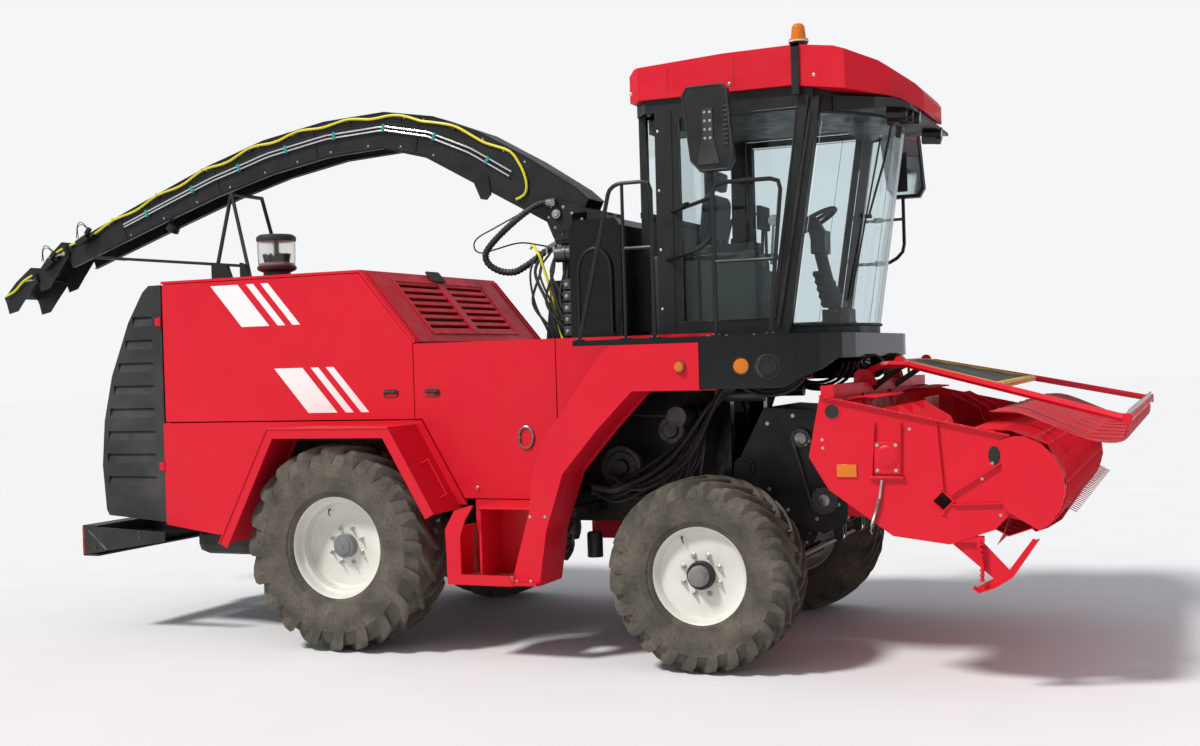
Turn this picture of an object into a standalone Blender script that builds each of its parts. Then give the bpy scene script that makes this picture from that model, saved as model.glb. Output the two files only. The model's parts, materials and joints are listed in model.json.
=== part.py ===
"""Self-propelled forage harvester with a pickup header, modelled as separate closed solids.

Metres. +X is forward, +Y is the machine's left and +Z is up. The lengths below are measured from
the front axle's centre line, and FRONT_AXLE_X moves the whole machine so that the origin lies on
the ground under the middle of its bounding box.
"""
import bpy
import bmesh
import math
from mathutils import Matrix, Vector

# Driving dimensions
FRONT_AXLE_X = 2.144
SEAT_GAP = 0.0003
RUN_GAP = 0.006
FLAT_ANGLE = math.radians(0.15)

FRONT_TYRE = dict(radius=0.625, width=0.46, bead=0.315, lugs=11, lug_height=0.035, lug_width=0.050)
REAR_TYRE = dict(radius=0.740, width=0.45, bead=0.365, lugs=11, lug_height=0.045, lug_width=0.056)
FRONT_TRACK = 2.34
REAR_TRACK = 2.35
WHEELBASE = 2.72
KINGPIN_Y = 0.98
WHEEL_STEPS = 18

RAIL_Y = 0.36
RAIL_WIDTH = 0.10
RAIL_LOW = 0.86
RAIL_TOP = 1.06
RAIL_REAR = -4.455
RAIL_FRONT = 0.05

BODY_Y = 1.06
PANEL = 0.030
SKIRT_Y = 1.40
FENDER_Y = 1.45
FENDER_SHEET = 0.020
SEAM = 0.008

HOOD_TOP = 2.725
HOOD_REAR = -4.44
HOOD_APEX = -2.635
DECK_Z = 2.19
DECK_REAR = -2.215
SEAM_Z = 1.63
DOOR_FRONT = -1.095
DOOR_LOW = 1.075

CAB_Y = 0.86
CAB_FLOOR = 2.155
CAB_REAR = -0.58
ROOF_LOW = 3.765
DECK_TOP = 2.150
RAIL_LINE_Y = 1.30
GLASS = 0.006

TOWER_X = -1.27
TURNTABLE_Z = 2.95
SPOUT_PIVOT = (-1.45, 3.12)
SPOUT_HALF = 0.15
SPOUT_SHEET = 0.008

HEADER_PIVOT = (0.05, 1.25)
HEADER_Y = 1.50
HEADER_SHEET = 0.010
AUGER_AXIS = (1.254, 1.402)
AUGER_R = 0.300
AUGER_TUBE_R = 0.125
REEL_AXIS = (1.99, 1.20)
REEL_R = 0.345
GUARD_PIVOT = (0.90, 1.865)
LIFT_FOOT = (0.02, 0.44)
LIFT_EYE = (0.66, 0.762)
LIFT_Y = 0.28

RED = dict(name="red_paint", color=(0.62, 0.020, 0.040), rough=0.35, metal=0.0)
BLACK = dict(name="black_paint", color=(0.020, 0.020, 0.022), rough=0.45, metal=0.0)
GLOSS = dict(name="gloss_black", color=(0.012, 0.012, 0.014), rough=0.15, metal=0.0)
WHITE = dict(name="white_paint", color=(0.80, 0.79, 0.75), rough=0.40, metal=0.0)
RUBBER = dict(name="tyre_rubber", color=(0.050, 0.045, 0.040), rough=0.85, metal=0.0)
GLAZING = dict(name="tinted_glass", color=(0.45, 0.55, 0.52), rough=0.05, metal=0.0)
STEEL = dict(name="dark_steel", color=(0.10, 0.10, 0.10), rough=0.50, metal=0.8)
CHROME = dict(name="rod_steel", color=(0.65, 0.65, 0.66), rough=0.20, metal=1.0)
CLOTH = dict(name="seat_cloth", color=(0.030, 0.032, 0.035), rough=0.90, metal=0.0)


# Scene and material helpers
def clear_scene():
    for item in list(bpy.data.objects):
        bpy.data.objects.remove(item, do_unlink=True)


def named_collection(name):
    group = bpy.data.collections.new(name)
    bpy.context.scene.collection.children.link(group)
    return group


def material(finish):
    found = bpy.data.materials.get(finish["name"])
    if found:
        return found
    mat = bpy.data.materials.new(finish["name"])
    mat.use_nodes = True
    shader = mat.node_tree.nodes["Principled BSDF"]
    shader.inputs["Base Color"].default_value = (*finish["color"], 1.0)
    shader.inputs["Roughness"].default_value = finish["rough"]
    shader.inputs["Metallic"].default_value = finish["metal"]
    return mat


def evaluated(obj):
    bpy.context.view_layer.update()
    graph = bpy.context.evaluated_depsgraph_get()
    return bpy.data.meshes.new_from_object(obj.evaluated_get(graph))


def baked(obj, weld=0.00002):
    """Turns a curve or a mesh with modifiers into a plain closed mesh in world space."""
    mesh = evaluated(obj)
    mesh.transform(obj.matrix_world)
    bpy.data.objects.remove(obj, do_unlink=True)
    bm = bmesh.new()
    bm.from_mesh(mesh)
    bmesh.ops.remove_doubles(bm, verts=bm.verts, dist=weld)
    bmesh.ops.recalc_face_normals(bm, faces=bm.faces)
    bm.to_mesh(mesh)
    bm.free()
    result = bpy.data.objects.new("piece", mesh)
    WORK.objects.link(result)
    return result


# Solid helpers
AXIS_FRAMES = {
    "x": Matrix(((0, 0, 1, 0), (1, 0, 0, 0), (0, 1, 0, 0), (0, 0, 0, 1))),
    "y": Matrix(((1, 0, 0, 0), (0, 0, -1, 0), (0, 1, 0, 0), (0, 0, 0, 1))),
    "z": Matrix.Identity(4),
}


def box(x, y, z):
    """Box between pairs of bounds along each axis."""
    bpy.ops.mesh.primitive_cube_add(size=1.0)
    obj = bpy.context.active_object
    size = Vector((x[1] - x[0], y[1] - y[0], z[1] - z[0]))
    centre = Vector(((x[0] + x[1]) / 2, (y[0] + y[1]) / 2, (z[0] + z[1]) / 2))
    obj.data.transform(Matrix.Translation(centre) @ Matrix.Diagonal((*size, 1.0)))
    for group in list(obj.users_collection):
        group.objects.unlink(obj)
    WORK.objects.link(obj)
    return obj


def plate(outline, axis, low, high, holes=()):
    """Flat outline, given in the plane across the axis, extruded from low to high along it."""
    curve = bpy.data.curves.new("outline", "CURVE")
    curve.dimensions = "2D"
    curve.fill_mode = "BOTH"
    curve.extrude = (high - low) / 2
    for loop in (outline, *holes):
        spline = curve.splines.new("POLY")
        spline.points.add(len(loop) - 1)
        for point, (u, v) in zip(spline.points, loop):
            point.co = (u, v, 0.0, 1.0)
        spline.use_cyclic_u = True
    obj = bpy.data.objects.new("outline", curve)
    WORK.objects.link(obj)
    middle = (low + high) / 2
    shift = {"x": (middle, 0, 0), "y": (0, middle, 0), "z": (0, 0, middle)}[axis]
    obj.matrix_world = Matrix.Translation(shift) @ AXIS_FRAMES[axis]
    return baked(obj)


def strip(line, thickness):
    """Closed outline of a band that has the line as its outer edge and lies to its right."""
    inner = []
    count = len(line)
    for i, (u, v) in enumerate(line):
        before = Vector(line[i]) - Vector(line[max(i - 1, 0)])
        after = Vector(line[min(i + 1, count - 1)]) - Vector(line[i])
        first = before.normalized() if before.length > 0 else after.normalized()
        last = after.normalized() if after.length > 0 else first
        normal = Vector((first.y + last.y, -first.x - last.x)).normalized()
        reach = thickness / max(normal.dot(Vector((first.y, -first.x))), 0.4)
        inner.append((u + normal.x * reach, v + normal.y * reach))
    return list(line) + inner[::-1]


def band(line, thickness, low, high):
    """Bent sheet along a line in the XZ plane, spanning low to high in Y."""
    return plate(strip(line, thickness), "y", low, high)


def cylinder(start, end, radius, sides=16, tip_radius=None):
    """Round bar between two points, or a cone when the far end has its own radius."""
    start = Vector(start)
    end = Vector(end)
    along = end - start
    bm = bmesh.new()
    turn = along.to_track_quat("Z", "Y").to_matrix().to_4x4()
    place = Matrix.Translation((start + end) / 2) @ turn
    far = radius if tip_radius is None else tip_radius
    bmesh.ops.create_cone(bm, cap_ends=True, segments=sides, radius1=radius, radius2=far,
                          depth=along.length, matrix=place)
    bmesh.ops.remove_doubles(bm, verts=bm.verts, dist=0.00001)
    mesh = bpy.data.meshes.new("cylinder")
    bm.to_mesh(mesh)
    bm.free()
    obj = bpy.data.objects.new("cylinder", mesh)
    WORK.objects.link(obj)
    return obj


def tube(points, radius, smooth=2):
    """Round bar along a polyline."""
    curve = bpy.data.curves.new("bar", "CURVE")
    curve.dimensions = "3D"
    curve.bevel_depth = radius
    curve.bevel_resolution = smooth
    curve.use_fill_caps = True
    spline = curve.splines.new("POLY")
    spline.points.add(len(points) - 1)
    for point, place in zip(spline.points, points):
        point.co = (*place, 1.0)
    obj = bpy.data.objects.new("bar", curve)
    WORK.objects.link(obj)
    return baked(obj)


def rounded(points, radius, steps=2):
    """The polyline with each inner corner replaced by a short arc-like bend."""
    result = [tuple(points[0])]
    for before, corner, after in zip(points, points[1:], points[2:]):
        corner = Vector(corner)
        back = Vector(before) - corner
        ahead = Vector(after) - corner
        reach = min(radius, back.length * 0.45, ahead.length * 0.45)
        start = corner + back.normalized() * reach
        end = corner + ahead.normalized() * reach
        for step in range(steps + 1):
            t = step / steps
            result.append(tuple(start.lerp(corner, t).lerp(corner.lerp(end, t), t)))
    result.append(tuple(points[-1]))
    return result


def smooth_line(points, parts):
    """Points on a Catmull-Rom curve through the given ones."""
    line = [Vector(p) for p in points]
    line = [2 * line[0] - line[1]] + line + [2 * line[-1] - line[-2]]
    result = []
    for a, b, c, d in zip(line, line[1:], line[2:], line[3:]):
        for step in range(parts):
            t = step / parts
            spot = 0.5 * ((2 * b) + (c - a) * t + (2 * a - 5 * b + 4 * c - d) * t * t
                          + (3 * b - a - 3 * c + d) * t ** 3)
            result.append(tuple(spot))
    result.append(tuple(line[-2]))
    return result


def lathe(profile, steps, place, closed=True):
    """Profile of (radius, height) points turned about local Z, then placed by a matrix."""
    mesh = bpy.data.meshes.new("profile")
    edges = [(i, i + 1) for i in range(len(profile) - 1)]
    if closed:
        edges.append((len(profile) - 1, 0))
    mesh.from_pydata([(r, 0.0, h) for r, h in profile], edges, [])
    obj = bpy.data.objects.new("profile", mesh)
    WORK.objects.link(obj)
    screw = obj.modifiers.new("Screw", "SCREW")
    screw.steps = steps
    screw.render_steps = steps
    screw.use_merge_vertices = True
    screw.merge_threshold = 0.0001
    obj.matrix_world = place
    return baked(obj)


def boolean(target, operation, tools):
    """Applies one exact Boolean of all the tools to the target."""
    group = bpy.data.collections.new("tools")
    for tool in tools:
        group.objects.link(tool)
    modifier = target.modifiers.new("Boolean", "BOOLEAN")
    modifier.operation = operation
    modifier.solver = "EXACT"
    modifier.operand_type = "COLLECTION"
    modifier.collection = group
    mesh = evaluated(target)
    target.modifiers.clear()
    target.data = mesh
    for tool in tools:
        bpy.data.objects.remove(tool, do_unlink=True)
    bpy.data.collections.remove(group)
    return target


def union(pieces):
    if len(pieces) == 1:
        return pieces[0]
    return boolean(pieces[0], "UNION", pieces[1:])


def cut(target, tools):
    return boolean(target, "DIFFERENCE", list(tools))


def joined(pieces):
    """One mesh that holds pieces which do not touch each other."""
    bm = bmesh.new()
    for piece in pieces:
        piece.data.transform(piece.matrix_world)
        bm.from_mesh(piece.data)
    mesh = bpy.data.meshes.new("joined")
    bm.to_mesh(mesh)
    bm.free()
    for piece in pieces:
        bpy.data.objects.remove(piece, do_unlink=True)
    obj = bpy.data.objects.new("joined", mesh)
    WORK.objects.link(obj)
    return obj


def mirrored(obj):
    """Copy of the object on the machine's other side."""
    mesh = obj.data.copy()
    mesh.transform(Matrix.Diagonal((1, -1, 1, 1)))
    mesh.flip_normals()
    copy = bpy.data.objects.new("mirrored", mesh)
    WORK.objects.link(copy)
    return copy


def node(obj, name, finish, origin=(0.0, 0.0, 0.0)):
    """Names a finished solid, gives it its material and puts its origin at its joint."""
    mesh = obj.data
    mesh.transform(obj.matrix_world)
    bm = bmesh.new()
    bm.from_mesh(mesh)
    bmesh.ops.remove_doubles(bm, verts=bm.verts, dist=0.00002)
    bmesh.ops.dissolve_degenerate(bm, dist=0.00001, edges=bm.edges)
    bmesh.ops.dissolve_limit(bm, angle_limit=FLAT_ANGLE, use_dissolve_boundaries=False, verts=bm.verts,
                             edges=bm.edges)
    bm.to_mesh(mesh)
    bm.free()
    mesh.transform(Matrix.Translation(-Vector(origin)))
    mesh.name = name
    mesh.materials.clear()
    mesh.materials.append(material(finish))
    mesh.shade_smooth()
    mesh.set_sharp_from_angle(angle=math.radians(35))
    solid = bpy.data.objects.new(name, mesh)
    solid.location = (origin[0] + FRONT_AXLE_X, origin[1], origin[2])
    PARTS.objects.link(solid)
    bpy.data.objects.remove(obj, do_unlink=True)
    return solid


def pair(obj, name, finish, origin=(0.0, 0.0, 0.0)):
    """Right-hand solid and its mirror image on the left, as two nodes."""
    left = mirrored(obj)
    node(obj, name + "_right", finish, origin)
    node(left, name + "_left", finish, (origin[0], -origin[1], origin[2]))


# Wheels
def tyre_section(size):
    half = size["width"] / 2
    crown = size["radius"] - size["lug_height"]
    bead = size["bead"]
    depth = crown - bead
    side = [(bead, half - 0.060), (bead + 0.45 * depth, half), (crown, half - 0.060)]
    return [(r, -h) for r, h in side] + [(r, h) for r, h in reversed(side)]


def lug(size, angle, side):
    """Bar that runs from the tyre's middle to its shoulder and leans back around it."""
    half = size["width"] / 2
    sweep = 0.62 * half / size["radius"]
    low = size["radius"] - size["lug_height"] - 0.020
    stations = (  # across, turn, top, bottom, width
        (-0.010, 0.0, size["radius"], low, size["lug_width"]),
        (half + 0.001, sweep * 1.80, size["radius"] - 0.022, low - 0.030, size["lug_width"] * 1.15),
    )
    bm = bmesh.new()
    rings = []
    for across, turn, top, bottom, width in stations:
        ring = []
        for radius, offset in ((bottom, 0.62), (bottom, -0.62), (top, -0.42), (top, 0.42)):
            theta = angle + turn + offset * width / radius
            spot = (radius * math.cos(theta), radius * math.sin(theta), side * across)
            ring.append(bm.verts.new(spot))
        rings.append(ring)
    bm.faces.new(rings[0])
    bm.faces.new(rings[-1][::-1])
    for first, second in zip(rings, rings[1:]):
        for i in range(4):
            j = (i + 1) % 4
            bm.faces.new((first[i], second[i], second[j], first[j]))
    bmesh.ops.recalc_face_normals(bm, faces=bm.faces)
    mesh = bpy.data.meshes.new("lug")
    bm.to_mesh(mesh)
    bm.free()
    obj = bpy.data.objects.new("lug", mesh)
    WORK.objects.link(obj)
    return obj


def wheel_place(x, y, z):
    """Local Z of a wheel points out of the machine's right or left side."""
    turn = Matrix.Rotation(math.radians(90 if y < 0 else -90), 4, "X")
    return Matrix.Translation((x, y, z)) @ turn


def tyre(size, x, y, z):
    place = wheel_place(x, y, z)
    down = math.radians(-90 if y < 0 else 90)
    carcass = lathe(tyre_section(size), WHEEL_STEPS, place)
    pitch = 2 * math.pi / size["lugs"]
    for side in (1, -1):
        lead = down if side > 0 else down + pitch / 2
        bars = joined([lug(size, i * pitch + lead, side) for i in range(size["lugs"])])
        bars.matrix_world = place
        carcass = union([carcass, bars])
    return carcass


def rim(size, x, y, z, disc, cap, back):
    """Rim, disc, hub and cap in one turned piece; disc, cap and back are heights along its axis."""
    bead = size["bead"] - SEAT_GAP
    inner = bead - 0.014
    lip = size["width"] / 2 - 0.060 + SEAT_GAP
    edge = lip + 0.014
    flange = size["bead"] + 0.028
    profile = [
        (0.0, cap), (0.068, cap), (0.110, disc + 0.012), (inner, disc + 0.012),
        (inner, edge), (flange, edge), (bead, lip), (bead, -lip), (flange, -edge), (inner, -edge),
        (inner, disc - 0.004), (0.125, disc - 0.004), (0.125, back), (0.0, back),
    ]
    return lathe(profile, WHEEL_STEPS, wheel_place(x, y, z), closed=False)


def wheels():
    for name, side in (("right", -1), ("left", 1)):
        y = side * FRONT_TRACK / 2
        z = FRONT_TYRE["radius"]
        node(tyre(FRONT_TYRE, 0, y, z), "front_tyre_" + name, RUBBER, (0, y, z))
        node(rim(FRONT_TYRE, 0, y, z, 0.105, 0.235, -0.090), "front_rim_" + name, WHITE, (0, y, z))
        y = side * REAR_TRACK / 2
        z = REAR_TYRE["radius"]
        pin = (-WHEELBASE, y, z)
        node(tyre(REAR_TYRE, -WHEELBASE, y, z), "rear_tyre_" + name, RUBBER, pin)
        node(rim(REAR_TYRE, -WHEELBASE, y, z, 0.010, 0.150, -0.100), "rear_rim_" + name, WHITE, pin)


# Chassis
def main_frame():
    outer = RAIL_Y + RAIL_WIDTH
    pieces = []
    for side in (-1, 1):
        y = sorted((side * RAIL_Y, side * outer))
        pieces.append(box((RAIL_REAR, RAIL_FRONT), y, (RAIL_LOW, RAIL_TOP)))
    for x in (-4.395, -2.05, -0.05):
        pieces.append(box((x - 0.05, x + 0.05), (-outer + 0.01, outer - 0.01),
                          (RAIL_LOW + 0.03, RAIL_TOP - 0.03)))
    for x in (-4.40, -3.705, -1.62, -1.02):
        reach = BODY_Y - PANEL - SEAT_GAP
        pieces.append(box((x - 0.035, x + 0.035), (-reach, reach), (RAIL_TOP - 0.115, RAIL_TOP - 0.045)))
    px, pz = HEADER_PIVOT
    ear = [(px - 0.095, RAIL_TOP - 0.01), (px - 0.095, pz), (px - 0.06, pz + 0.06), (px, pz + 0.075),
           (px + 0.05, pz + 0.05), (px + 0.065, pz), (px + 0.05, pz - 0.05), (px - 0.02, pz - 0.11),
           (px - 0.02, RAIL_TOP - 0.01)]
    for side in (-1, 1):
        pieces.append(plate(ear, "y", *sorted((side * 0.385, side * 0.432))))
        pieces.append(cylinder((px, side * 0.40, pz), (px, side * 0.492, pz), 0.050, 12))
    return node(union(pieces), "main_frame", BLACK)


def front_axle():
    z = FRONT_TYRE["radius"]
    face = FRONT_TRACK / 2 - 0.090 - SEAT_GAP
    tube_axle = cylinder((0, -face + 0.02, z), (0, face - 0.02, z), 0.085, 12)
    pieces = [tube_axle]
    for side in (-1, 1):
        pieces.append(cylinder((0, side * face, z), (0, side * (face - 0.16), z), 0.150, 14))
        y = sorted((side * (RAIL_Y - 0.01), side * (RAIL_Y + RAIL_WIDTH + 0.01)))
        pieces.append(box((-0.11, 0.045), y, (z, RAIL_LOW - SEAT_GAP)))
    pieces.append(cylinder((0, -0.19, z), (0, 0.19, z), 0.160, 14))
    pieces.append(cylinder((-0.26, 0, z), (0, 0, z), 0.105, 10))
    fx, fz = LIFT_FOOT
    ear = [(-0.05, z - 0.03), (0.025, z - 0.03), (fx + 0.030, fz + 0.02), (fx + 0.022, fz - 0.03),
           (fx - 0.022, fz - 0.03),
           (fx - 0.035, fz + 0.02)]
    for s in (-1, 1):
        for y0 in (LIFT_Y - 0.042, LIFT_Y + 0.024):
            y = sorted((s * y0, s * (y0 + 0.018)))
            pieces.append(plate(ear, "y", y[0], y[1]))
        y = sorted((s * (LIFT_Y - 0.040), s * (LIFT_Y + 0.040)))
        pieces.append(cylinder((fx, y[0], fz), (fx, y[1], fz), 0.014, 10))
    return node(union(pieces), "front_axle", STEEL)


def rear_axle():
    """Beam between two kingpin forks, the saddle under the rails and the steering cylinder."""
    x = -WHEELBASE
    z = REAR_TYRE["radius"]
    fork = 0.075
    pieces = [box((x - 0.07, x + 0.07), (-KINGPIN_Y + 0.09, KINGPIN_Y - 0.09),
                  (z - fork - 0.015, z + fork + 0.015))]
    tools = []
    for side in (-1, 1):
        y = sorted((side * (KINGPIN_Y - 0.14), side * (KINGPIN_Y + 0.045)))
        for low, high in ((z + fork, z + fork + 0.040), (z - fork - 0.040, z - fork)):
            pieces.append(box((x - 0.065, x + 0.065), y, (low, high)))
        tools.append(cylinder((x, side * KINGPIN_Y, z - 0.2), (x, side * KINGPIN_Y, z + 0.2), 0.0385, 12))
    pieces.append(box((x - 0.10, x + 0.10), (-0.20, 0.20), (z + 0.06, RAIL_LOW - 0.02)))
    pieces.append(box((x - 0.12, x + 0.12), (-RAIL_Y - RAIL_WIDTH, RAIL_Y + RAIL_WIDTH),
                      (RAIL_LOW - 0.035, RAIL_LOW - SEAT_GAP)))
    pieces.append(cylinder((x - 0.150, -0.26, z), (x - 0.150, 0.26, z), 0.045, 10))
    for y in ((-0.24, -0.18), (0.18, 0.24)):
        pieces.append(box((x - 0.15, x - 0.04), y, (z - 0.04, z + 0.04)))
    tools.append(cylinder((x - 0.150, -0.5, z), (x - 0.150, 0.5, z), 0.0225, 12))
    return node(cut(union(pieces), tools), "rear_axle", BLACK)


def steering():
    x = -WHEELBASE
    z = REAR_TYRE["radius"]
    face = REAR_TRACK / 2 - 0.100 - SEAT_GAP
    body = box((x - 0.055, x + 0.055), (-KINGPIN_Y - 0.03, -KINGPIN_Y + 0.065), (z - 0.0735, z + 0.0735))
    spindle = cylinder((x, -face + 0.01, z), (x, -KINGPIN_Y - 0.02, z), 0.0605, 10)
    flange = cylinder((x, -face, z), (x, -face + 0.018, z), 0.095, 12)
    king = cylinder((x, -KINGPIN_Y, z - 0.125), (x, -KINGPIN_Y, z + 0.125), 0.035, 12)
    arm = box((x - 0.185, x - 0.01), (-KINGPIN_Y - 0.02, -KINGPIN_Y + 0.035), (z - 0.060, z - 0.032))
    pair(union([body, spindle, flange, king, arm]), "steering_knuckle", BLACK, (x, -KINGPIN_Y, z))
    reach = KINGPIN_Y + 0.005
    rod = cylinder((x - 0.150, -reach, z), (x - 0.150, reach, z), 0.020, 10)
    node(rod, "steering_rod", CHROME, (x - 0.150, 0, z))


def engine_and_tank():
    block = box((-4.00, -2.45), (-0.42, 0.42), (RAIL_TOP + SEAT_GAP, 1.95))
    node(block, "engine_block", STEEL)
    x = (-4.28, -3.74)
    tank = box(x, (-0.95, 0.95), (0.60, 0.835))
    bevel = tank.modifiers.new("Bevel", "BEVEL")
    bevel.width = 0.08
    bevel.segments = 2
    tank = baked(tank)
    straps = [box((a, a + 0.05), (-0.50, 0.50), (0.80, RAIL_LOW - SEAT_GAP)) for a in (-4.15, -3.92)]
    node(union([tank, *straps]), "fuel_tank", BLACK)


def rear_bumper():
    """Channel across the tail with end plates and the two arms under the frame rails."""
    channel = [(-5.17, 0.60), (-5.17, 0.84), (-5.02, 0.84), (-5.02, 0.825), (-5.155, 0.825), (-5.155, 0.615),
               (-5.02, 0.615), (-5.02, 0.60)]
    pieces = [plate(channel, "y", -1.195, 1.195)]
    side = [(-5.165, 0.607), (-5.165, 0.833), (-4.36, 0.80), (-4.36, 0.73)]
    for s in (-1, 1):
        pieces.append(plate(side, "y", *sorted((s * 1.185, s * 1.20))))
        pieces.append(box((-5.16, -4.30), sorted((s * RAIL_Y, s * (RAIL_Y + RAIL_WIDTH))), (0.72, 0.832)))
        pieces.append(box((-4.44, -4.31), sorted((s * (RAIL_Y + 0.005), s * (RAIL_Y + 0.095))),
                          (0.80, RAIL_LOW - SEAT_GAP)))
        pieces.append(box((-5.16, -5.03), sorted((s * 0.45, s * 1.19)), (0.69, 0.71)))
    pieces.append(box((-5.24, -5.16), (-0.12, 0.12), (0.64, 0.80)))
    return node(union(pieces), "rear_bumper", BLACK)


# Body
GRILLE_SIDE = [(-4.462, 2.70), (-4.573, 2.700), (-4.635, 2.650), (-4.783, 2.419), (-4.961, 2.005),
               (-5.050, 1.65), (-5.083, 1.30), (-5.056, 0.950), (-5.030, 0.905), (-4.462, 0.860)]
FENDER_LINE = [(-3.655, 0.765), (-3.210, 1.600), (-2.205, 1.600), (-1.862, 1.006)]
SKIRT = [(-0.543, 2.112), (0.058, 2.112), (0.058, 1.812), (-0.404, 1.812), (-0.660, 1.560),
         (-0.909, 1.279), (-1.040, 0.900), (-1.101, 0.530), (-1.312, 0.526), (-1.162, 1.024),
         (-1.132, 1.292), (-1.012, 1.557), (-0.895, 1.688), (-0.759, 1.868), (-0.651, 2.027)]


def inset(outline, amount):
    """Outline moved inward by the same amount on every side; the outline runs clockwise or not."""
    area = sum(a[0] * b[1] - b[0] * a[1] for a, b in zip(outline, outline[1:] + outline[:1]))
    turn = 1 if area > 0 else -1
    result = []
    count = len(outline)
    for i, corner in enumerate(outline):
        back = (Vector(corner) - Vector(outline[i - 1])).normalized()
        ahead = (Vector(outline[(i + 1) % count]) - Vector(corner)).normalized()
        normal = Vector((-(back.y + ahead.y), back.x + ahead.x)) * turn
        normal.normalize()
        reach = amount / max(normal.dot(Vector((-back.y, back.x)) * turn), 0.4)
        result.append((corner[0] + normal.x * reach, corner[1] + normal.y * reach))
    return result


def hood_shell():
    """Top sheet, louvred front slope, and the two bulkheads that carry them."""
    side = BODY_Y - PANEL - SEAT_GAP
    foot = (-2.19, DECK_Z)
    line = [(HOOD_REAR, HOOD_TOP), (HOOD_APEX, HOOD_TOP), foot]
    sheet = band(line, 0.020, -BODY_Y, BODY_Y)
    rear = box((HOOD_REAR, HOOD_REAR + 0.02), (-side, side), (RAIL_TOP + SEAT_GAP, HOOD_TOP - 0.01))
    front = plate([(-0.45, RAIL_TOP + SEAT_GAP), (0.45, RAIL_TOP + SEAT_GAP), (0.45, 1.60), (side, 1.66),
                   (side, DECK_Z - 0.005),
                   (-side, DECK_Z - 0.005), (-side, 1.66), (-0.45, 1.60)], "x", -2.215, -2.195)
    rails = []
    for s in (-1, 1):
        y = sorted((s * side, s * (side - 0.02)))
        edge = [(HOOD_REAR, HOOD_TOP - 0.01), (HOOD_APEX, HOOD_TOP - 0.01), (-2.20, DECK_Z - 0.002),
                (-2.25, DECK_Z - 0.002), (HOOD_APEX - 0.02, HOOD_TOP - 0.07), (HOOD_REAR, HOOD_TOP - 0.07)]
        rails.append(plate(edge, "y", y[0], y[1]))
    body = union([sheet, rear, front, *rails])
    slope = Vector((foot[0] - HOOD_APEX, 0, foot[1] - HOOD_TOP))
    length = slope.length
    tilt = math.atan2(-slope.z, slope.x)
    slots = []
    rows = 7
    for column in (-1, 1):
        y = sorted((column * 0.06, column * 0.66))
        for row in range(rows):
            along = 0.12 + row * (length - 0.22) / rows
            slot = box((along, along + 0.034), y, (-0.05, 0.05))
            slot.data.transform(Matrix.Translation((HOOD_APEX, 0, HOOD_TOP)) @ Matrix.Rotation(tilt, 4, "Y"))
            slots.append(slot)
    slots.append(box((HOOD_REAR - 0.1, HOOD_REAR + 0.1), (-0.75, 0.75), (1.25, 2.45)))
    return node(cut(body, slots), "hood_shell", RED)


def hood_doors():
    outline = [(HOOD_REAR + 0.01, HOOD_TOP - 0.026), (HOOD_APEX - 0.012, HOOD_TOP - 0.026),
               (DECK_REAR, DECK_Z - 0.005), (DECK_REAR, SEAM_Z + SEAM), (HOOD_REAR + 0.01, SEAM_Z + SEAM)]
    skin = plate(outline, "y", -BODY_Y, -BODY_Y + PANEL - 0.001)
    latch = box((-2.44, -2.35), (-BODY_Y - 0.008, -BODY_Y + 0.004), (1.80, 1.835))
    pair(union([skin, latch]), "hood_door", RED, (HOOD_REAR + 0.01, -BODY_Y, 2.1))


def service_doors():
    outline = [(DECK_REAR + SEAM, DECK_Z - 0.015), (DOOR_FRONT, DECK_Z - 0.015), (DOOR_FRONT, DOOR_LOW),
               (-1.826, DOOR_LOW), (-2.151, SEAM_Z + SEAM), (DECK_REAR + SEAM, SEAM_Z + SEAM)]
    skin = plate(outline, "y", -BODY_Y, -BODY_Y + PANEL - 0.001)
    latch = box((-2.13, -2.04), (-BODY_Y - 0.008, -BODY_Y + 0.004), (1.80, 1.835))
    ring = []
    for i in range(10):
        a = 2 * math.pi * i / 10
        ring.append((-1.33 + 0.055 * math.cos(a), -BODY_Y - 0.006, 1.50 + 0.075 * math.sin(a)))
    ring.append(ring[0])
    handle = tube(ring, 0.008, 0)
    pair(union([skin, latch, handle]), "service_door", RED, (DOOR_FRONT, -BODY_Y, 1.6))


def rear_sides():
    """Lower rear panel with the fender that its front edge carries."""
    inner = -BODY_Y + PANEL
    low = [(HOOD_REAR - 0.015, SEAM_Z - 0.002), (-3.175, SEAM_Z - 0.002), (-3.175, 1.592), (-3.630, 0.765),
           (-3.98, 0.775), (HOOD_REAR - 0.015, 0.842)]
    panel = plate(low, "y", -BODY_Y, inner)
    sheet = band(FENDER_LINE, FENDER_SHEET, -FENDER_Y, inner)
    lip = plate(strip(FENDER_LINE, 0.075), "y", -FENDER_Y, -FENDER_Y + 0.012)
    gusset = [(-3.215, SEAM_Z - 0.002), (-2.158, SEAM_Z - 0.002), (-1.8126, 1.030), (-1.884, 1.030),
              (-2.205, 1.585),
              (-3.215, 1.585)]
    flange = plate(gusset, "y", -BODY_Y, inner)
    handle = tube([(-2.060, -1.25, 1.330), (-2.004, -1.25, 1.3625), (-1.865, -1.25, 1.1225),
                   (-1.921, -1.25, 1.090)], 0.009, 1)
    pair(union([panel, sheet, lip, flange, handle]), "rear_side", RED)


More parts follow.
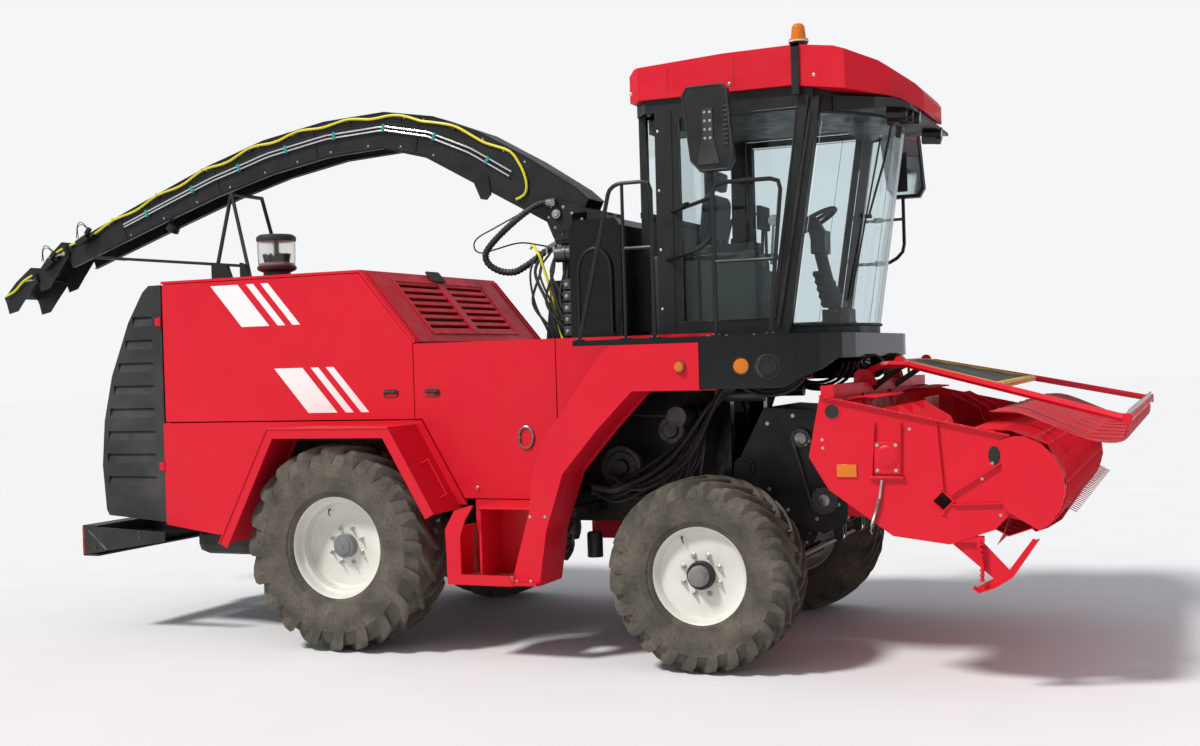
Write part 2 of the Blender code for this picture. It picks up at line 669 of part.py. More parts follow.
def front_sides():
    """Outer skirt round the front wheel's arch, its return walls, the inner wall and the step box."""
    inner = -BODY_Y + PANEL
    skirt = plate(SKIRT, "y", -SKIRT_Y, -SKIRT_Y + 0.015)
    rear_edge = SKIRT[8:] + [SKIRT[0]]
    arch = SKIRT[2:8]
    back_wall = band([(x + 0.001, z) for x, z in rear_edge], 0.015, -SKIRT_Y + 0.002, -1.335)
    arch_wall = band([(x + 0.001, z + 0.001) for x, z in arch], 0.015, -SKIRT_Y + 0.002, -BODY_Y + 0.01)
    top = box((-1.05, 0.057), (-SKIRT_Y + 0.002, inner - 0.004), (2.090, 2.111))
    top_cut = [(-1.2, 2.2), (-0.543, 2.2), (-0.543, 2.112), (-0.66, 2.0), (-1.2, 2.0)]
    trim = plate(top_cut, "y", -2.0, -BODY_Y)
    wall = plate([(DOOR_FRONT + SEAM, DECK_Z - 0.015), (0.057, DECK_Z - 0.015), (0.057, 1.80),
                  (-0.41, 1.80), (-0.66, 1.545),
                  (-0.91, 1.265), (-1.045, 0.90), (-1.105, 0.54), (-1.74, 0.54), (-1.74, DOOR_LOW - SEAM),
                  (DOOR_FRONT + SEAM, DOOR_LOW - SEAM)], "y", -BODY_Y, inner)
    step_side = plate([(-1.76, 0.53), (-1.775, 0.904), (-1.70, 1.03), (-1.585, 1.065), (-1.555, 1.065),
                       (-1.62, 0.97), (-1.66, 0.86), (-1.66, 0.60), (-1.30, 0.60), (-1.27, 0.53)],
                      "y", -FENDER_Y, -FENDER_Y + 0.012)
    cheek = box((-1.770, -1.757), (-FENDER_Y + 0.004, inner - 0.005), (0.537, 0.90))
    divider = box((-1.555, -1.540), (-SKIRT_Y + 0.03, inner - 0.005), (0.537, 1.050))
    tread = box((-1.765, -1.27), (-FENDER_Y + 0.003, inner - 0.003), (0.534, 0.556))
    ledge = box((-1.56, -1.16), (-SKIRT_Y + 0.01, inner - 0.004), (1.037, 1.055))
    body = union([skirt, back_wall, arch_wall, cut(top, [trim]), wall, step_side, cheek, divider, tread,
                  ledge])
    foot = box((-1.40, -1.105), (-FENDER_Y + 0.006, -SKIRT_Y + 0.01), (0.537, 0.553))
    pair(union([body, foot]), "front_side", RED)


def width_at(line, z):
    for (x1, z1), (x2, z2) in zip(line, line[1:]):
        if min(z1, z2) <= z <= max(z1, z2) and z1 != z2:
            return x1 + (x2 - x1) * (z - z1) / (z2 - z1)
    return line[0][0]


def rear_grille():
    """Moulded rear cowl, open towards the engine, with louvre steps round its sides and back."""
    half = 1.045
    shell = plate(GRILLE_SIDE, "y", -half, half)
    inside = inset(GRILLE_SIDE, 0.045)
    inside[0] = (HOOD_REAR + 0.3, inside[0][1])
    inside[-1] = (HOOD_REAR + 0.3, inside[-1][1])
    hollow = plate(inside, "y", -half + 0.045, half - 0.045)
    front = box((-4.4605, -4.0), (-1.2, 1.2), (0.5, 3.0))
    grooves = []
    count = 8
    low = 1.16
    pitch = 0.178
    edge = GRILLE_SIDE[1:8]
    for i in range(count):
        z = low + i * pitch
        wedge = [(0.0, z - 0.055), (0.0, z + 0.055), (0.030, z + 0.055)]
        rear_x = width_at(edge, z)
        for side in (-1, 1):
            profile = [(side * (half + 0.01 - w), h) for w, h in wedge]
            grooves.append(plate(profile, "x", rear_x + 0.05, -4.55))
        back = [(rear_x - 0.10, z - 0.055), (rear_x - 0.10, z + 0.055), (rear_x + 0.030, z + 0.055),
                (width_at(edge, z - 0.055) + 0.004, z - 0.055)]
        grooves.append(plate(back, "y", -half + 0.14, half - 0.14))
    body = cut(shell, [hollow, front])
    body = cut(body, grooves)
    hinges = [box((-4.510, -4.462), (-half - 0.012, -half + 0.02), (z, z + 0.05)) for z in (1.27, 2.39)]
    return node(union([body, *hinges]), "rear_grille", BLACK, (-4.46, -BODY_Y, 1.8))


def pre_cleaner():
    x, y = (-3.61, -0.70)
    place = Matrix.Translation((x, y, 0))
    base = HOOD_TOP + SEAT_GAP
    profile = [(0.0, base + 0.335), (0.130, base + 0.335), (0.150, base + 0.320), (0.152, base + 0.290),
               (0.146, base + 0.285), (0.140, base + 0.095), (0.150, base + 0.085), (0.146, base + 0.060),
               (0.110, base + 0.045), (0.105, base), (0.0, base)]
    return node(lathe(profile, 12, place, closed=False), "pre_cleaner", BLACK)


def spout_cradle():
    """Tube stand whose cross bar holds the resting spout, with the long arm behind it."""
    base = HOOD_TOP + SEAT_GAP
    x = -4.400
    y = 0.200
    top = spout_underside(x) - 0.030
    foot = base + 0.010
    legs = (((x + 0.02, -0.48, foot), (x, -y, top)), ((x + 0.38, -0.48, foot), (x + 0.004, -y, top + 0.002)),
            ((x + 0.01, -y - 0.01, top - 0.003), (x + 0.01, y + 0.01, top - 0.003)), ((x + 0.03, 0.48,
                    foot), (x + 0.01, y, top + 0.003)))
    pieces = [cylinder(start, end, 0.016, 8) for start, end in legs]
    for fx, fy in ((x + 0.02, -0.48), (x + 0.38, -0.48), (x + 0.03, 0.48)):
        pieces.append(box((fx - 0.05, fx + 0.05), (fy - 0.04, fy + 0.04), (base, base + 0.012)))
    end = -5.80
    arm_top = spout_underside(end) - 0.035
    arm = plate([(-4.06, 2.842), (-4.06, 2.866), (end, arm_top), (end, arm_top - 0.024)], "y", -0.480, -0.455)
    hook = box((end - 0.003, end + 0.03), (-0.477, 0.10), (arm_top - 0.022, arm_top - 0.002))
    pieces.extend([arm, hook])
    for x1, x2 in ((-4.40, -4.20), (-4.12, -4.02)):
        bracket = [(x1, base + 0.001), (x1, 2.885), (x2 - 0.05, 2.865), (x2, base + 0.001)]
        pieces.append(plate(bracket, "y", -0.490, -0.450))
    return node(union(pieces), "spout_cradle", BLACK)


# Spout
SPOUT_CROWN = [(-6.230, 3.150), (-5.20, 3.545), (-4.10, 3.905), (-2.941, 4.030), (-2.10, 3.800),
               (-1.253, 3.285)]
SPOUT_DEPTH = ((-6.230, 0.200), (-5.649, 0.235), (-4.256, 0.300), (-2.895, 0.290), (-2.183, 0.350),
               (-1.634, 0.390))
FLAP_PIN = (-6.215, 3.090)
FLAP_TWO_PIN = (-6.560, 2.880)


def depth_at(x):
    table = SPOUT_DEPTH
    if x <= table[0][0]:
        return table[0][1]
    for (x1, d1), (x2, d2) in zip(table, table[1:]):
        if x <= x2:
            return d1 + (d2 - d1) * (x - x1) / (x2 - x1)
    return table[-1][1]


def spout_line():
    return smooth_line(SPOUT_CROWN, 2)


def spout_underside(x):
    """Height of the spout's lower edge, straight below a point of its crown."""
    line = spout_line()
    for (x1, z1), (x2, z2) in zip(line, line[1:]):
        if x1 <= x <= x2:
            slope = (z2 - z1) / (x2 - x1)
            z = z1 + (x - x1) * slope
            return z - depth_at(x) * math.sqrt(1 + slope * slope)
    return line[0][1] - depth_at(x)


def spout_edges():
    """Crown line and the lower edge line square to it."""
    crown = [p for p in spout_line() if p[0] <= -1.45]
    lower = []
    for i, (x, z) in enumerate(crown):
        a = Vector(crown[max(i - 1, 0)])
        b = Vector(crown[min(i + 1, len(crown) - 1)])
        along = (b - a).normalized()
        depth = depth_at(x)
        lower.append((x + along.y * depth, z - along.x * depth))
    return crown, lower


def spout():
    """Curved chute: crown sheet, two side walls with folded lower edges and a closed root."""
    crown, lower = spout_edges()
    pivot_x, pivot_z = SPOUT_PIVOT
    half = SPOUT_HALF
    under = [(-1.44, 3.055), (pivot_x - 0.10, 3.07)]
    shy = [(x, z - 0.003) for x, z in crown] + [(-1.303, 3.311), (-1.206, 3.222), (-1.237, 3.157),
                                                (-1.33, 3.122)]
    outline = shy + under + lower[::-1][2:]
    wall = plate(outline, "y", -half, -half + SPOUT_SHEET)
    walls = [wall, plate(outline, "y", half - SPOUT_SHEET, half)]
    top_line = crown + [(-1.30, 3.315), (-1.20, 3.225)]
    top = band(top_line, SPOUT_SHEET, -half - 0.004, half + 0.004)
    lips = []
    edge = lower[:-3]
    for s in (-1, 1):
        y = sorted((s * (half - 0.002), s * (half - 0.035)))
        lips.append(band([(x, z + 0.010) for x, z in edge if x < -2.6], 0.006, y[0], y[1]))
    floor = band([(x, z + 0.015) for x, z in lower if x > -2.75][:-3], 0.010, -half + 0.001, half - 0.001)
    pins = []
    for s in (-1, 1):
        pins.append(cylinder((pivot_x, s * (half - 0.004), pivot_z), (pivot_x, s * (half + 0.045), pivot_z),
                             0.032, 8))
        pins.append(cylinder((pivot_x, s * (half - 0.003), pivot_z), (pivot_x, s * (half + 0.003), pivot_z),
                             0.070, 8))
    lug = plate([(-2.16, 3.42), (-2.03, 3.45), (-2.01, 3.31), (-2.05, 3.27), (-2.10, 3.28)], "y",
                -half - 0.012, -half + 0.002)
    end_ears = []
    fx, fz = FLAP_PIN
    for s in (-1, 1):
        y = sorted((s * (half - 0.004), s * (half + 0.010)))
        end_ears.append(cylinder((fx, y[0], fz), (fx, y[1], fz), 0.035, 8))
    shell = union([top, *walls, *lips, floor, *pins, lug, *end_ears])
    holes = [cylinder((fx, -0.3, fz), (fx, 0.3, fz), 0.0135, 8)]
    return node(cut(shell, holes), "spout", BLACK, (pivot_x, 0, pivot_z))


def flap(name, start, end, reach, parent_half, pin_hole=None):
    """Deflector: a bent sheet with two side cheeks, carried on a cross pin at its start."""
    half = parent_half + 0.018
    a = Vector(start)
    b = Vector(end)
    along = (b - a).normalized()
    up = Vector((-along.y, along.x))
    if up.y < 0:
        up = -up
    crown = [a + up * 0.110 - along * 0.02, a.lerp(b, 0.5) + up * 0.085, b + up * 0.030]
    sheet_line = [tuple(p) for p in crown]
    if sheet_line[0][0] > sheet_line[-1][0]:
        sheet_line = sheet_line[::-1]
    sheet = band(sheet_line, 0.006, -half - 0.006, half + 0.006)
    tail = [b + up * 0.026, b - up * 0.02, b - up * reach + along * 0.02,
            b - up * (reach + 0.03) - along * 0.08,
            a.lerp(b,
                   0.45) - up * 0.10, a - up * 0.03 - along * 0.03, a - along * 0.035, crown[0] - up * 0.003,
            crown[1] - up * 0.003]
    cheeks = [plate([tuple(p) for p in tail], "y", half, half + 0.006),
              plate([tuple(p) for p in tail], "y", -half - 0.006, -half)]
    rod = cylinder((a.x, -half - 0.02, a.y), (a.x, half + 0.02, a.y), 0.010, 8)
    pieces = [sheet, *cheeks, rod]
    if pin_hole:
        for s in (-1, 1):
            y = sorted((s * (half - 0.001), s * (half + 0.012)))
            pieces.append(cylinder((pin_hole[0], y[0], pin_hole[1]), (pin_hole[0], y[1], pin_hole[1]),
                                   0.030, 8))
    body = union(pieces)
    if pin_hole:
        body = cut(body, [cylinder((pin_hole[0], -0.4, pin_hole[1]), (pin_hole[0], 0.4, pin_hole[1]),
                                   0.0135, 8)])
    node(body, name, BLACK, (a.x, 0, a.y))
    return half


def spout_flaps():
    half = flap("spout_flap_inner", FLAP_PIN, (-6.552, 2.886), 0.12, SPOUT_HALF, FLAP_TWO_PIN)
    flap("spout_flap_outer", FLAP_TWO_PIN, (-6.90, 2.700), 0.12, half + 0.006)


def chopper_tower():
    """Blower housing on the frame with the upright duct that carries the turntable."""
    base = RAIL_TOP + SEAT_GAP
    side = [(-1.56, base), (-0.20, base), (-0.12, 1.45), (-0.30, 1.85), (-0.80, 1.98), (-1.00, 2.20),
            (-1.05, 2.62), (-1.50, 2.62), (-1.56, 2.10)]
    housing = plate(side, "y", -0.34, 0.34)
    trim = [box((-1.7, -0.9), s, (2.16, 2.8)) for s in ((-0.5, -0.22), (0.22, 0.5))]
    housing = cut(housing, trim)
    neck = cylinder((TOWER_X, 0, 2.55), (TOWER_X, 0, TURNTABLE_Z - 0.030), 0.215, 14)
    rib = cylinder((TOWER_X, 0, 2.84), (TOWER_X, 0, 2.865), 0.240, 14)
    flange = cylinder((TOWER_X, 0, TURNTABLE_Z - 0.055), (TOWER_X, 0, TURNTABLE_Z - 0.030), 0.262, 14)
    body = union([housing, neck, rib, flange])
    inner = plate([(-1.48, 1.55), (-1.05, 1.55), (-1.08, 2.66), (-1.46, 2.66)], "y", -0.20, 0.20)
    mouth = box((-1.06, 0.5), (-0.30, 0.30), (1.12, 1.60))
    bore = cylinder((TOWER_X, 0, 2.50), (TOWER_X, 0, 3.2), 0.190, 14)
    return node(cut(body, [bore, inner, mouth]), "chopper_tower", BLACK)


def spout_turret():
    """Turntable ring with two cheeks that carry the spout's pivot and a curved back wall."""
    x = TOWER_X
    low = TURNTABLE_Z - 0.030 + SEAT_GAP
    ring = cylinder((x, 0, low), (x, 0, low + 0.040), 0.270, 14)
    lip = cylinder((x, 0, low + 0.035), (x, 0, low + 0.075), 0.225, 14)
    pieces = [ring, lip]
    inner = SPOUT_HALF + 0.004 + RUN_GAP
    px, pz = SPOUT_PIVOT
    for s in (-1, 1):
        y = sorted((s * inner, s * (inner + 0.016)))
        cheek = [(x - 0.215, low + 0.02), (px - 0.105, pz - 0.01), (px - 0.09, pz + 0.075),
                 (px - 0.02, pz + 0.115),
                 (px + 0.07, pz + 0.09), (x + 0.02, 3.16), (x + 0.19, 3.12), (x + 0.215, low + 0.02)]
        pieces.append(plate(cheek, "y", y[0], y[1]))
    back = [(x + 0.215, low + 0.03), (x + 0.205, 3.07), (x + 0.17, 3.125), (x + 0.155, 3.118),
            (x + 0.185, 3.06),
            (x + 0.195, low + 0.03)]
    pieces.append(plate(back, "y", -inner - 0.01, inner + 0.01))
    body = union(pieces)
    tools = [cylinder((x, 0, low - 0.1), (x, 0, low + 0.2), 0.190, 14)]
    tools.append(cylinder((px, -0.4, pz), (px, 0.4, pz), 0.0370, 8))
    return node(cut(body, tools), "spout_turret", BLACK, (x, 0, low))


# Cab
def arc_points(centre, radius, start, end, steps):
    """Points on an arc in plan, angles in degrees."""
    result = []
    for i in range(steps + 1):
        a = math.radians(start + (end - start) * i / steps)
        result.append((centre[0] + radius * math.cos(a), centre[1] + radius * math.sin(a)))
    return result


def bow(half, side_x, front_x, steps=6):
    """Plan curve of the cab's front, from the right pillar round to the left one."""
    rise = front_x - side_x
    radius = (half * half + rise * rise) / (2 * rise)
    centre = front_x - radius
    limit = math.degrees(math.asin(half / radius))
    return arc_points((centre, 0), radius, -limit, limit, steps)


def cab_platform():
    """Deck and glossy fascia under the cab with the cabinet and grab rails it carries."""
    def outline(grow, steps=4):
        side = SKIRT_Y + grow
        corner = []
        for i in range(steps + 1):
            t = math.radians(90 * i / steps)
            corner.append((0.50 + (0.42 + grow) * math.sin(t), -(side - 0.62) - 0.62 * math.cos(t)))
        front = [(x, y) for x, y in corner]
        return [(0.065, -side)] + front + [(x, -y) for x, y in front[::-1]] + [(0.065, side)]

    outer = outline(0.0)
    deck = plate(outer, "z", 2.125, 2.150)
    skirt = plate(outer, "z", 1.815, 2.140)
    hollow = plate([(-0.5, outer[0][1] + 0.03)] + [(x - 0.02, y * 0.978) for x, y in outer[1:-1]]
                   + [(-0.5, outer[-1][1] - 0.03)], "z", 1.7, 2.1248)
    ramp = plate([(0.60, 1.70), (0.60, 1.816), (0.80, 1.93), (0.86, 1.99), (1.2, 1.99), (1.2, 1.70)], "y",
                 -1.6, 1.6)
    edge = BODY_Y - PANEL - 0.002
    floor = plate([(0.10, -edge), (0.10, edge), (-2.18, edge), (-2.18, -edge)], "z", 2.125, 2.150,
                  holes=[[(-1.62, -0.37), (-1.62, 0.37), (-0.90, 0.37), (-0.90, -0.37)]])
    posts = []
    for s in (-1, 1):
        y = sorted((s * RAIL_Y, s * (RAIL_Y + 0.09)))
        posts.append(box((-0.16, -0.05), y, (RAIL_TOP + SEAT_GAP, 2.13)))
        posts.append(box((-0.16, 0.30), y, (2.02, 2.13)))
    body = union([cut(skirt, [hollow, ramp]), deck, floor, *posts])
    cabinet_side = [(-1.00, 2.14), (-0.62, 2.14), (-0.62, 2.93), (-0.66, 2.98), (-0.96, 2.98), (-1.00, 2.93)]
    cabinet = plate(cabinet_side, "y", -0.98, -0.42)
    panel = plate([(-0.93, 2.20)] + [(-0.81 + 0.12 * math.cos(math.radians(a)),
                                      2.62 + 0.16 * math.sin(math.radians(a)))
                                     for a in range(180, -1, -45)] + [(-0.69, 2.20)], "y", -0.995, -0.975)
    walk_deck = []
    for s in (-1, 1):
        y = sorted((s * (BODY_Y + 0.006), s * (SKIRT_Y - 0.012)))
        walk_deck.append(box((-0.54, 0.10), y, (2.1123, DECK_TOP)))
        foot = sorted((s * 1.27, s * 1.33))
        walk_deck.append(box((-0.84, -0.53), foot, (2.1145, DECK_TOP)))
    body = union([body, *walk_deck, cabinet, panel])
    return node(body, "cab_platform", GLOSS)


def grab_rails():
    """Tube rails that stand on the walking deck: one behind each door and one by the right window."""
    y = -RAIL_LINE_Y
    deck = DECK_TOP + SEAT_GAP
    foot_z = deck + 0.004
    line = rounded([(-0.80, y, foot_z), (-0.56, y, 3.13), (-0.50, y, 3.165), (-0.27, y, 3.165),
                    (-0.27, y, foot_z)], 0.06)
    rear = [tube(line, 0.014, 1)]
    rear.append(tube([(-0.47, y, 3.165), (-0.47, y, foot_z)], 0.012, 1))
    rear.append(tube([(-0.47, y, 2.74), (-0.27, y, 2.74)], 0.011, 1))
    for x in (-0.80, -0.47, -0.27):
        rear.append(box((x - 0.028, x + 0.028), (y - 0.022, y + 0.022), (deck, deck + 0.008)))
    pair(union(rear), "rear_rail", BLACK)
    line = rounded([(0.15, y, foot_z), (0.15, y, 3.12), (0.60, y, 3.12), (0.50, y, foot_z)], 0.07)
    front = [tube(line, 0.014, 1), tube([(0.15, y, 2.62), (0.548, y, 2.62)], 0.011, 1)]
    for x in (0.15, 0.50):
        front.append(box((x - 0.028, x + 0.028), (y - 0.022, y + 0.022), (deck, deck + 0.008)))
    node(union(front), "front_rail", BLACK)


def pillar(bottom, top, along, across):
    """Straight post with a rectangular section, from one floor point to one roof point."""
    bm = bmesh.new()
    rings = []
    for x, y, z in (bottom, top):
        corners = ((-1, -1), (1, -1), (1, 1), (-1, 1))
        rings.append([bm.verts.new((x + u * along / 2, y + v * across / 2, z)) for u, v in corners])
    bm.faces.new(rings[0][::-1])
    bm.faces.new(rings[1])
    for i in range(4):
        j = (i + 1) % 4
        bm.faces.new((rings[0][i], rings[0][j], rings[1][j], rings[1][i]))
    mesh = bpy.data.meshes.new("pillar")
    bm.to_mesh(mesh)
    bm.free()
    obj = bpy.data.objects.new("pillar", mesh)
    WORK.objects.link(obj)
    return obj


SILL_LOW = CAB_FLOOR - 0.005 + SEAT_GAP
SILL_TOP = CAB_FLOOR + 0.050
HEAD_LOW = 3.680
HEAD_TOP = ROOF_LOW - SEAT_GAP
A_FOOT = (0.46, 0.830)
A_HEAD = (0.70, 0.800)
FRONT_FOOT = 0.90
FRONT_HEAD = 1.125


VISOR_LOW = 3.594
VISOR = [(0.80, VISOR_LOW + 0.002), (0.80, 3.700), (1.12, 3.660), (1.20, 3.648), (1.30, 3.600), (1.30, 3.576),
         (1.16, VISOR_LOW + 0.002)]


def cab_head_plan(grow):
    """Plan outline of the ring under the roof, optionally grown by a clearance."""
    shoulder = A_HEAD[0] + grow
    front = bow(A_HEAD[1] + grow, shoulder, FRONT_HEAD + grow)
    side = CAB_Y + grow
    rear = CAB_REAR - grow
    plan = [(rear, -0.70), (CAB_REAR + 0.12, -side), (shoulder, -side + 0.02)] + front
    return plan + [(shoulder, side - 0.02), (CAB_REAR + 0.12, side), (rear, 0.70)]


def cab_frame():
    """Floor ring, roof ring and six pillars, with the lamp visor under the roof's front edge."""
    foot_front = bow(A_FOOT[1], A_FOOT[0], FRONT_FOOT)
    foot = [(CAB_REAR, -0.70), (CAB_REAR + 0.12, -CAB_Y), (A_FOOT[0], -CAB_Y)] + foot_front
    foot += [(A_FOOT[0], CAB_Y), (CAB_REAR + 0.12, CAB_Y), (CAB_REAR, 0.70)]
    head = cab_head_plan(0.0)
    sill = plate(foot, "z", SILL_LOW, SILL_TOP)
    header = plate(head, "z", HEAD_LOW, HEAD_TOP)
    opening = plate([(CAB_REAR + 0.05, -0.66), (-0.44, -0.79), (0.40, -0.79), (0.62, -0.60), (0.62, 0.60),
                     (0.40, 0.79), (-0.44, 0.79), (CAB_REAR + 0.05,
                                                   0.66)], "z", HEAD_LOW - 0.1, HEAD_TOP - 0.02)
    pieces = [sill, cut(header, [opening])]
    for s in (-1, 1):
        pieces.append(pillar((A_FOOT[0], s * 0.823, SILL_LOW + 0.01),
                             (A_HEAD[0], s * 0.800, HEAD_LOW + 0.01), 0.085, 0.07))
        pieces.append(pillar((-0.345, s * 0.835, SILL_LOW + 0.01), (-0.335, s * 0.835, HEAD_LOW + 0.01),
                             0.12, 0.05))
        pieces.append(pillar((CAB_REAR + 0.035, s * 0.68, SILL_LOW + 0.01),
                             (CAB_REAR + 0.035, s * 0.68, HEAD_LOW + 0.01), 0.05, 0.05))
    pieces.append(box((CAB_REAR + 0.002, CAB_REAR + 0.038), (-0.70, 0.70), (2.99, 3.03)))
    pieces.append(box((CAB_REAR + 0.005, CAB_REAR + 0.03), (-0.69, 0.69), (SILL_LOW + 0.01, 3.0)))
    brow = [(0.665, -0.79)] + bow(A_HEAD[1], A_HEAD[0], FRONT_HEAD) + [(0.665, 0.79)]
    pieces.append(plate(brow, "z", VISOR_LOW, HEAD_LOW + 0.02))
    pieces.append(plate(VISOR, "y", -0.72, 0.72))
    for s in (-1, 1):
        for i in range(3):
            y = s * (0.41 + 0.105 * i)
            x = 1.245 - 0.022 * i
            pieces.append(cylinder((x - 0.07, y, 3.565), (x + 0.055, y, 3.555), 0.044, 8))
    pieces.extend([mirror(-1, -0.345, 0.0), mirror(1, 0.575, 0.74), side_window_frame()])
    return node(union(pieces), "cab_frame", BLACK)


def loft_sheet(lower, upper, low, high, thickness):
    """Thin closed sheet between two plan curves at two heights, thickened outward."""
    mesh = bpy.data.meshes.new("sheet")
    count = len(lower)
    verts = [(x, y, low) for x, y in lower] + [(x, y, high) for x, y in upper]
    faces = [(i, i + 1, count + i + 1, count + i) for i in range(count - 1)]
    mesh.from_pydata(verts, [], faces)
    obj = bpy.data.objects.new("sheet", mesh)
    WORK.objects.link(obj)
    solid = obj.modifiers.new("Solidify", "SOLIDIFY")
    solid.thickness = thickness
    solid.offset = 0.0
    return baked(obj)


def glazing():
    low = SILL_TOP + 0.0015
    high = VISOR_LOW - 0.0015
    foot = bow(A_FOOT[1] - 0.045, A_FOOT[0] + 0.055, FRONT_FOOT - 0.006, 10)
    head = bow(A_HEAD[1] - 0.042, A_HEAD[0] + 0.042, FRONT_HEAD - 0.018, 10)
    node(loft_sheet(foot, head, low, high, GLASS), "windscreen", GLAZING)
    x = CAB_REAR + 0.022
    pane = box((x - 0.003, x + 0.003), (-0.654, 0.654), (3.0303, HEAD_LOW - SEAT_GAP))
    node(pane, "rear_window", GLAZING)


DOOR_REAR = -0.335 + 0.06 + RUN_GAP
DOOR_PLANES = (0.825, 0.855)
DOOR_RIM = 0.045


def door_outline(gap):
    """Side opening between the pillars, sill and head, drawn in by a gap."""
    def slant(z):
        t = (z - SILL_LOW) / (HEAD_LOW - SILL_LOW)
        return A_FOOT[0] + (A_HEAD[0] - A_FOOT[0]) * t - 0.0425 - 0.004 - gap

    low = SILL_TOP + gap
    high = HEAD_LOW - gap
    rear = DOOR_REAR - RUN_GAP + gap
    return [(rear, low), (slant(low), low), (slant(high), high), (rear, high)]


def side_window_frame():
    """Fixed frame in the right-hand side opening, part of the cab's frame."""
    outer = door_outline(-0.02)
    hole = inset(door_outline(RUN_GAP), DOOR_RIM)
    return plate(outer, "y", -DOOR_PLANES[1], -DOOR_PLANES[0], holes=[hole])


def cab_doors():
    """Left door frame with its window cut, and the panes of both sides."""
    outer = door_outline(RUN_GAP)
    y0, y1 = DOOR_PLANES
    frame = plate(outer, "y", y0, y1, holes=[inset(outer, DOOR_RIM)])
    front = 0.53
    handle = box((front - 0.035, front - 0.012), (y1 - 0.003, y1 + 0.025), (2.75, 2.90))
    pin = (DOOR_REAR + 0.014, y1 + 0.008)
    hinges = [cylinder((*pin, z), (*pin, z + 0.09), 0.012, 10) for z in (2.40, 3.40)]
    node(union([frame, handle, *hinges]), "cab_door", BLACK, (*pin, 2.9))
    middle = (y0 + y1) / 2
    pane = inset(outer, DOOR_RIM + 0.0005)
    node(plate(pane, "y", middle - GLASS / 2, middle + GLASS / 2), "door_glass", GLAZING)
    node(plate(pane, "y", -middle - GLASS / 2, -middle + GLASS / 2), "side_glass", GLAZING)


BEACON = [(0.0, 4.175), (0.030, 4.172), (0.040, 4.155), (0.048, 4.075), (0.062, 4.070), (0.064, 4.055),
          (0.058, 4.045), (0.050, 4.030), (0.050, 3.990), (0.0, 3.990)]


def cab_roof():
    """Moulded roof cap with a drooping front and rounded corners."""
    side = [(-0.585, ROOF_LOW), (-0.615, 3.80), (-0.590, 3.95), (-0.54, 3.985), (0.10, 4.02), (0.60, 4.025),
            (0.85, 3.99),
            (1.10, 3.90), (1.28, 3.78), (1.372, 3.66), (1.352, 3.612), (1.305, 3.612), (1.205,
                    3.667), (0.62, 3.757),
            (0.60, ROOF_LOW)]
    cap = plate(side, "y", -0.885, 0.885)
    front = bow(0.885, 0.92, 1.372, 6)
    corner = [(-0.615, 0.70), (-0.590, 0.80), (-0.50, 0.885)]
    plan = [(x, -y) for x, y in corner] + front + [(x, y) for x, y in corner[::-1]]
    mask = plate(plan, "z", 3.5, 4.2)
    body = boolean(cap, "INTERSECT", [mask])
    bevel = body.modifiers.new("Bevel", "BEVEL")
    bevel.width = 0.03
    bevel.segments = 1
    bevel.limit_method = "ANGLE"
    bevel.angle_limit = math.radians(50)
    body = baked(body)
    beacon = lathe(BEACON, 10, Matrix.Translation((0.60, -0.79, 0)), closed=False)
    room = plate(cab_head_plan(0.006), "z", 3.4, ROOF_LOW)
    visor_room = plate([(0.78, 3.4), (0.78, 3.712), (1.20, 3.657), (1.3065, 3.606), (1.3065, 3.4)], "y",
                       -0.727, 0.727)
    body = cut(union([body, beacon]), [room, visor_room])
    return node(body, "cab_roof", RED)


def mirror(side, root, shift):
    """Mirror with its two arms; root is where they leave their pillar, shift moves the head forward."""
    y = side * 1.22
    head = [(-0.05, 3.70), (-0.02, 3.75), (0.22, 3.75), (0.25, 3.72), (0.285, 3.26), (0.25, 3.20),
            (0.06, 3.20),
            (0.00, 3.27)]
    head = plate([(x + shift, z) for x, z in head], "y", *sorted((y - side * 0.010, y + side * 0.050)))
    x = 0.12 + shift
    arm_low = tube(rounded([(root, side * 0.835, 2.68), (x - 0.12, y, 2.70), (x, y, 2.78), (x, y, 3.4)],
                           0.08, 2), 0.014, 1)
    arm_top = tube([(root + 0.03, side * 0.830, 3.00), (x, y, 3.04)], 0.013, 1)
    pad = box((x - 0.04, x + 0.04), sorted((y - side * 0.022, y + side * 0.010)), (3.25, 3.55))
    return union([head, arm_low, arm_top, pad])


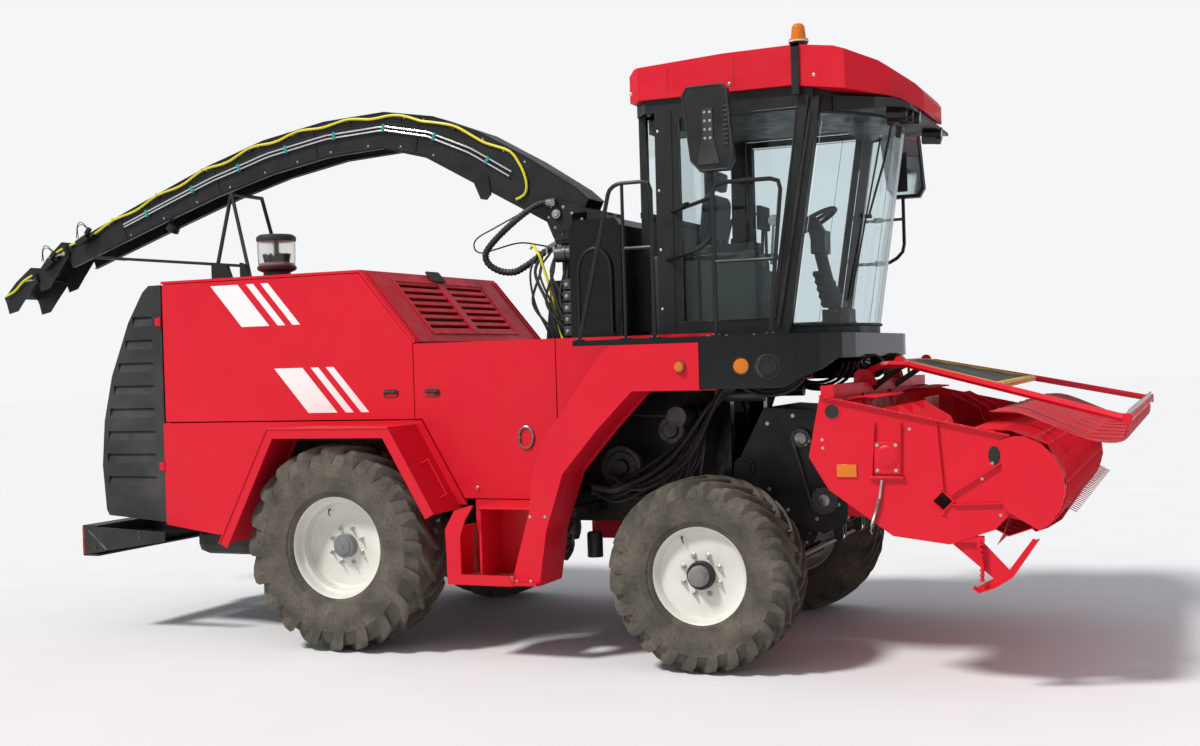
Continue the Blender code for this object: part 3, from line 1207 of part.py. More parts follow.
def interior():
    floor = SILL_TOP + SEAT_GAP
    base = box((-0.30, 0.08), (-0.19, 0.19), (floor, 2.52))
    cushion = box((-0.34, 0.16), (-0.25, 0.25), (2.50, 2.64))
    back = plate([(-0.36, 2.60), (-0.24, 2.60), (-0.30, 3.22), (-0.38, 3.22)], "y", -0.24, 0.24)
    head = plate([(-0.385, 3.20), (-0.305, 3.20), (-0.315, 3.38), (-0.375, 3.38)], "y", -0.13, 0.13)
    arm = box((-0.22, 0.12), (-0.33, -0.26), (2.72, 2.77))
    arm_post = box((-0.28, -0.20), (-0.32, -0.20), (2.60, 2.76))
    console = box((-0.26, 0.20), (-0.50, -0.32), (2.70, 2.80))
    stick = cylinder((0.10, -0.42, 2.78), (0.13, -0.42, 2.93), 0.022, 10)
    seat = union([base, cushion, back, head, arm, arm_post, console, stick])
    node(seat, "driver_seat", CLOTH)
    column = tube([(0.61, 0, floor + 0.06), (0.465, 0, 2.90)], 0.045)
    foot = box((0.53, 0.72), (-0.10, 0.10), (floor, floor + 0.12))
    tilt = Matrix.Translation((0.45, 0, 2.95)) @ Matrix.Rotation(math.radians(-28), 4, "Y")
    ring = []
    for i in range(7):
        a = 2 * math.pi * i / 6
        ring.append((0.185 + 0.014 * math.cos(a), 0.014 * math.sin(a)))
    wheel = lathe(ring[:-1], 12, tilt)
    spokes = box((-0.19, 0.19), (-0.018, 0.018), (-0.008, 0.008))
    spokes.matrix_world = tilt
    spokes = baked(spokes)
    cross = box((-0.016, 0.016), (-0.19, 0.19), (-0.0065, 0.0060))
    cross.matrix_world = tilt
    cross = baked(cross)
    hub = box((-0.047, 0.047), (-0.043, 0.043), (-0.09, 0.014))
    hub.matrix_world = tilt
    hub = baked(hub)
    node(union([column, foot, wheel, spokes, cross, hub]), "steering_column", BLACK)


# Crop intake
def feeder_house():
    """Open intake box between the front wheels, hung on its rear pivot."""
    px, pz = HEADER_PIVOT
    side = [(px - 0.07, pz - 0.05), (px - 0.02, pz + 0.09), (0.20, 1.66), (0.74, 1.62), (0.76, 0.88),
            (0.60, 0.80),
            (0.30, 0.90), (0.12, 1.10)]
    walls = []
    for s in (-1, 1):
        y = sorted((s * 0.455, s * 0.470))
        walls.append(plate(side, "y", y[0], y[1]))
    top = band([(0.14, 1.55), (0.20, 1.66), (0.74, 1.62)], 0.012, -0.46, 0.46)
    floor = band([(0.12, 1.112), (0.30, 0.912), (0.60, 0.812), (0.76, 0.892)], 0.012, -0.46, 0.46)
    frame = []
    for s in (-1, 1):
        y = sorted((s * 0.40, s * 0.4699))
        frame.append(box((0.700, 0.7597), y, (0.90, 1.62)))
    frame.append(box((0.700, 0.7597), (-0.469, 0.469), (1.56, 1.62)))
    bosses = []
    for s in (-1, 1):
        bosses.append(cylinder((px, s * 0.440, pz), (px, s * 0.485, pz), 0.075, 12))
        ex, ez = LIFT_EYE
        ear = [(ex - 0.035, 0.86), (ex - 0.030, ez - 0.015), (ex, ez - 0.032), (ex + 0.030, ez - 0.015),
               (ex + 0.035, 0.86)]
        for y0 in (LIFT_Y - 0.042, LIFT_Y + 0.024):
            bosses.append(plate(ear, "y", *sorted((s * y0, s * (y0 + 0.018)))))
        bosses.append(cylinder((ex, s * (LIFT_Y - 0.040), ez), (ex, s * (LIFT_Y + 0.040), ez), 0.014, 10))
    body = union([*walls, top, floor, *frame, *bosses])
    tools = [cylinder((0.61, -0.6, 1.03), (0.61, 0.6, 1.03), 0.0365, 12)]
    tools.append(cylinder((0.46, -0.6, 1.45), (0.46, 0.6, 1.45), 0.0365, 12))
    tools.append(cylinder((px, -0.6, pz), (px, 0.6, pz), 0.0535, 12))
    return node(cut(body, tools), "feeder_house", BLACK, (px, 0, pz))


def sprocket(x, y, z, teeth, radius):
    ring = []
    for i in range(teeth * 2):
        a = math.pi * i / teeth
        r = radius if i % 2 == 0 else radius - 0.012
        ring.append((x + r * math.cos(a), z + r * math.sin(a)))
    return plate(ring, "y", y - 0.006, y + 0.006)


def feed_rolls():
    """Two ribbed rolls that draw the crop in, each with its drive sprocket outside the right wall."""
    rolls = (  # name, x, z, drum radius, ribs, sprocket radius, teeth
        ("lower", 0.61, 1.03, 0.070, 6, 0.094, 12),
        ("upper", 0.46, 1.45, 0.085, 8, 0.064, 9),
    )
    for name, x, z, radius, ribs, wheel, teeth in rolls:
        drum = cylinder((x, -0.385, z), (x, 0.385, z), radius, 12)
        shaft = cylinder((x, -0.515, z), (x, 0.480, z), 0.034, 10)
        bars = []
        for i in range(ribs):
            a = 2 * math.pi * i / ribs
            bar = box((radius - 0.010, radius + 0.022), (-0.380, 0.380), (-0.007, 0.007))
            bar.data.transform(Matrix.Translation((x, 0, z)) @ Matrix.Rotation(a, 4, "Y"))
            bars.append(bar)
        gear = sprocket(x, -0.497, z, teeth, wheel)
        node(union([drum, shaft, *bars, gear]), "feed_roll_" + name, STEEL, (x, 0, z))


def lift_cylinders():
    """Header lift cylinders: barrel pinned to the axle's bracket, rod up to the feeder house."""
    foot = Vector(LIFT_FOOT)
    eye = Vector(LIFT_EYE)
    along = (eye - foot).normalized()
    y = -LIFT_Y
    mouth = foot + along * 0.415
    base = foot + along * 0.055
    barrel = cylinder((base.x, y, base.y), (mouth.x, y, mouth.y), 0.038, 10)
    lug_low = cylinder((foot.x, y - 0.017, foot.y), (foot.x, y + 0.017, foot.y), 0.030, 12)
    neck = cylinder((foot.x + along.x * 0.020, y, foot.y + along.y * 0.020),
                    (base.x + along.x * 0.01, y, base.y + along.y * 0.01), 0.016, 10)
    body = union([barrel, lug_low, neck])
    start = foot + along * 0.065
    bore = cylinder((start.x, y, start.y), (mouth.x + along.x * 0.1, y, mouth.y + along.y * 0.1), 0.0225, 8)
    pin = cylinder((foot.x, y - 0.1, foot.y), (foot.x, y + 0.1, foot.y), 0.0170, 10)
    pair(cut(body, [bore, pin]), "lift_barrel", BLACK, (foot.x, y, foot.y))
    inner = foot + along * 0.331
    tip = eye - along * 0.020
    rod = cylinder((inner.x, y, inner.y), (tip.x, y, tip.y), 0.020, 8)
    head = cylinder((eye.x, y - 0.014, eye.y), (eye.x, y + 0.014, eye.y), 0.030, 10)
    hole = cylinder((eye.x, y - 0.1, eye.y), (eye.x, y + 0.1, eye.y), 0.0170, 10)
    pair(cut(union([rod, head]), [hole]), "lift_rod", CHROME, (inner.x, y, inner.y))


# Header
PLATE = [(0.857, 1.770), (1.961, 1.524), (1.961, 1.075), (1.865, 0.975), (1.607, 0.885), (1.276, 0.928),
         (0.898, 1.198), (0.780, 1.396)]
TROUGH_R = AUGER_R + 0.024


def trough_line():
    """Section of the pan: back sheet, arc under the auger and lip behind the tines."""
    ax, az = AUGER_AXIS
    line = [(0.866, 1.780), (0.900, 1.55)]
    for a in range(190, 331, 20):
        t = math.radians(a)
        line.append((ax + TROUGH_R * math.cos(t), az + TROUGH_R * math.sin(t)))
    line += [(1.570, 1.318), (1.640, 1.430), (1.775, 1.528)]
    return line


def header_frame():
    """Side plates, pan, beams, end shields, skids and the bands that the tines pass between."""
    pieces = []
    hy = HEADER_Y
    ax, az = AUGER_AXIS
    ring = [(1.574 + 0.068 * math.cos(math.radians(a)),
             1.139 + 0.068 * math.sin(math.radians(a))) for a in (0, 90, 180, 270)]
    tunnel = [(1.574 + 0.056 * math.cos(math.radians(a)),
               1.139 + 0.056 * math.sin(math.radians(a))) for a in (0, 90, 180, 270)]
    line = trough_line()
    mouth_half = 0.40
    pan = band(line, -0.008, -hy + 0.004, hy - 0.004)
    opening = box((0.5, 1.02), (-mouth_half, mouth_half), (1.05, 1.60))
    pan = cut(pan, [opening])
    pieces.append(pan)
    for s in (-1, 1):
        y = sorted((s * hy, s * (hy - HEADER_SHEET)))
        pieces.append(plate(PLATE, "y", y[0], y[1]))
        top = [(0.857, 1.768), (1.961, 1.522)]
        flange_y = sorted((s * (hy - 0.002), s * (hy + 0.028)))
        pieces.append(band(top, 0.006, flange_y[0], flange_y[1]))
        outer = sorted((s * (hy - 0.003), s * (hy + 0.022)))
        for a, b in (((1.574, 1.21), (1.545, 1.600)), ((1.62, 1.18), (1.93, 1.38)),
                     ((1.63, 1.125), (1.93, 1.135)),
                     ((1.190, 1.60), (1.167, 1.27)), ((1.345, 1.60), (1.335, 1.30))):
            pieces.append(band([a, b], 0.008, outer[0], outer[1]))
        pieces.append(box((1.160, 1.345), outer, (1.266, 1.276)))
        pieces.append(cylinder((ax, s * (hy - 0.005), az), (ax, s * (hy + 0.020), az), 0.075, 10))
        shield = [(1.912, 1.493), (1.975, 1.515)] + [(1.960 + 0.300 * math.cos(math.radians(a)),
                                                      1.225 + 0.300 * math.sin(math.radians(a)))
                                     for a in range(75, -46, -20)] + [(2.114, 0.979), (1.918, 1.097)]
        cover = plate(shield, "y", *sorted((s * (hy - 0.006), s * (hy + 0.025))))
        pieces.append(cover)
        skid = [(1.600, 0.900), (1.700, 0.930), (1.79, 0.90), (1.935, 0.742), (2.070, 0.925), (2.100, 0.915),
                (1.955, 0.700), (1.850, 0.640), (1.760, 0.608), (1.740, 0.630), (1.845, 0.690)]
        pieces.append(plate(skid, "y", *sorted((s * (hy - 0.045), s * (hy - 0.033)))))
        sole = [(1.733, 0.638), (1.765, 0.614), (1.852, 0.645), (1.950, 0.708), (2.096, 0.922)]
        pieces.append(band(sole, 0.009, *sorted((s * (hy - 0.08), s * (hy - 0.001)))))
        pieces.append(box((1.60, 1.80), sorted((s * (hy - 0.046), s * (hy - 0.004))), (0.900, 0.935)))
    pieces.append(plate(ring, "y", -hy - 0.012, hy + 0.012))
    pieces.append(box((0.862, 0.940), (-hy + 0.003, hy - 0.003), (1.755, 1.825)))
    for s in (-1, 1):
        for y0 in (0.430, 0.500):
            y = sorted((s * y0, s * (y0 + 0.014)))
            ear = [(0.835, 1.80), (0.975, 1.80), (0.955, 1.885), (GUARD_PIVOT[0] + 0.02, 1.905),
                   (GUARD_PIVOT[0] - 0.03, 1.905),
                   (0.84, 1.88)]
            pieces.append(plate(ear, "y", y[0], y[1]))
    coupler = []
    for s in (-1, 1):
        y = sorted((s * 0.405, s * 0.465))
        coupler.append(box((0.7603, 0.895), y, (1.20, 1.76)))
        coupler.append(box((0.7603, 0.93), sorted((s * 0.408, s * 0.462)), (0.92, 1.22)))
    coupler.append(box((0.762, 0.928), (-0.460, 0.460), (0.925, 0.975)))
    for s in (-1, 1):
        cradle = [(0.80, 0.93), (1.254, 0.93), (1.254, 1.082), (1.1446, 1.1013), (1.0483, 1.1569),
                  (0.9769, 1.242), (0.80, 1.242)]
        coupler.append(plate(cradle, "y", *sorted((s * 0.411, s * 0.458))))
    body = union(pieces + coupler + pickup_bands())
    holes = [plate(tunnel, "y", -hy - 0.1, hy + 0.1)]
    holes.append(cylinder((ax, -hy - 0.1, az), (ax, hy + 0.1, az), 0.0325, 10))
    holes.append(cylinder((REEL_AXIS[0], -hy - 0.02, REEL_AXIS[1]),
                          (REEL_AXIS[0], hy + 0.015, REEL_AXIS[1]), 0.0325, 10))
    px, pz = GUARD_PIVOT
    holes.append(cylinder((px, -0.7, pz), (px, 0.7, pz), 0.0155, 10))
    return node(cut(body, holes), "header_frame", RED, (HEADER_PIVOT[0], 0, HEADER_PIVOT[1]))


BAND_COUNT = 16
BAND_PITCH = 2 * 1.43 / BAND_COUNT


def pickup_bands():
    """Row of bent straps round the tine rotor and the bar that carries their upper ends."""
    profile = [(1.710, 1.546)]
    for a in range(92, -50, -45):
        t = math.radians(a)
        profile.append((1.960 + 0.300 * math.cos(t), 1.235 + 0.315 * math.sin(t)))
    profile += [(1.930, 0.928), (1.604, 1.105)]
    width = BAND_PITCH - 0.026
    straps = []
    for i in range(BAND_COUNT):
        y = -1.43 + (i + 0.5) * BAND_PITCH
        straps.append(band(profile, 0.006, y - width / 2, y + width / 2))
    rows = joined(straps)
    upper = box((1.700, 1.752), (-1.495, 1.495), (1.524, 1.5435))
    return [upper, rows]


def auger():
    ax, az = AUGER_AXIS
    core = cylinder((ax, -1.470, az), (ax, 1.470, az), AUGER_TUBE_R, 12)
    shaft = cylinder((ax, -HEADER_Y - 0.030, az), (ax, HEADER_Y + 0.030, az), 0.030, 10)
    pitch = 0.40
    steps = 9
    count = 23
    pieces = [core, shaft]
    for s in (-1, 1):
        bm = bmesh.new()
        rings = []
        for i in range(count + 1):
            a = 2 * math.pi * i / steps
            y = s * (1.445 - pitch * i / steps)
            ring = []
            for radius, shift in ((AUGER_TUBE_R - 0.026, -0.004), (AUGER_R, -0.004), (AUGER_R, 0.004),
                                  (AUGER_TUBE_R - 0.026, 0.004)):
                ring.append(bm.verts.new((ax + radius * math.cos(a), y + shift, az + radius * math.sin(a))))
            rings.append(ring)
        bm.faces.new(rings[0])
        bm.faces.new(rings[-1][::-1])
        for first, second in zip(rings, rings[1:]):
            bm.faces.new((first[0], second[0], second[1]))
            bm.faces.new((first[0], second[1], first[1]))
            bm.faces.new((first[1], second[1], second[2], first[2]))
            bm.faces.new((first[2], second[2], first[3]))
            bm.faces.new((second[2], second[3], first[3]))
            bm.faces.new((first[3], second[3], second[0], first[0]))
        bmesh.ops.recalc_face_normals(bm, faces=bm.faces)
        mesh = bpy.data.meshes.new("flight")
        bm.to_mesh(mesh)
        bm.free()
        obj = bpy.data.objects.new("flight", mesh)
        WORK.objects.link(obj)
        pieces.append(obj)
    for i in range(4):
        paddle = box((AUGER_TUBE_R - 0.01, AUGER_R), (-0.26, 0.26), (-0.006, 0.006))
        paddle.data.transform(Matrix.Translation((ax, 0, az)) @ Matrix.Rotation(math.pi / 2 * i, 4, "Y"))
        pieces.append(paddle)
    return node(union(pieces), "auger", RED, (ax, 0, az))


TINE_BARS = 4
TINE_ROOT = 0.150


def pickup_reel():
    """Tine rotor: shaft, end and middle discs, tine bars and one tine for each gap between bands."""
    x, z = REEL_AXIS
    shaft = cylinder((x, -HEADER_Y, z), (x, HEADER_Y, z), 0.030, 10)
    pieces = [shaft]
    for y in (-1.440, 0.0, 1.440):
        pieces.append(cylinder((x, y - 0.005, z), (x, y + 0.005, z), TINE_ROOT + 0.022, 12))
    tines = []
    for k in range(TINE_BARS):
        a = math.radians(-20) + 2 * math.pi * k / TINE_BARS
        cx = x + TINE_ROOT * math.cos(a)
        cz = z + TINE_ROOT * math.sin(a)
        pieces.append(cylinder((cx, -1.440, cz), (cx, 1.440, cz), 0.0145, 5))
        for i in range(BAND_COUNT - 1):
            y = -1.43 + (i + 1) * BAND_PITCH
            tip = (x + REEL_R * math.cos(a), y, z + REEL_R * math.sin(a))
            tines.append(cylinder((cx, y, cz), tip, 0.0060, 3, 0.0))
    return node(union([union(pieces), joined(tines)]), "pickup_reel", RED, (x, 0, z))


def wind_guard():
    """Hinged guard: two splayed arms, two cross bars and the long curved rods that hold the crop."""
    px, pz = GUARD_PIVOT
    pieces = []
    for s in (-1, 1):
        y = s * 0.472
        path = rounded([(px, y, pz), (0.98, y, 1.925), (1.14, s * 0.49, 1.945), (1.83, s * 1.03, 1.790),
                        (2.585, s * 1.535, 1.613)], 0.10, 1)
        pieces.append(tube(path, 0.024, 1))
        pieces.append(cylinder((px, y - 0.020, pz), (px, y + 0.020, pz), 0.030, 12))
        pieces.append(cylinder((px, y - 0.047, pz), (px, y + 0.047, pz), 0.012, 10))
    pieces.append(cylinder((1.14, -0.49, 1.945), (1.14, 0.49, 1.945), 0.020, 8))
    pieces.append(cylinder((1.83, -1.03, 1.790), (1.83, 1.03, 1.790), 0.020, 8))
    pieces.append(cylinder((2.600, -1.554, 1.610), (2.600, 1.554, 1.610), 0.026, 8))
    mat = plate([(1.14, -0.40), (1.14, 0.40), (1.83, 0.86), (1.83, -0.86)], "z", -0.004, 0.004)
    tilt = Matrix.Translation((1.14, 0, 1.945)) @ Matrix.Rotation(math.atan2(0.155, 0.69), 4,
                                                                  "Y") @ Matrix.Translation((-1.14, 0, 0))
    mat.matrix_world = tilt
    mat = baked(mat)
    pieces.append(mat)
    rods = []
    count = 9
    for i in range(count):
        y = -1.40 + 2.80 * i / (count - 1)
        path = smooth_line([(2.600, y, 1.600), (2.575, y, 1.490), (2.36, y, 1.505), (2.02, y, 1.645),
                            (1.84, y, 1.655)], 1)
        rods.append(tube(path, 0.0050, 0))
    body = union([*pieces, joined(rods)])
    return node(body, "wind_guard", RED, (px, 0, pz))


def main():
    wheels()
    main_frame()
    front_axle()
    rear_axle()
    steering()
    engine_and_tank()
    rear_bumper()
    hood_shell()
    hood_doors()
    service_doors()
    rear_sides()
    front_sides()
    rear_grille()
    pre_cleaner()
    spout_cradle()
    spout()
    spout_flaps()
    chopper_tower()
    spout_turret()
    cab_platform()
    grab_rails()
    cab_frame()
    glazing()
    cab_doors()
    cab_roof()
    interior()
    feeder_house()
    feed_rolls()
    lift_cylinders()
    header_frame()
    auger()
    pickup_reel()
    wind_guard()


clear_scene()
PARTS = named_collection("forage_harvester")
WORK = named_collection("work")
main()
bpy.data.collections.remove(WORK)
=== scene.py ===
"""Looks of the forage harvester: finishes, tread, fittings, hoses, lamps, seat, light and camera.

Shapes are written in metres from the front axle's centre line, as the machine is drawn, and every
piece is shifted by AXLE_X into the shared frame. +X is forward, +Y is the machine's left, +Z is up.
"""
import bpy
import bmesh
import json
import math
from mathutils import Matrix, Vector


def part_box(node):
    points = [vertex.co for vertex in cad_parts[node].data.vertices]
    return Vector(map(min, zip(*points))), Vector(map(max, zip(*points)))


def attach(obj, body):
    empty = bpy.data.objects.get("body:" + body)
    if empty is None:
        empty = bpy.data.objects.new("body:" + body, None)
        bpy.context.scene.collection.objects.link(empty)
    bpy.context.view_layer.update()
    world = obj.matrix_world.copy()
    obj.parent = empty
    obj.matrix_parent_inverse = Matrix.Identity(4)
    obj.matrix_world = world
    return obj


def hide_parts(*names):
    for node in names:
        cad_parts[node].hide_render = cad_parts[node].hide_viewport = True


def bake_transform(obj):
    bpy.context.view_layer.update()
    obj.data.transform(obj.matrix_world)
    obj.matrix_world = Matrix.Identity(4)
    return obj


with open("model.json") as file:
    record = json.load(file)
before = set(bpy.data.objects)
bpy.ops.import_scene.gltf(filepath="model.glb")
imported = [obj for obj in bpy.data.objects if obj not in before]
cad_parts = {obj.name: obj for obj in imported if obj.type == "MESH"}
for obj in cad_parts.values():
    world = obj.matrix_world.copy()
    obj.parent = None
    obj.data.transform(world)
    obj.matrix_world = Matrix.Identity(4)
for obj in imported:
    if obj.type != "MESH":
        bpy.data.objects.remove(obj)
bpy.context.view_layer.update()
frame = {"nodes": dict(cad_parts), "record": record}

# Driving dimensions
AXLE_X = (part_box("front_tyre_right")[0][0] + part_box("front_tyre_right")[1][0]) / 2
FRONT = dict(radius=0.625, half=0.230, bead=0.315, lugs=24, lug_height=0.035, lug_width=0.034, x=0.0,
             y=1.170)
REAR = dict(radius=0.740, half=0.225, bead=0.365, lugs=20, lug_height=0.045, lug_width=0.050, x=-2.72,
            y=1.175)
BODY_Y = 1.060
SKIRT_Y = 1.400
HEADER_Y = 1.500
HOOD_TOP = 2.725
SPOUT_HALF = 0.150
SPOUT_CROWN = [(-6.230, 3.150), (-5.20, 3.545), (-4.10, 3.905), (-2.941, 4.030), (-2.10, 3.800),
               (-1.253, 3.285)]
SPOUT_DEPTH = [(-6.230, 0.200), (-5.649, 0.235), (-4.256, 0.300), (-2.895, 0.290), (-2.183, 0.350),
               (-1.634, 0.390)]
AUGER_AXIS = (1.254, 1.402)
REEL_AXIS = (1.99, 1.20)
GUARD_PIVOT = (0.90, 1.865)
SIDES = (("right", -1), ("left", 1))
TURNTABLE_X = -1.27
TURNTABLE_BOLTS = 0.247
VALVES = 5
VALVE_PITCH = 0.085
CABLE_START = -6.17
CABLE_RUN = 4.35
PAD_SWELL = 0.012
PAD_VOXEL = 0.010
PAD_PRESSURE = 4.0
PAD_FRAMES = 15
PICKUP_TINES = 32
GUARD_RODS = 34
LOWER_SPROCKET = (0.61, 1.03, 0.088)
UPPER_SPROCKET = (0.46, 1.45, 0.058)
HOOD_APEX = (-2.635, HOOD_TOP)
HOOD_FOOT = (-2.190, 2.190)
HOOD_LENGTH = math.hypot(HOOD_FOOT[0] - HOOD_APEX[0], HOOD_FOOT[1] - HOOD_APEX[1])
SLOPE = (Matrix.Translation((HOOD_APEX[0], 0, HOOD_APEX[1]))
         @ Matrix.Rotation(math.atan2(HOOD_APEX[1] - HOOD_FOOT[1], HOOD_FOOT[0] - HOOD_APEX[0]), 4, "Y"))


# Materials
class Finish:
    """One material built from nodes round its shader."""

    def __init__(self, name, color, rough, metal=0.0):
        self.mat = bpy.data.materials.new(name)
        self.mat.use_nodes = True
        self.nodes = self.mat.node_tree.nodes
        self.links = self.mat.node_tree.links
        self.shader = self.nodes["Principled BSDF"]
        self.shader.inputs["Base Color"].default_value = (*color, 1.0)
        self.shader.inputs["Roughness"].default_value = rough
        self.shader.inputs["Metallic"].default_value = metal
        self.color = color
        self.place = self.nodes.new("ShaderNodeTexCoord").outputs["Object"]
        self.color_out = None

    def noise(self, scale, detail=4.0, stretch=None):
        texture = self.nodes.new("ShaderNodeTexNoise")
        texture.inputs["Scale"].default_value = scale
        texture.inputs["Detail"].default_value = detail
        source = self.place
        if stretch:
            mapping = self.nodes.new("ShaderNodeMapping")
            mapping.inputs["Scale"].default_value = stretch
            self.links.new(self.place, mapping.inputs["Vector"])
            source = mapping.outputs["Vector"]
        self.links.new(source, texture.inputs["Vector"])
        return texture.outputs["Fac"]

    def spread(self, value, low, high, to_low=0.0, to_high=1.0):
        node = self.nodes.new("ShaderNodeMapRange")
        for socket, number in zip(("From Min", "From Max", "To Min", "To Max"),
                                  (low, high, to_low, to_high)):
            node.inputs[socket].default_value = number
        self.links.new(value, node.inputs["Value"])
        return node.outputs["Result"]

    def times(self, a, b):
        node = self.nodes.new("ShaderNodeMath")
        node.operation = "MULTIPLY"
        self.links.new(a, node.inputs[0])
        self.links.new(b, node.inputs[1])
        return node.outputs["Value"]

    def tint(self, factor, color):
        """Mixes another colour in where the factor is high."""
        node = self.nodes.new("ShaderNodeMix")
        node.data_type = "RGBA"
        node.inputs["A"].default_value = (*self.color, 1.0)
        node.inputs["B"].default_value = (*color, 1.0)
        if self.color_out:
            self.links.new(self.color_out, node.inputs["A"])
        self.links.new(factor, node.inputs["Factor"])
        self.color_out = node.outputs["Result"]
        self.links.new(self.color_out, self.shader.inputs["Base Color"])

    def roughen(self, factor, low, high):
        self.links.new(self.spread(factor, 0.3, 0.7, low, high), self.shader.inputs["Roughness"])

    def bump(self, height, strength, distance=0.002):
        node = self.nodes.new("ShaderNodeBump")
        node.inputs["Strength"].default_value = strength
        node.inputs["Distance"].default_value = distance
        self.links.new(height, node.inputs["Height"])
        self.links.new(node.outputs["Normal"], self.shader.inputs["Normal"])

    def axis(self, index):
        node = self.nodes.new("ShaderNodeSeparateXYZ")
        self.links.new(self.place, node.inputs["Vector"])
        return node.outputs[index]

    def upward(self):
        """High where the surface faces up, so that dust settles there."""
        geometry = self.nodes.new("ShaderNodeNewGeometry")
        split = self.nodes.new("ShaderNodeSeparateXYZ")
        self.links.new(geometry.outputs["Normal"], split.inputs["Vector"])
        return self.spread(split.outputs["Z"], 0.2, 0.95)

    def dust(self, color, amount, low=0.3, high=2.2, settled=0.3):
        """Dry dirt that thins out with height, in patches, and lies on upward faces."""
        patches = self.spread(self.noise(2.6, 8.0), 0.40, 0.72)
        height = self.spread(self.axis(2), low, high, amount, amount * 0.10)
        self.tint(self.times(patches, height), color)
        fine = self.spread(self.noise(24.0, 6.0), 0.35, 0.75, 0.15, 1.0)
        top = self.spread(self.upward(), 0.0, 1.0, 0.0, settled)
        self.tint(self.times(fine, top), color)


DUST = (0.36, 0.30, 0.24)
MUD = (0.24, 0.205, 0.16)
GRIME = (0.035, 0.028, 0.020)


def paint(name, color, rough, coat=0.0, dust=0.25, settled=0.12, shade=0.85, shine=0.5):
    """Sprayed paint: slight drift of colour, fine orange peel, gloss that varies and settled dust."""
    f = Finish(name, color, rough)
    f.tint(f.spread(f.noise(1.4, 3.0), 0.35, 0.65, 0.0, 0.5), tuple(c * shade for c in color))
    f.dust(DUST, dust, settled=settled)
    f.roughen(f.noise(7.0, 5.0), rough * 0.8, min(rough * 1.35, 0.95))
    f.bump(f.noise(160.0, 2.0), 0.05, 0.0006)
    f.shader.inputs["Coat Weight"].default_value = coat
    f.shader.inputs["Coat Roughness"].default_value = 0.12
    f.shader.inputs["Specular IOR Level"].default_value = shine
    return f.mat


def metal(name, color, rough, grime):
    """Bare or plated metal with streaked gloss and grime in patches."""
    f = Finish(name, color, rough, 0.9)
    f.tint(f.spread(f.noise(9.0, 8.0), 0.45, 0.70, 0.0, grime), GRIME)
    f.roughen(f.noise(30.0, 4.0, (1.0, 1.0, 6.0)), rough * 0.7, min(rough * 1.6, 0.95))
    f.bump(f.noise(120.0, 3.0), 0.10, 0.0005)
    return f.mat


def rubber(name, color, dust_amount, rough=0.85):
    """Rubber with a dry bloom, mud in the hollows and a fine grain."""
    f = Finish(name, color, rough)
    f.tint(f.spread(f.noise(5.0, 8.0), 0.38, 0.68, 0.0, dust_amount), MUD)
    f.tint(f.spread(f.noise(38.0, 4.0), 0.50, 0.75, 0.0, 0.5), tuple(c * 0.45 for c in color))
    f.roughen(f.noise(14.0), rough * 0.85, min(rough * 1.1, 1.0))
    f.bump(f.noise(70.0, 6.0), 0.35, 0.003)
    return f.mat


def moulded(name, color, rough, dust=0.3, settled=0.35):
    """Moulded plastic: fine grain, scuffs and dust."""
    f = Finish(name, color, rough)
    f.dust(DUST, dust, 0.8, 3.4, settled)
    f.roughen(f.noise(11.0, 6.0), rough * 0.75, min(rough * 1.3, 0.95))
    f.bump(f.noise(220.0, 3.0), 0.18, 0.0008)
    return f.mat


def clear(name, color, rough=0.03, ior=1.45, smear=0.06, passing=1.0):
    """See-through pane or lens with a faint smear."""
    f = Finish(name, color, rough)
    f.shader.inputs["Transmission Weight"].default_value = passing
    f.shader.inputs["IOR"].default_value = ior
    f.tint(f.spread(f.noise(3.0, 6.0), 0.45, 0.75, 0.0, smear), (0.75, 0.72, 0.65))
    f.roughen(f.noise(4.0, 5.0), rough, rough + smear)
    return f.mat


def fabric(name, color):
    """Woven cloth: two crossed threads, a little fading and sheen."""
    f = Finish(name, color, 0.9)
    weave = f.times(f.noise(420.0, 1.0, (1.0, 0.12, 1.0)), f.noise(420.0, 1.0, (0.12, 1.0, 1.0)))
    f.tint(f.spread(f.noise(6.0, 5.0), 0.4, 0.7, 0.0, 0.6), tuple(min(c * 2.2, 1.0) for c in color))
    f.bump(weave, 0.5, 0.0015)
    f.shader.inputs["Sheen Weight"].default_value = 0.3
    return f.mat


RED_COLOR = (0.680, 0.0040, 0.020)
BLACK_COLOR = (0.009, 0.0095, 0.010)
RED = paint("red_paint_finish", RED_COLOR, 0.42, 0.03, dust=0.02, settled=0.015, shade=0.92, shine=0.30)
# Pinker red than the body paint, for the tines and crop rods: painted sheen that stands for their
# highlights; their gloss comes from the coat
SHEEN_ROD_RED = paint("painted_sheen_rod_finish", (0.52, 0.03, 0.04), 0.22, 0.5, dust=0.15, settled=0.05)
BLACK = paint("satin_black_finish", BLACK_COLOR, 0.40, 0.0, dust=0.10, settled=0.05, shine=0.40)
GLOSS = paint("gloss_black_finish", (0.006, 0.0065, 0.007), 0.16, 0.08, dust=0.03, settled=0.02, shine=0.30)
WHITE = paint("white_wheel_finish", (0.74, 0.73, 0.67), 0.38, 0.2, dust=0.45, settled=0.30, shade=0.95)
STRIPE = paint("white_stripe_finish", (0.90, 0.86, 0.86), 0.40, 0.1, dust=0.05, settled=0.02, shade=0.97)
TYRE = rubber("dusty_tyre_finish", (0.062, 0.054, 0.043), 0.42)
HOSE = rubber("black_hose_finish", (0.018, 0.018, 0.018), 0.10, 0.55)
GASKET = rubber("gasket_finish", (0.012, 0.012, 0.013), 0.12, 0.65)
COWL = moulded("moulded_black_finish", (0.012, 0.014, 0.015), 0.42, 0.16, 0.14)
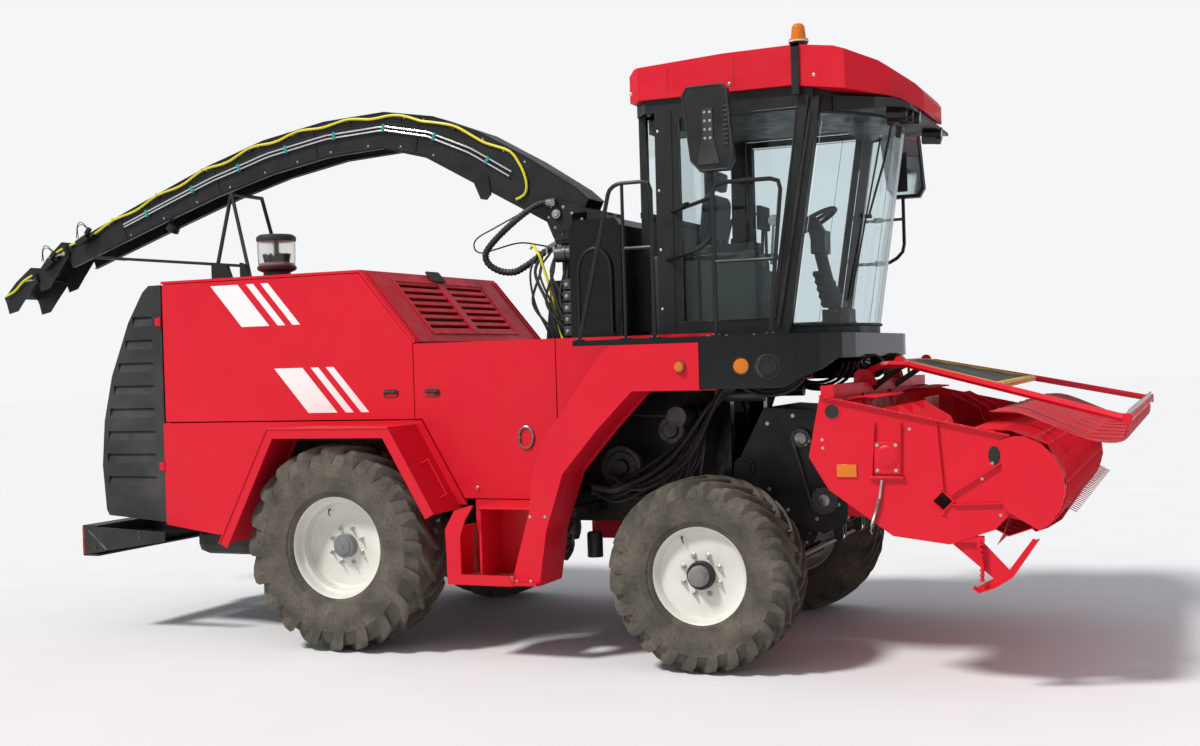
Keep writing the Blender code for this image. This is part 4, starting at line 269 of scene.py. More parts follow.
TRIM = moulded("cab_trim_finish", (0.024, 0.028, 0.027), 0.60, 0.05, 0.08)
SHELL = moulded("green_grey_trim_finish", (0.036, 0.048, 0.043), 0.55, 0.02, 0.05)
GLASS = clear("tinted_glass_finish", (0.78, 0.85, 0.86), 0.02, 1.30, 0.03)
BOWL = clear("clear_bowl_finish", (0.90, 0.90, 0.88), 0.05, smear=0.15)
LENS = clear("lamp_lens_finish", (0.96, 0.97, 0.98), 0.02, 1.10)
AMBER = clear("amber_lens_finish", (1.0, 0.30, 0.010), 0.08, passing=0.45)
RED_LENS = clear("red_lens_finish", (0.75, 0.02, 0.01), 0.10, passing=0.4)
STEEL = metal("dark_steel_finish", (0.10, 0.10, 0.10), 0.45, 0.7)
ZINC = metal("zinc_bolt_finish", (0.60, 0.58, 0.52), 0.32, 0.30)
CHROME = metal("polished_rod_finish", (0.72, 0.72, 0.73), 0.12, 0.05)
SILVER = metal("reflector_finish", (0.90, 0.90, 0.90), 0.08, 0.0)
SHAFT = metal("worn_steel_finish", (0.34, 0.33, 0.31), 0.30, 0.5)
HUB = paint("grey_hub_finish", (0.16, 0.17, 0.18), 0.35, 0.1, dust=0.4, settled=0.2)
CABLE = paint("yellow_cable_finish", (0.80, 0.72, 0.02), 0.42, dust=0.02, settled=0.02)
CABLE_RED = paint("red_cable_finish", (0.55, 0.03, 0.02), 0.42, dust=0.05)
EDGE = paint("yellow_edge_finish", (0.78, 0.52, 0.02), 0.50, dust=0.1)
CLIP = moulded("teal_clip_finish", (0.02, 0.30, 0.28), 0.45, 0.05)
MAT = rubber("rubber_mat_finish", (0.030, 0.028, 0.026), 0.25, 0.75)
TREAD = paint("worn_tread_finish", (0.62, 0.16, 0.14), 0.60, dust=0.9, settled=0.55)
CLOTH = fabric("seat_cloth_finish", (0.035, 0.038, 0.042))
MIRROR = metal("mirror_glass_finish", (0.86, 0.88, 0.90), 0.03, 0.0)
KNOB = moulded("pale_knob_finish", (0.70, 0.69, 0.64), 0.35, 0.0, 0.05)
# Near-black finish used as painted shade: the sheet under the louvre slots, the discs in the header plate's
# holes, and the radiator core's box, whose black is partly its own
PAINTED_SHADE_BLACK = moulded("painted_shade_black_finish", (0.010, 0.010, 0.011), 0.8, 0.05, 0.05)

SLOT_FINISH = {"red_paint": RED, "black_paint": BLACK, "gloss_black": GLOSS, "white_paint": WHITE,
               "tyre_rubber": TYRE, "tinted_glass": GLASS, "dark_steel": STEEL, "rod_steel": CHROME,
               "seat_cloth": CLOTH}
NODE_FINISH = {"rear_grille": COWL, "steering_column": TRIM}


def dress_nodes():
    """Gives each CAD node its finish."""
    slots = {part["node"]: part["material_slot"] for part in frame["record"]["subparts"]}
    for name, obj in frame["nodes"].items():
        finish = NODE_FINISH.get(name) or SLOT_FINISH[slots[name]]
        obj.data.materials.clear()
        obj.data.materials.append(finish)


# Mesh tools
class Shape:
    """Closed bits of one piece, collected in one mesh in the machine's own coordinates."""

    def __init__(self):
        self.bm = bmesh.new()

    def grid(self, rings, closed=True, caps=True):
        """Skin over a row of rings that have the same number of points."""
        rows = [[self.bm.verts.new(p) for p in ring] for ring in rings]
        count = len(rows[0])
        last = count if closed else count - 1
        for a, b in zip(rows, rows[1:]):
            for i in range(last):
                j = (i + 1) % count
                self.bm.faces.new((a[i], a[j], b[j], b[i]))
        if caps:
            self.bm.faces.new(rows[0][::-1])
            self.bm.faces.new(rows[-1])
        return self

    def box(self, x, y, z, place=None):
        place = place or Matrix.Identity(4)
        corners = [[place @ Vector((u, v, w)) for u, v in ((x[0], y[0]), (x[1], y[0]), (x[1], y[1]),
                                                           (x[0], y[1]))]
                   for w in z]
        return self.grid(corners)

    def plate(self, outline, axis, low, high):
        def spot(u, v, w):
            return {"x": (w, u, v), "y": (u, w, v), "z": (u, v, w)}[axis]
        return self.grid([[spot(u, v, w) for u, v in outline] for w in (low, high)])

    def bar(self, points, radius, sides=8, radii=None, loop=False):
        """Round bar along a line, its rings carried along without twist."""
        line = [Vector(p) for p in points]
        count = len(line)
        ahead = [(line[(i + 1) % count] - line[i - 1] if loop or 0 < i < count - 1
                  else line[min(i + 1, count - 1)] - line[max(i - 1, 0)]).normalized() for i in range(count)]
        side = ahead[0].orthogonal().normalized()
        rings = []
        for i, (spot, along) in enumerate(zip(line, ahead)):
            side = (side - along * side.dot(along)).normalized()
            up = along.cross(side)
            r = radii[i] if radii else radius
            rings.append([spot + (side * math.cos(t) + up * math.sin(t)) * r
                          for t in around(sides)])
        if loop:
            rings.append(rings[0])
        self.grid(rings, caps=not loop)
        if loop:
            bmesh.ops.remove_doubles(self.bm, verts=self.bm.verts, dist=0.00001)
        return self

    def rod(self, start, end, radius, sides=12, tip=None):
        tip = radius if tip is None else tip
        return self.bar([start, end], radius, sides, [radius, max(tip, 0.0002)])

    def turned(self, profile, place, steps=32, closed=False):
        """Profile of (radius, height) turned about local Z."""
        rings = []
        for r, h in profile + ([profile[0]] if closed else []):
            r = max(r, 0.0001)
            rings.append([place @ Vector((r * math.cos(t), r * math.sin(t), h))
                          for t in around(steps)])
        return self.grid(rings, caps=not closed)

    def bolt(self, place, size):
        """Washer and hexagon head standing on a surface."""
        height = size * 0.7
        self.turned([(size * 1.35, 0.0), (size * 1.35, size * 0.18), (size, size * 0.18)], place, 12)
        return self.turned([(size, size * 0.15), (size, height * 0.85), (size * 0.85, height)], place, 6)


def facing(point, normal):
    """Matrix that puts local Z along a normal at a point."""
    return Matrix.Translation(point) @ Vector(normal).to_track_quat("Z", "Y").to_matrix().to_4x4()


def outward(x, y, z, side):
    """Matrix that puts local Z out of one side of the machine at a point."""
    return facing((x, y, z), (0, side, 0))


def across(side, near, far, base=0.0):
    """Low and high Y of a stretch, given outward from a base on one side of the machine."""
    return sorted((base + side * near, base + side * far))


def around(count, shift=0.0):
    """Angles in equal steps round a full turn."""
    return [2 * math.pi * (k + shift) / count for k in range(count)]


def spaced(start, run, steps):
    """Places in equal steps along a run, with both its ends."""
    return [start + run * i / steps for i in range(steps + 1)]


def piece(name, shape, finish, body="chassis", angle=35, bevel=0.0):
    """Makes the object in the shared frame. It rides on its body, if one is given."""
    mesh = bpy.data.meshes.new(name)
    bmesh.ops.recalc_face_normals(shape.bm, faces=shape.bm.faces)
    shape.bm.to_mesh(mesh)
    shape.bm.free()
    mesh.transform(Matrix.Translation((AXLE_X, 0, 0)))
    mesh.materials.append(finish)
    mesh.shade_smooth()
    mesh.set_sharp_from_angle(angle=math.radians(angle))
    obj = bpy.data.objects.new(name, mesh)
    bpy.context.scene.collection.objects.link(obj)
    if bevel:
        soften(obj, bevel)
    if body:
        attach(obj, body)
    return obj


def soften(obj, width, segments=2, angle=30):
    bevel = obj.modifiers.new("Bevel", "BEVEL")
    bevel.width = width
    bevel.segments = segments
    bevel.limit_method = "ANGLE"
    bevel.angle_limit = math.radians(angle)
    bevel.harden_normals = False


def smooth_line(points, parts=6):
    """Points on a Catmull-Rom curve through the given ones."""
    line = [Vector(p) for p in points]
    line = [2 * line[0] - line[1]] + line + [2 * line[-1] - line[-2]]
    result = []
    for a, b, c, d in zip(line, line[1:], line[2:], line[3:]):
        for step in range(parts):
            t = step / parts
            result.append(0.5 * (2 * b + (c - a) * t + (2 * a - 5 * b + 4 * c - d) * t * t
                                 + (3 * b - a - 3 * c + d) * t ** 3))
    return result + [line[-2]]


def circle(centre, radius, axis="y", count=24, squeeze=1.0):
    """Points round a centre in the plane across an axis."""
    result = []
    for t in around(count):
        u = radius * math.cos(t)
        v = radius * math.sin(t) * squeeze
        shift = {"x": (0, u, v), "y": (u, 0, v), "z": (u, v, 0)}[axis]
        result.append(Vector(centre) + Vector(shift))
    return result


# Wheels
def wheel_place(size, side):
    """Local Z of a wheel points out of its side of the machine."""
    turn = Matrix.Rotation(math.radians(90 if side < 0 else -90), 4, "X")
    return Matrix.Translation((size["x"], side * size["y"], size["radius"])) @ turn


def tyre(name, size, side, body):
    """Carcass with bead ridges and fine flex ribs, and two rows of curved lugs."""
    half = size["half"]
    bead = size["bead"] - 0.002
    crown = size["radius"] - size["lug_height"]
    depth = crown - bead
    flank = [(bead, half - 0.058), (bead + 0.012, half - 0.043), (bead + 0.020, half - 0.034),
             (bead + 0.032, half - 0.031), (bead + 0.040, half - 0.020),
             (bead + 0.30 * depth, half - 0.006), (bead + 0.42 * depth, half - 0.002),
             (bead + 0.56 * depth, half - 0.001), (bead + 0.66 * depth, half - 0.004),
             (bead + 0.69 * depth, half - 0.001), (bead + 0.72 * depth, half - 0.008),
             (bead + 0.86 * depth, half - 0.022), (crown - 0.010, half - 0.046), (crown, half - 0.080),
             (crown + 0.004, 0.05)]
    profile = [(r, -h) for r, h in flank] + [(r, h) for r, h in reversed(flank)]
    place = wheel_place(size, side)
    shape = Shape().turned(profile, place, 96, closed=True)
    down = math.radians(-90 if side < 0 else 90)
    pitch = 2 * math.pi / size["lugs"]
    sweep = 0.62 * half / size["radius"] * 1.80
    tip = size["radius"] - 0.0006
    stations = (  # part of the half width, part of the sweep, top radius, base radius, width factor
        (-0.03, 0.00, tip, crown - 0.02, 0.80), (0.25, 0.16, tip, crown - 0.02, 0.92),
        (0.50, 0.40, tip - 0.002, crown - 0.02, 1.00), (0.75, 0.72, tip - 0.007, crown - 0.03, 1.10),
        (0.93, 1.00, tip - 0.018, crown - 0.05, 1.22), (0.998, 1.10, tip - 0.050, crown - 0.10, 1.20),
        (0.990, 1.16, crown - 0.050, crown - 0.13, 0.95))
    for face in (1, -1):
        lead = down if face > 0 else down + pitch / 2
        for i in range(size["lugs"]):
            rings = []
            for across, turn, top, base, factor in stations:
                width = size["lug_width"] * factor
                ring = []
                for radius, offset in ((base, 0.70), (base, -0.70), (top, -0.44), (top, 0.44)):
                    theta = lead + i * pitch + turn * sweep + offset * width / radius
                    ring.append(place @ Vector((radius * math.cos(theta), radius * math.sin(theta),
                                                face * across * half)))
                rings.append(ring)
            shape.grid(rings)
    for theta in around(90):
        for face in (1, -1):
            rings = []
            for part, height in ((0.24, half - 0.012), (0.42, half - 0.0025), (0.60, half - 0.006)):
                r = bead + part * depth
                turn = place @ Matrix.Rotation(theta, 4, "Z")
                rings.append([turn @ Vector((r, w, face * (height + up))) for w, up in
                              ((-0.0028, -0.004), (0.0028, -0.004), (0.0010, 0.0023), (-0.0010, 0.0023))])
            shape.grid(rings)
    obj = piece(name + "_tread", shape, TYRE, body, 30)
    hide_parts(name)


def front_rim(name, side, body):
    """Nearly flush dish with a rounded lip, hub ring, cap, nuts and valve."""
    place = wheel_place(FRONT, side)
    profile = [(0.343, 0.150), (0.343, 0.181), (0.336, 0.1838), (0.322, 0.180), (0.303, 0.165),
               (0.292, 0.140), (0.282, 0.124), (0.262, 0.116), (0.220, 0.118), (0.150, 0.117),
               (0.090, 0.114), (0.090, 0.100), (0.255, 0.100), (0.295, 0.060), (0.300, -0.150),
               (0.330, -0.180), (0.343, -0.180), (0.343, -0.165), (0.3145, -0.150), (0.3145, 0.150)]
    rim = piece(name + "_dish", Shape().turned(profile, place, 64, closed=True), WHITE, body)
    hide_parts(name)
    hub = Shape().turned([(0.092, 0.05), (0.092, 0.150), (0.086, 0.160), (0.074, 0.161), (0.070, 0.150),
                          (0.070, 0.05)],
                         place, 40, closed=True)
    piece(name + "_hub_ring", hub, BLACK, body)
    cap = Shape().turned([(0.069, 0.040), (0.069, 0.175), (0.064, 0.205), (0.050, 0.228), (0.030, 0.2345),
                          (0.0, 0.2345)],
                         place, 28)
    cap.turned([(0.040, 0.05), (0.040, -0.09), (0.0, -0.09)], place, 16)
    piece(name + "_hub_cap", cap, HUB, body)
    nuts(name, place, 0.132, 0.117, body)
    valve(name, place, 0.275, 0.118, body)


def rear_rim(name, side, body):
    """Deep dish with a stepped barrel, round hub cap, nuts and valve."""
    place = wheel_place(REAR, side)
    profile = [(0.393, 0.148), (0.393, 0.175), (0.386, 0.1788), (0.372, 0.175), (0.356, 0.160),
               (0.348, 0.148), (0.344, 0.120), (0.330, 0.104), (0.318, 0.098), (0.312, 0.060),
               (0.306, 0.030), (0.290, 0.016), (0.250, 0.012), (0.190, 0.016), (0.150, 0.024),
               (0.080, 0.026), (0.080, 0.006), (0.270, 0.000), (0.305, -0.010), (0.350, -0.140),
               (0.380, -0.175), (0.393, -0.175), (0.393, -0.160), (0.3645, -0.145), (0.3645, 0.145)]
    rim = piece(name + "_dish", Shape().turned(profile, place, 64, closed=True), WHITE, body)
    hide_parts(name)
    hub = Shape().turned([(0.086, -0.095), (0.086, 0.070), (0.080, 0.080), (0.062, 0.083), (0.060, 0.090),
                          (0.052, 0.094), (0.0, 0.094)], place, 40)
    hub.turned([(0.012, 0.090), (0.012, 0.098), (0.0, 0.098)], place, 12)
    piece(name + "_hub_cap", hub, HUB, body)
    nuts(name, place, 0.132, 0.025, body)
    valve(name, place, 0.290, 0.040, body)


def nuts(name, place, radius, height, body, count=8):
    """Ring of wheel nuts on their washers, with the studs' ends."""
    shape = Shape()
    for theta in around(count, 0.5):
        spot = place @ Matrix.Translation((radius * math.cos(theta), radius * math.sin(theta), height))
        shape.turned([(0.020, 0.0), (0.020, 0.004), (0.017, 0.006)], spot, 16)
        shape.turned([(0.0145, 0.004), (0.0145, 0.020), (0.012, 0.024)], spot, 6)
        shape.turned([(0.0075, 0.020), (0.0075, 0.038), (0.006, 0.041)], spot, 10)
    piece(name + "_nuts", shape, ZINC, body)


def valve(name, place, radius, height, body):
    """Bent tyre valve on the rim's dish."""
    theta = math.radians(118)
    foot = Vector((radius * math.cos(theta), radius * math.sin(theta), height - 0.01))
    inward = Vector((-math.cos(theta), -math.sin(theta), 0))
    line = [place @ (foot + inward * a + Vector((0, 0, b))) for a, b in ((0, 0), (0.004, 0.018),
                                                                         (0.022, 0.034), (0.045, 0.038))]
    piece(name + "_valve", Shape().bar(line, 0.005, 8, [0.008, 0.007, 0.0045, 0.0045]), STEEL, body)


def wheels():
    for name, side in SIDES:
        tyre("front_tyre_" + name, FRONT, side, "front_wheel_" + name)
        front_rim("front_rim_" + name, side, "front_wheel_" + name)
        tyre("rear_tyre_" + name, REAR, side, "rear_wheel_" + name)
        rear_rim("rear_rim_" + name, side, "rear_wheel_" + name)


# Body
def stripes():
    """Two groups of slanted white bars on each side of the hood."""
    groups = (  # left edge at the top, top height, bottom height, lean
        ((-3.966, -3.640, -3.508), 2.667, 2.347, 0.278),
        ((-3.406, -3.083, -2.951), 2.026, 1.691, 0.294),
    )
    widths = (0.251, 0.067, 0.067)
    for name, side in SIDES:
        shape = Shape()
        for lefts, top, bottom, lean in groups:
            for x, width in zip(lefts, widths):
                bar = [(x, top), (x + width, top), (x + width + lean, bottom), (x + lean, bottom)]
                shape.plate(bar, "y", *sorted((side * (BODY_Y - 0.002), side * (BODY_Y + 0.0008))))
        piece("hood_stripes_" + name, shape, STRIPE, "hood_door_%s_body" % name)


def latch(shape, x, z, side):
    """Paddle latch: a shallow dish with a rounded grip."""
    y = side * BODY_Y
    outline = [(x + 0.062 * math.copysign(abs(math.cos(t)) ** 0.5, math.cos(t)),
                z + 0.028 * math.copysign(abs(math.sin(t)) ** 0.5, math.sin(t)))
               for t in around(20, 0.5)]
    shape.plate(outline, "y", *across(side, -0.002, 0.006, y))
    shape.bar([(x - 0.048, y + side * 0.010, z + 0.008), (x, y + side * 0.014, z + 0.009),
               (x + 0.048, y + side * 0.010, z + 0.008)],
              0.011, 10)


def side_fittings():
    """Latches, locks, ring handles, hinges and the row of small bolts on both sides."""
    for name, side in SIDES:
        y = side * BODY_Y
        for x, body in ((-2.403, "hood_door_%s_body" % name), (-2.062, "service_door_%s_body" % name)):
            shape = Shape()
            latch(shape, x, 1.822, side)
            piece(("hood_latch_" if x < -2.2 else "service_latch_") + name, shape, GASKET, body)
        ring = circle((-1.33, y + side * 0.006, 1.50), 0.055, squeeze=1.364)
        shape = Shape().bar(ring, 0.0092, 8, loop=True)
        shape.box((-1.392, -1.372), across(side, 0.0, 0.012, y), (1.49, 1.51))
        piece("ring_handle_" + name, shape, SHAFT, "service_door_%s_body" % name)
        lock = Shape().turned([(0.012, 0.0), (0.012, 0.006), (0.007, 0.010), (0.007, 0.020), (0.0, 0.020)],
                              outward(-1.72, y, 1.150, side), 16)
        piece("door_lock_" + name, lock, ZINC, "service_door_%s_body" % name)
        hinges = Shape()
        for z in (1.270, 2.390):
            hinges.box((-4.500, -4.468), across(side, 1.059, 1.068), (z - 0.005, z + 0.055))
            hinges.rod((-4.460, side * 1.060, z - 0.012), (-4.460, side * 1.060, z + 0.062), 0.010, 12)
        piece("cowl_hinges_" + name, hinges, RED, "grille")
        step_bolts(name, side)
        fender_trim(name, side)


def step_bolts(name, side):
    shape = Shape()
    for x, z, y in ((-1.155, 0.991, SKIRT_Y), (-1.045, 0.993, SKIRT_Y), (-1.267, 0.560, SKIRT_Y),
                    (-1.163, 0.562, SKIRT_Y), (-1.625, 0.930, BODY_Y), (-1.625, 0.900, BODY_Y),
                    (-1.626, 0.690, BODY_Y), (-1.626, 0.660, BODY_Y)):
        shape.bolt(outward(x, side * y, z, side), 0.008)
    piece("step_bolts_" + name, shape, ZINC)
    tread = Shape().box((-1.740, -1.285), across(side, 1.072, 1.430), (0.5555, 0.5595))
    for i in range(9):
        for j in range(7):
            x = -1.715 + 0.050 * i + (0.025 if j % 2 else 0.0)
            if x < -1.29:
                tread.turned([(0.011, 0.0), (0.008, 0.0025), (0.004, 0.0028)],
                             Matrix.Translation((x, side * (1.10 + 0.050 * j), 0.5593)), 10)
    piece("step_tread_" + name, tread, TREAD)
    deck = Shape()
    for i in range(5):
        for j in range(11):
            deck.turned([(0.012, 0.0), (0.009, 0.0025), (0.004, 0.003)],
                        Matrix.Translation((-0.50 + 0.055 * j, side * (1.12 + 0.055 * i), 2.1498)), 8)
    piece("deck_studs_" + name, deck, GLOSS)


def fender_trim(name, side):
    """Folded edge along the wheel arch and the edge strips of the hood's slope."""
    line = [(-3.655, 0.765), (-3.210, 1.600), (-2.205, 1.600), (-1.862, 1.006)]
    shape = Shape()
    for (x1, z1), (x2, z2) in zip(line, line[1:]):
        shape.rod((x1, side * 1.452, z1 - 0.004), (x2, side * 1.452, z2 - 0.004), 0.0065, 8)
    piece("fender_bead_" + name, shape, RED)
    edge = Shape()
    for shift in (0.0, 0.060):
        edge.box((0.03, HOOD_LENGTH - 0.02), across(side, 1.052 - shift, 1.040 - shift), (0.0, 0.008), SLOPE)
    piece("hood_edge_strips_" + name, edge, RED)


def louvre_deck():
    """Pressed blades over the slots of the sloping deck, its centre rib, frame and side seam, and a
    near-black sheet under the slots as painted shade.
    """
    shape = Shape()
    rows = 7
    for column in (-1, 1):
        y = sorted((column * 0.062, column * 0.658))
        for row in range(rows):
            along = 0.12 + row * (HOOD_LENGTH - 0.22) / rows
            tilt = SLOPE @ Matrix.Translation((along + 0.036, 0,
                                               -0.004)) @ Matrix.Rotation(math.radians(-38), 4, "Y")
            shape.box((-0.014, 0.002), y, (-0.0015, 0.0015), tilt)
    shape.box((0.085, HOOD_LENGTH - 0.085), (-0.052, 0.052), (0.0, 0.006), SLOPE)
    for y in (-0.70, 0.70):
        shape.box((0.085, HOOD_LENGTH - 0.085), (y - 0.012, y + 0.012), (0.0, 0.006), SLOPE)
    for along in (0.085, HOOD_LENGTH - 0.085):
        shape.box((along - 0.012, along + 0.012), (-0.712, 0.712), (0.0, 0.006), SLOPE)
    piece("louvre_frame", shape, RED, bevel=0.0015)
    # Painted shade: a near-black sheet under the deck that makes the slots read as dark
    well = Shape().box((0.06, HOOD_LENGTH - 0.08), (-0.72, 0.72), (-0.075, -0.070), SLOPE)
    piece("louvre_painted_shade_sheet", well, PAINTED_SHADE_BLACK)
    handle = Shape().box((-0.075, 0.030), (-0.10, 0.10), (0.001, 0.022),
                         SLOPE @ Matrix.Translation((0.05, 0, 0.0)))
    piece("hood_hand_grip", handle, GASKET, bevel=0.006)


def cowl():
    """Dark screen and fins behind the cowl's louvres, and its rim seal."""
    shape = Shape()
    for side in (-1, 1):
        shape.box((-4.470, -4.456), across(side, 1.046, 1.030), (0.88, 2.68))
    piece("cowl_seal", shape, GASKET, "grille")
    screen = Shape()
    for i in range(15):
        z = 1.24 + i * 0.083
        screen.rod((-4.445, -0.74, z), (-4.445, 0.74, z), 0.004, 6)
    for i in range(16):
        y = -0.72 + i * 0.096
        screen.rod((-4.4455, y, 1.22), (-4.4455, y, 2.44), 0.003, 6)
    piece("radiator_screen", screen, STEEL)
    # Near-black box for the radiator core: its black is partly the core's own and partly painted shade of
    # the space behind the louvres
    core = Shape().box((-4.40, -4.34), (-0.76, 0.76), (1.20, 2.46))
    piece("radiator_core", core, PAINTED_SHADE_BLACK)


def bumper_lamps():
    for name, side in SIDES:
        y = side * 1.08
        base = Shape().box((-5.182, -5.169), across(side, -0.11, 0.105, y), (0.640, 0.800))
        piece("rear_lamp_base_" + name, base, GASKET, bevel=0.004)
        for part, low, high, glass in (("stop", 0.648, 0.696, RED_LENS), ("tail", 0.700, 0.744, RED_LENS),
                                       ("turn", 0.748, 0.792, AMBER)):
            lens = Shape().box((-5.196, -5.180), across(side, -0.100, 0.095, y), (low, high))
            piece("rear_lamp_%s_%s" % (part, name), lens, glass, bevel=0.005)
        edge = Shape()
        for low, high in ((0.62, 0.70), (0.72, 0.82)):
            edge.box((-5.166, -5.150), across(side, 1.1985, 1.2025), (low, high))
        piece("bumper_reflector_" + name, edge, RED_LENS)
        bolts = Shape()
        for x, z in ((-5.09, 0.79), (-5.04, 0.67), (-4.60, 0.79), (-4.60, 0.75)):
            bolts.bolt(outward(x, side * 1.200, z, side), 0.011)
        strut = [(-5.10, side * 1.198, 0.795), (-4.93, side * 1.198, 0.650)]
        bolts.bar(strut, 0.012, 6)
        piece("bumper_bolts_" + name, bolts, STEEL)
    hitch = Shape()
    for z in (0.675, 0.765):
        for y in (-0.09, 0.09):
            hitch.bolt(facing((-5.2398, y, z), (-1, 0, 0)), 0.011)
    piece("tow_plate_bolts", hitch, ZINC)


def air_cleaner():
    """Clear dust bowl between a black base and cap, with its vanes inside."""
    base = HOOD_TOP + 0.0003
    place = Matrix.Translation((-3.61, -0.70, base))
    black = Shape().turned([(0.104, 0.0), (0.104, 0.045), (0.143, 0.060), (0.150, 0.072), (0.150, 0.088),
                            (0.138, 0.096), (0.0, 0.096)], place, 40)
    black.turned([(0.146, 0.283), (0.152, 0.288), (0.152, 0.305), (0.148, 0.320), (0.128, 0.3345),
                  (0.0, 0.3345)], place, 40)
    black.turned([(0.020, 0.09), (0.020, 0.29), (0.0, 0.29)], place, 12)
    for i in range(10):
        vane = place @ Matrix.Rotation(2 * math.pi * i / 10, 4, "Z") @ Matrix.Rotation(0.35, 4, "X")
        black.box((0.03, 0.085), (-0.001, 0.001), (0.11, 0.20), vane)
    for i in range(24):
        rib = place @ Matrix.Rotation(2 * math.pi * i / 24, 4, "Z")
        black.box((0.147, 0.1518), (-0.004, 0.004), (0.287, 0.312), rib)
    cap = piece("pre_cleaner_cap", black, COWL)
    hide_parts("pre_cleaner")
    bowl = Shape().turned([(0.140, 0.094), (0.143, 0.14), (0.1455, 0.285), (0.142, 0.285), (0.1395, 0.14),
                           (0.1365, 0.097)],
                          place, 48, closed=True)
    piece("pre_cleaner_bowl", bowl, BOWL)
    dirt = Shape().turned([(0.134, 0.097), (0.134, 0.112), (0.10, 0.122), (0.03, 0.118), (0.0, 0.118)],
                          place, 24)
    piece("pre_cleaner_dust", dirt, TREAD)


# Spout
def crown_at(x):
    line = smooth_line([(a, 0.0, b) for a, b in SPOUT_CROWN], 2)
    for a, b in zip(line, line[1:]):
        if a.x <= x <= b.x:
            return a.z + (b.z - a.z) * (x - a.x) / (b.x - a.x), (b - a).normalized()
    return line[0].z, (line[1] - line[0]).normalized()


def depth_at(x):
    for (x1, d1), (x2, d2) in zip(SPOUT_DEPTH, SPOUT_DEPTH[1:]):
        if x <= x2:
            return d1 + (d2 - d1) * max(x - x1, 0.0) / (x2 - x1)
    return SPOUT_DEPTH[-1][1]


def on_spout(x, part, y):
    """Point on the spout's side: part is how far from the crown (0) to the lower edge (1)."""
    z, along = crown_at(x)
    drop = depth_at(x) * part
    return Vector((x + along.z * drop, y, z - along.x * drop))


def spout_cables():
    """Yellow and red cables along the spout's edge with their clips, and the yellow tails on the flaps."""
    y = -SPOUT_HALF - 0.012
    for name, finish, radius, lift in (("yellow", CABLE, 0.0105, 0.0), ("red", CABLE_RED, 0.005, 0.010)):
        route = []
        for i, x in enumerate(spaced(CABLE_START, CABLE_RUN, 45)):
            sway = 0.5 - 0.5 * math.cos(2 * math.pi * i / 5)
            route.append((x, 0.06 + 0.10 * sway))
        route += [(-1.74, 0.16), (-1.66, 0.30), (-1.60, 0.48), (-1.585, 0.66), (-1.62, 0.82)]
        line = [on_spout(x, part - lift, y - 0.002 - lift * 0.3) for x, part in route]
        piece("spout_cable_" + name, Shape().bar(smooth_line(line, 2), radius, 8), finish, "spout_body")
    tails = (("inner", [(-6.225, 3.135), (-6.30, 3.100), (-6.39, 3.020), (-6.46, 2.968)]),
             ("outer", [(-6.56, 2.915), (-6.66, 2.870), (-6.77, 2.785), (-6.87, 2.745)]))
    for name, route in tails:
        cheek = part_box("spout_flap_" + name)[0][1] - 0.006
        line = smooth_line([(x, cheek, z) for x, z in route], 5)
        piece("flap_cable_" + name, Shape().bar(line, 0.0095, 8), CABLE, "flap_" + name)
    clips = Shape()
    for x in spaced(CABLE_START, CABLE_RUN, 9):
        normal = crown_at(x)[1].cross(Vector((0, 1, 0)))
        clips.box((-0.008, 0.008), (-0.014, 0.014), (-0.024, 0.014), facing(on_spout(x, 0.06, y), normal))
    piece("spout_cable_clips", clips, GASKET, "spout_body")


def spout_bolts():
    """Bolts along the upper seam, and every second one along the lower seam."""
    bolts = Shape()
    for i, x in enumerate(spaced(-6.10, 4.40, 25)):
        for side in (-1, 1):
            bolts.bolt(facing(on_spout(x, 0.11, side * SPOUT_HALF), (0, side, 0)), 0.0065)
            if i % 2 and -5.9 < x < -2.2:
                bolts.bolt(facing(on_spout(x, 0.86, side * SPOUT_HALF), (0, side, 0)), 0.0065)
    piece("spout_seam_bolts", bolts, ZINC, "spout_body")


def spout_pipes():
    """Pair of pipes along the spout's right side, with their clamps."""
    y = -SPOUT_HALF - 0.012
    pipes = Shape()
    for part in (0.40, 0.50):
        pipes.bar([on_spout(x, part, y - 0.004) for x in spaced(-5.60, 3.85, 40)], 0.0075, 8)
    piece("spout_pipes", pipes, CHROME, "spout_body")
    clamps = Shape()
    for x in spaced(-5.35, 3.4, 7):
        along = crown_at(x)[1]
        lean = Matrix.Rotation(math.atan2(along.z, along.x) + math.pi / 2, 4, "Z")
        clamps.box((-0.030, 0.030), (-0.013, 0.013), (-0.011, 0.013),
                   facing(on_spout(x, 0.45, y - 0.003), (0, -1, 0)) @ lean)
    piece("pipe_clamps", clamps, CLIP, "spout_body", bevel=0.003)


def spout_ribs():
    """Long and upright ribs on both sides."""
    ribs = Shape()
    for side in (-1, 1):
        for part in (0.22, 0.93):
            ribs.bar([on_spout(x, part, side * (SPOUT_HALF + 0.001)) for x in spaced(-5.9, 3.7, 36)], 0.005,
                     6)
        for x in (-5.62, -4.62, -3.62, -2.62):
            top = on_spout(x, 0.0, side * (SPOUT_HALF + 0.004))
            low = on_spout(x, 0.9, side * (SPOUT_HALF + 0.002))
            ribs.bar([top, low], 0.006, 6)
    piece("spout_ribs", ribs, BLACK, "spout_body")


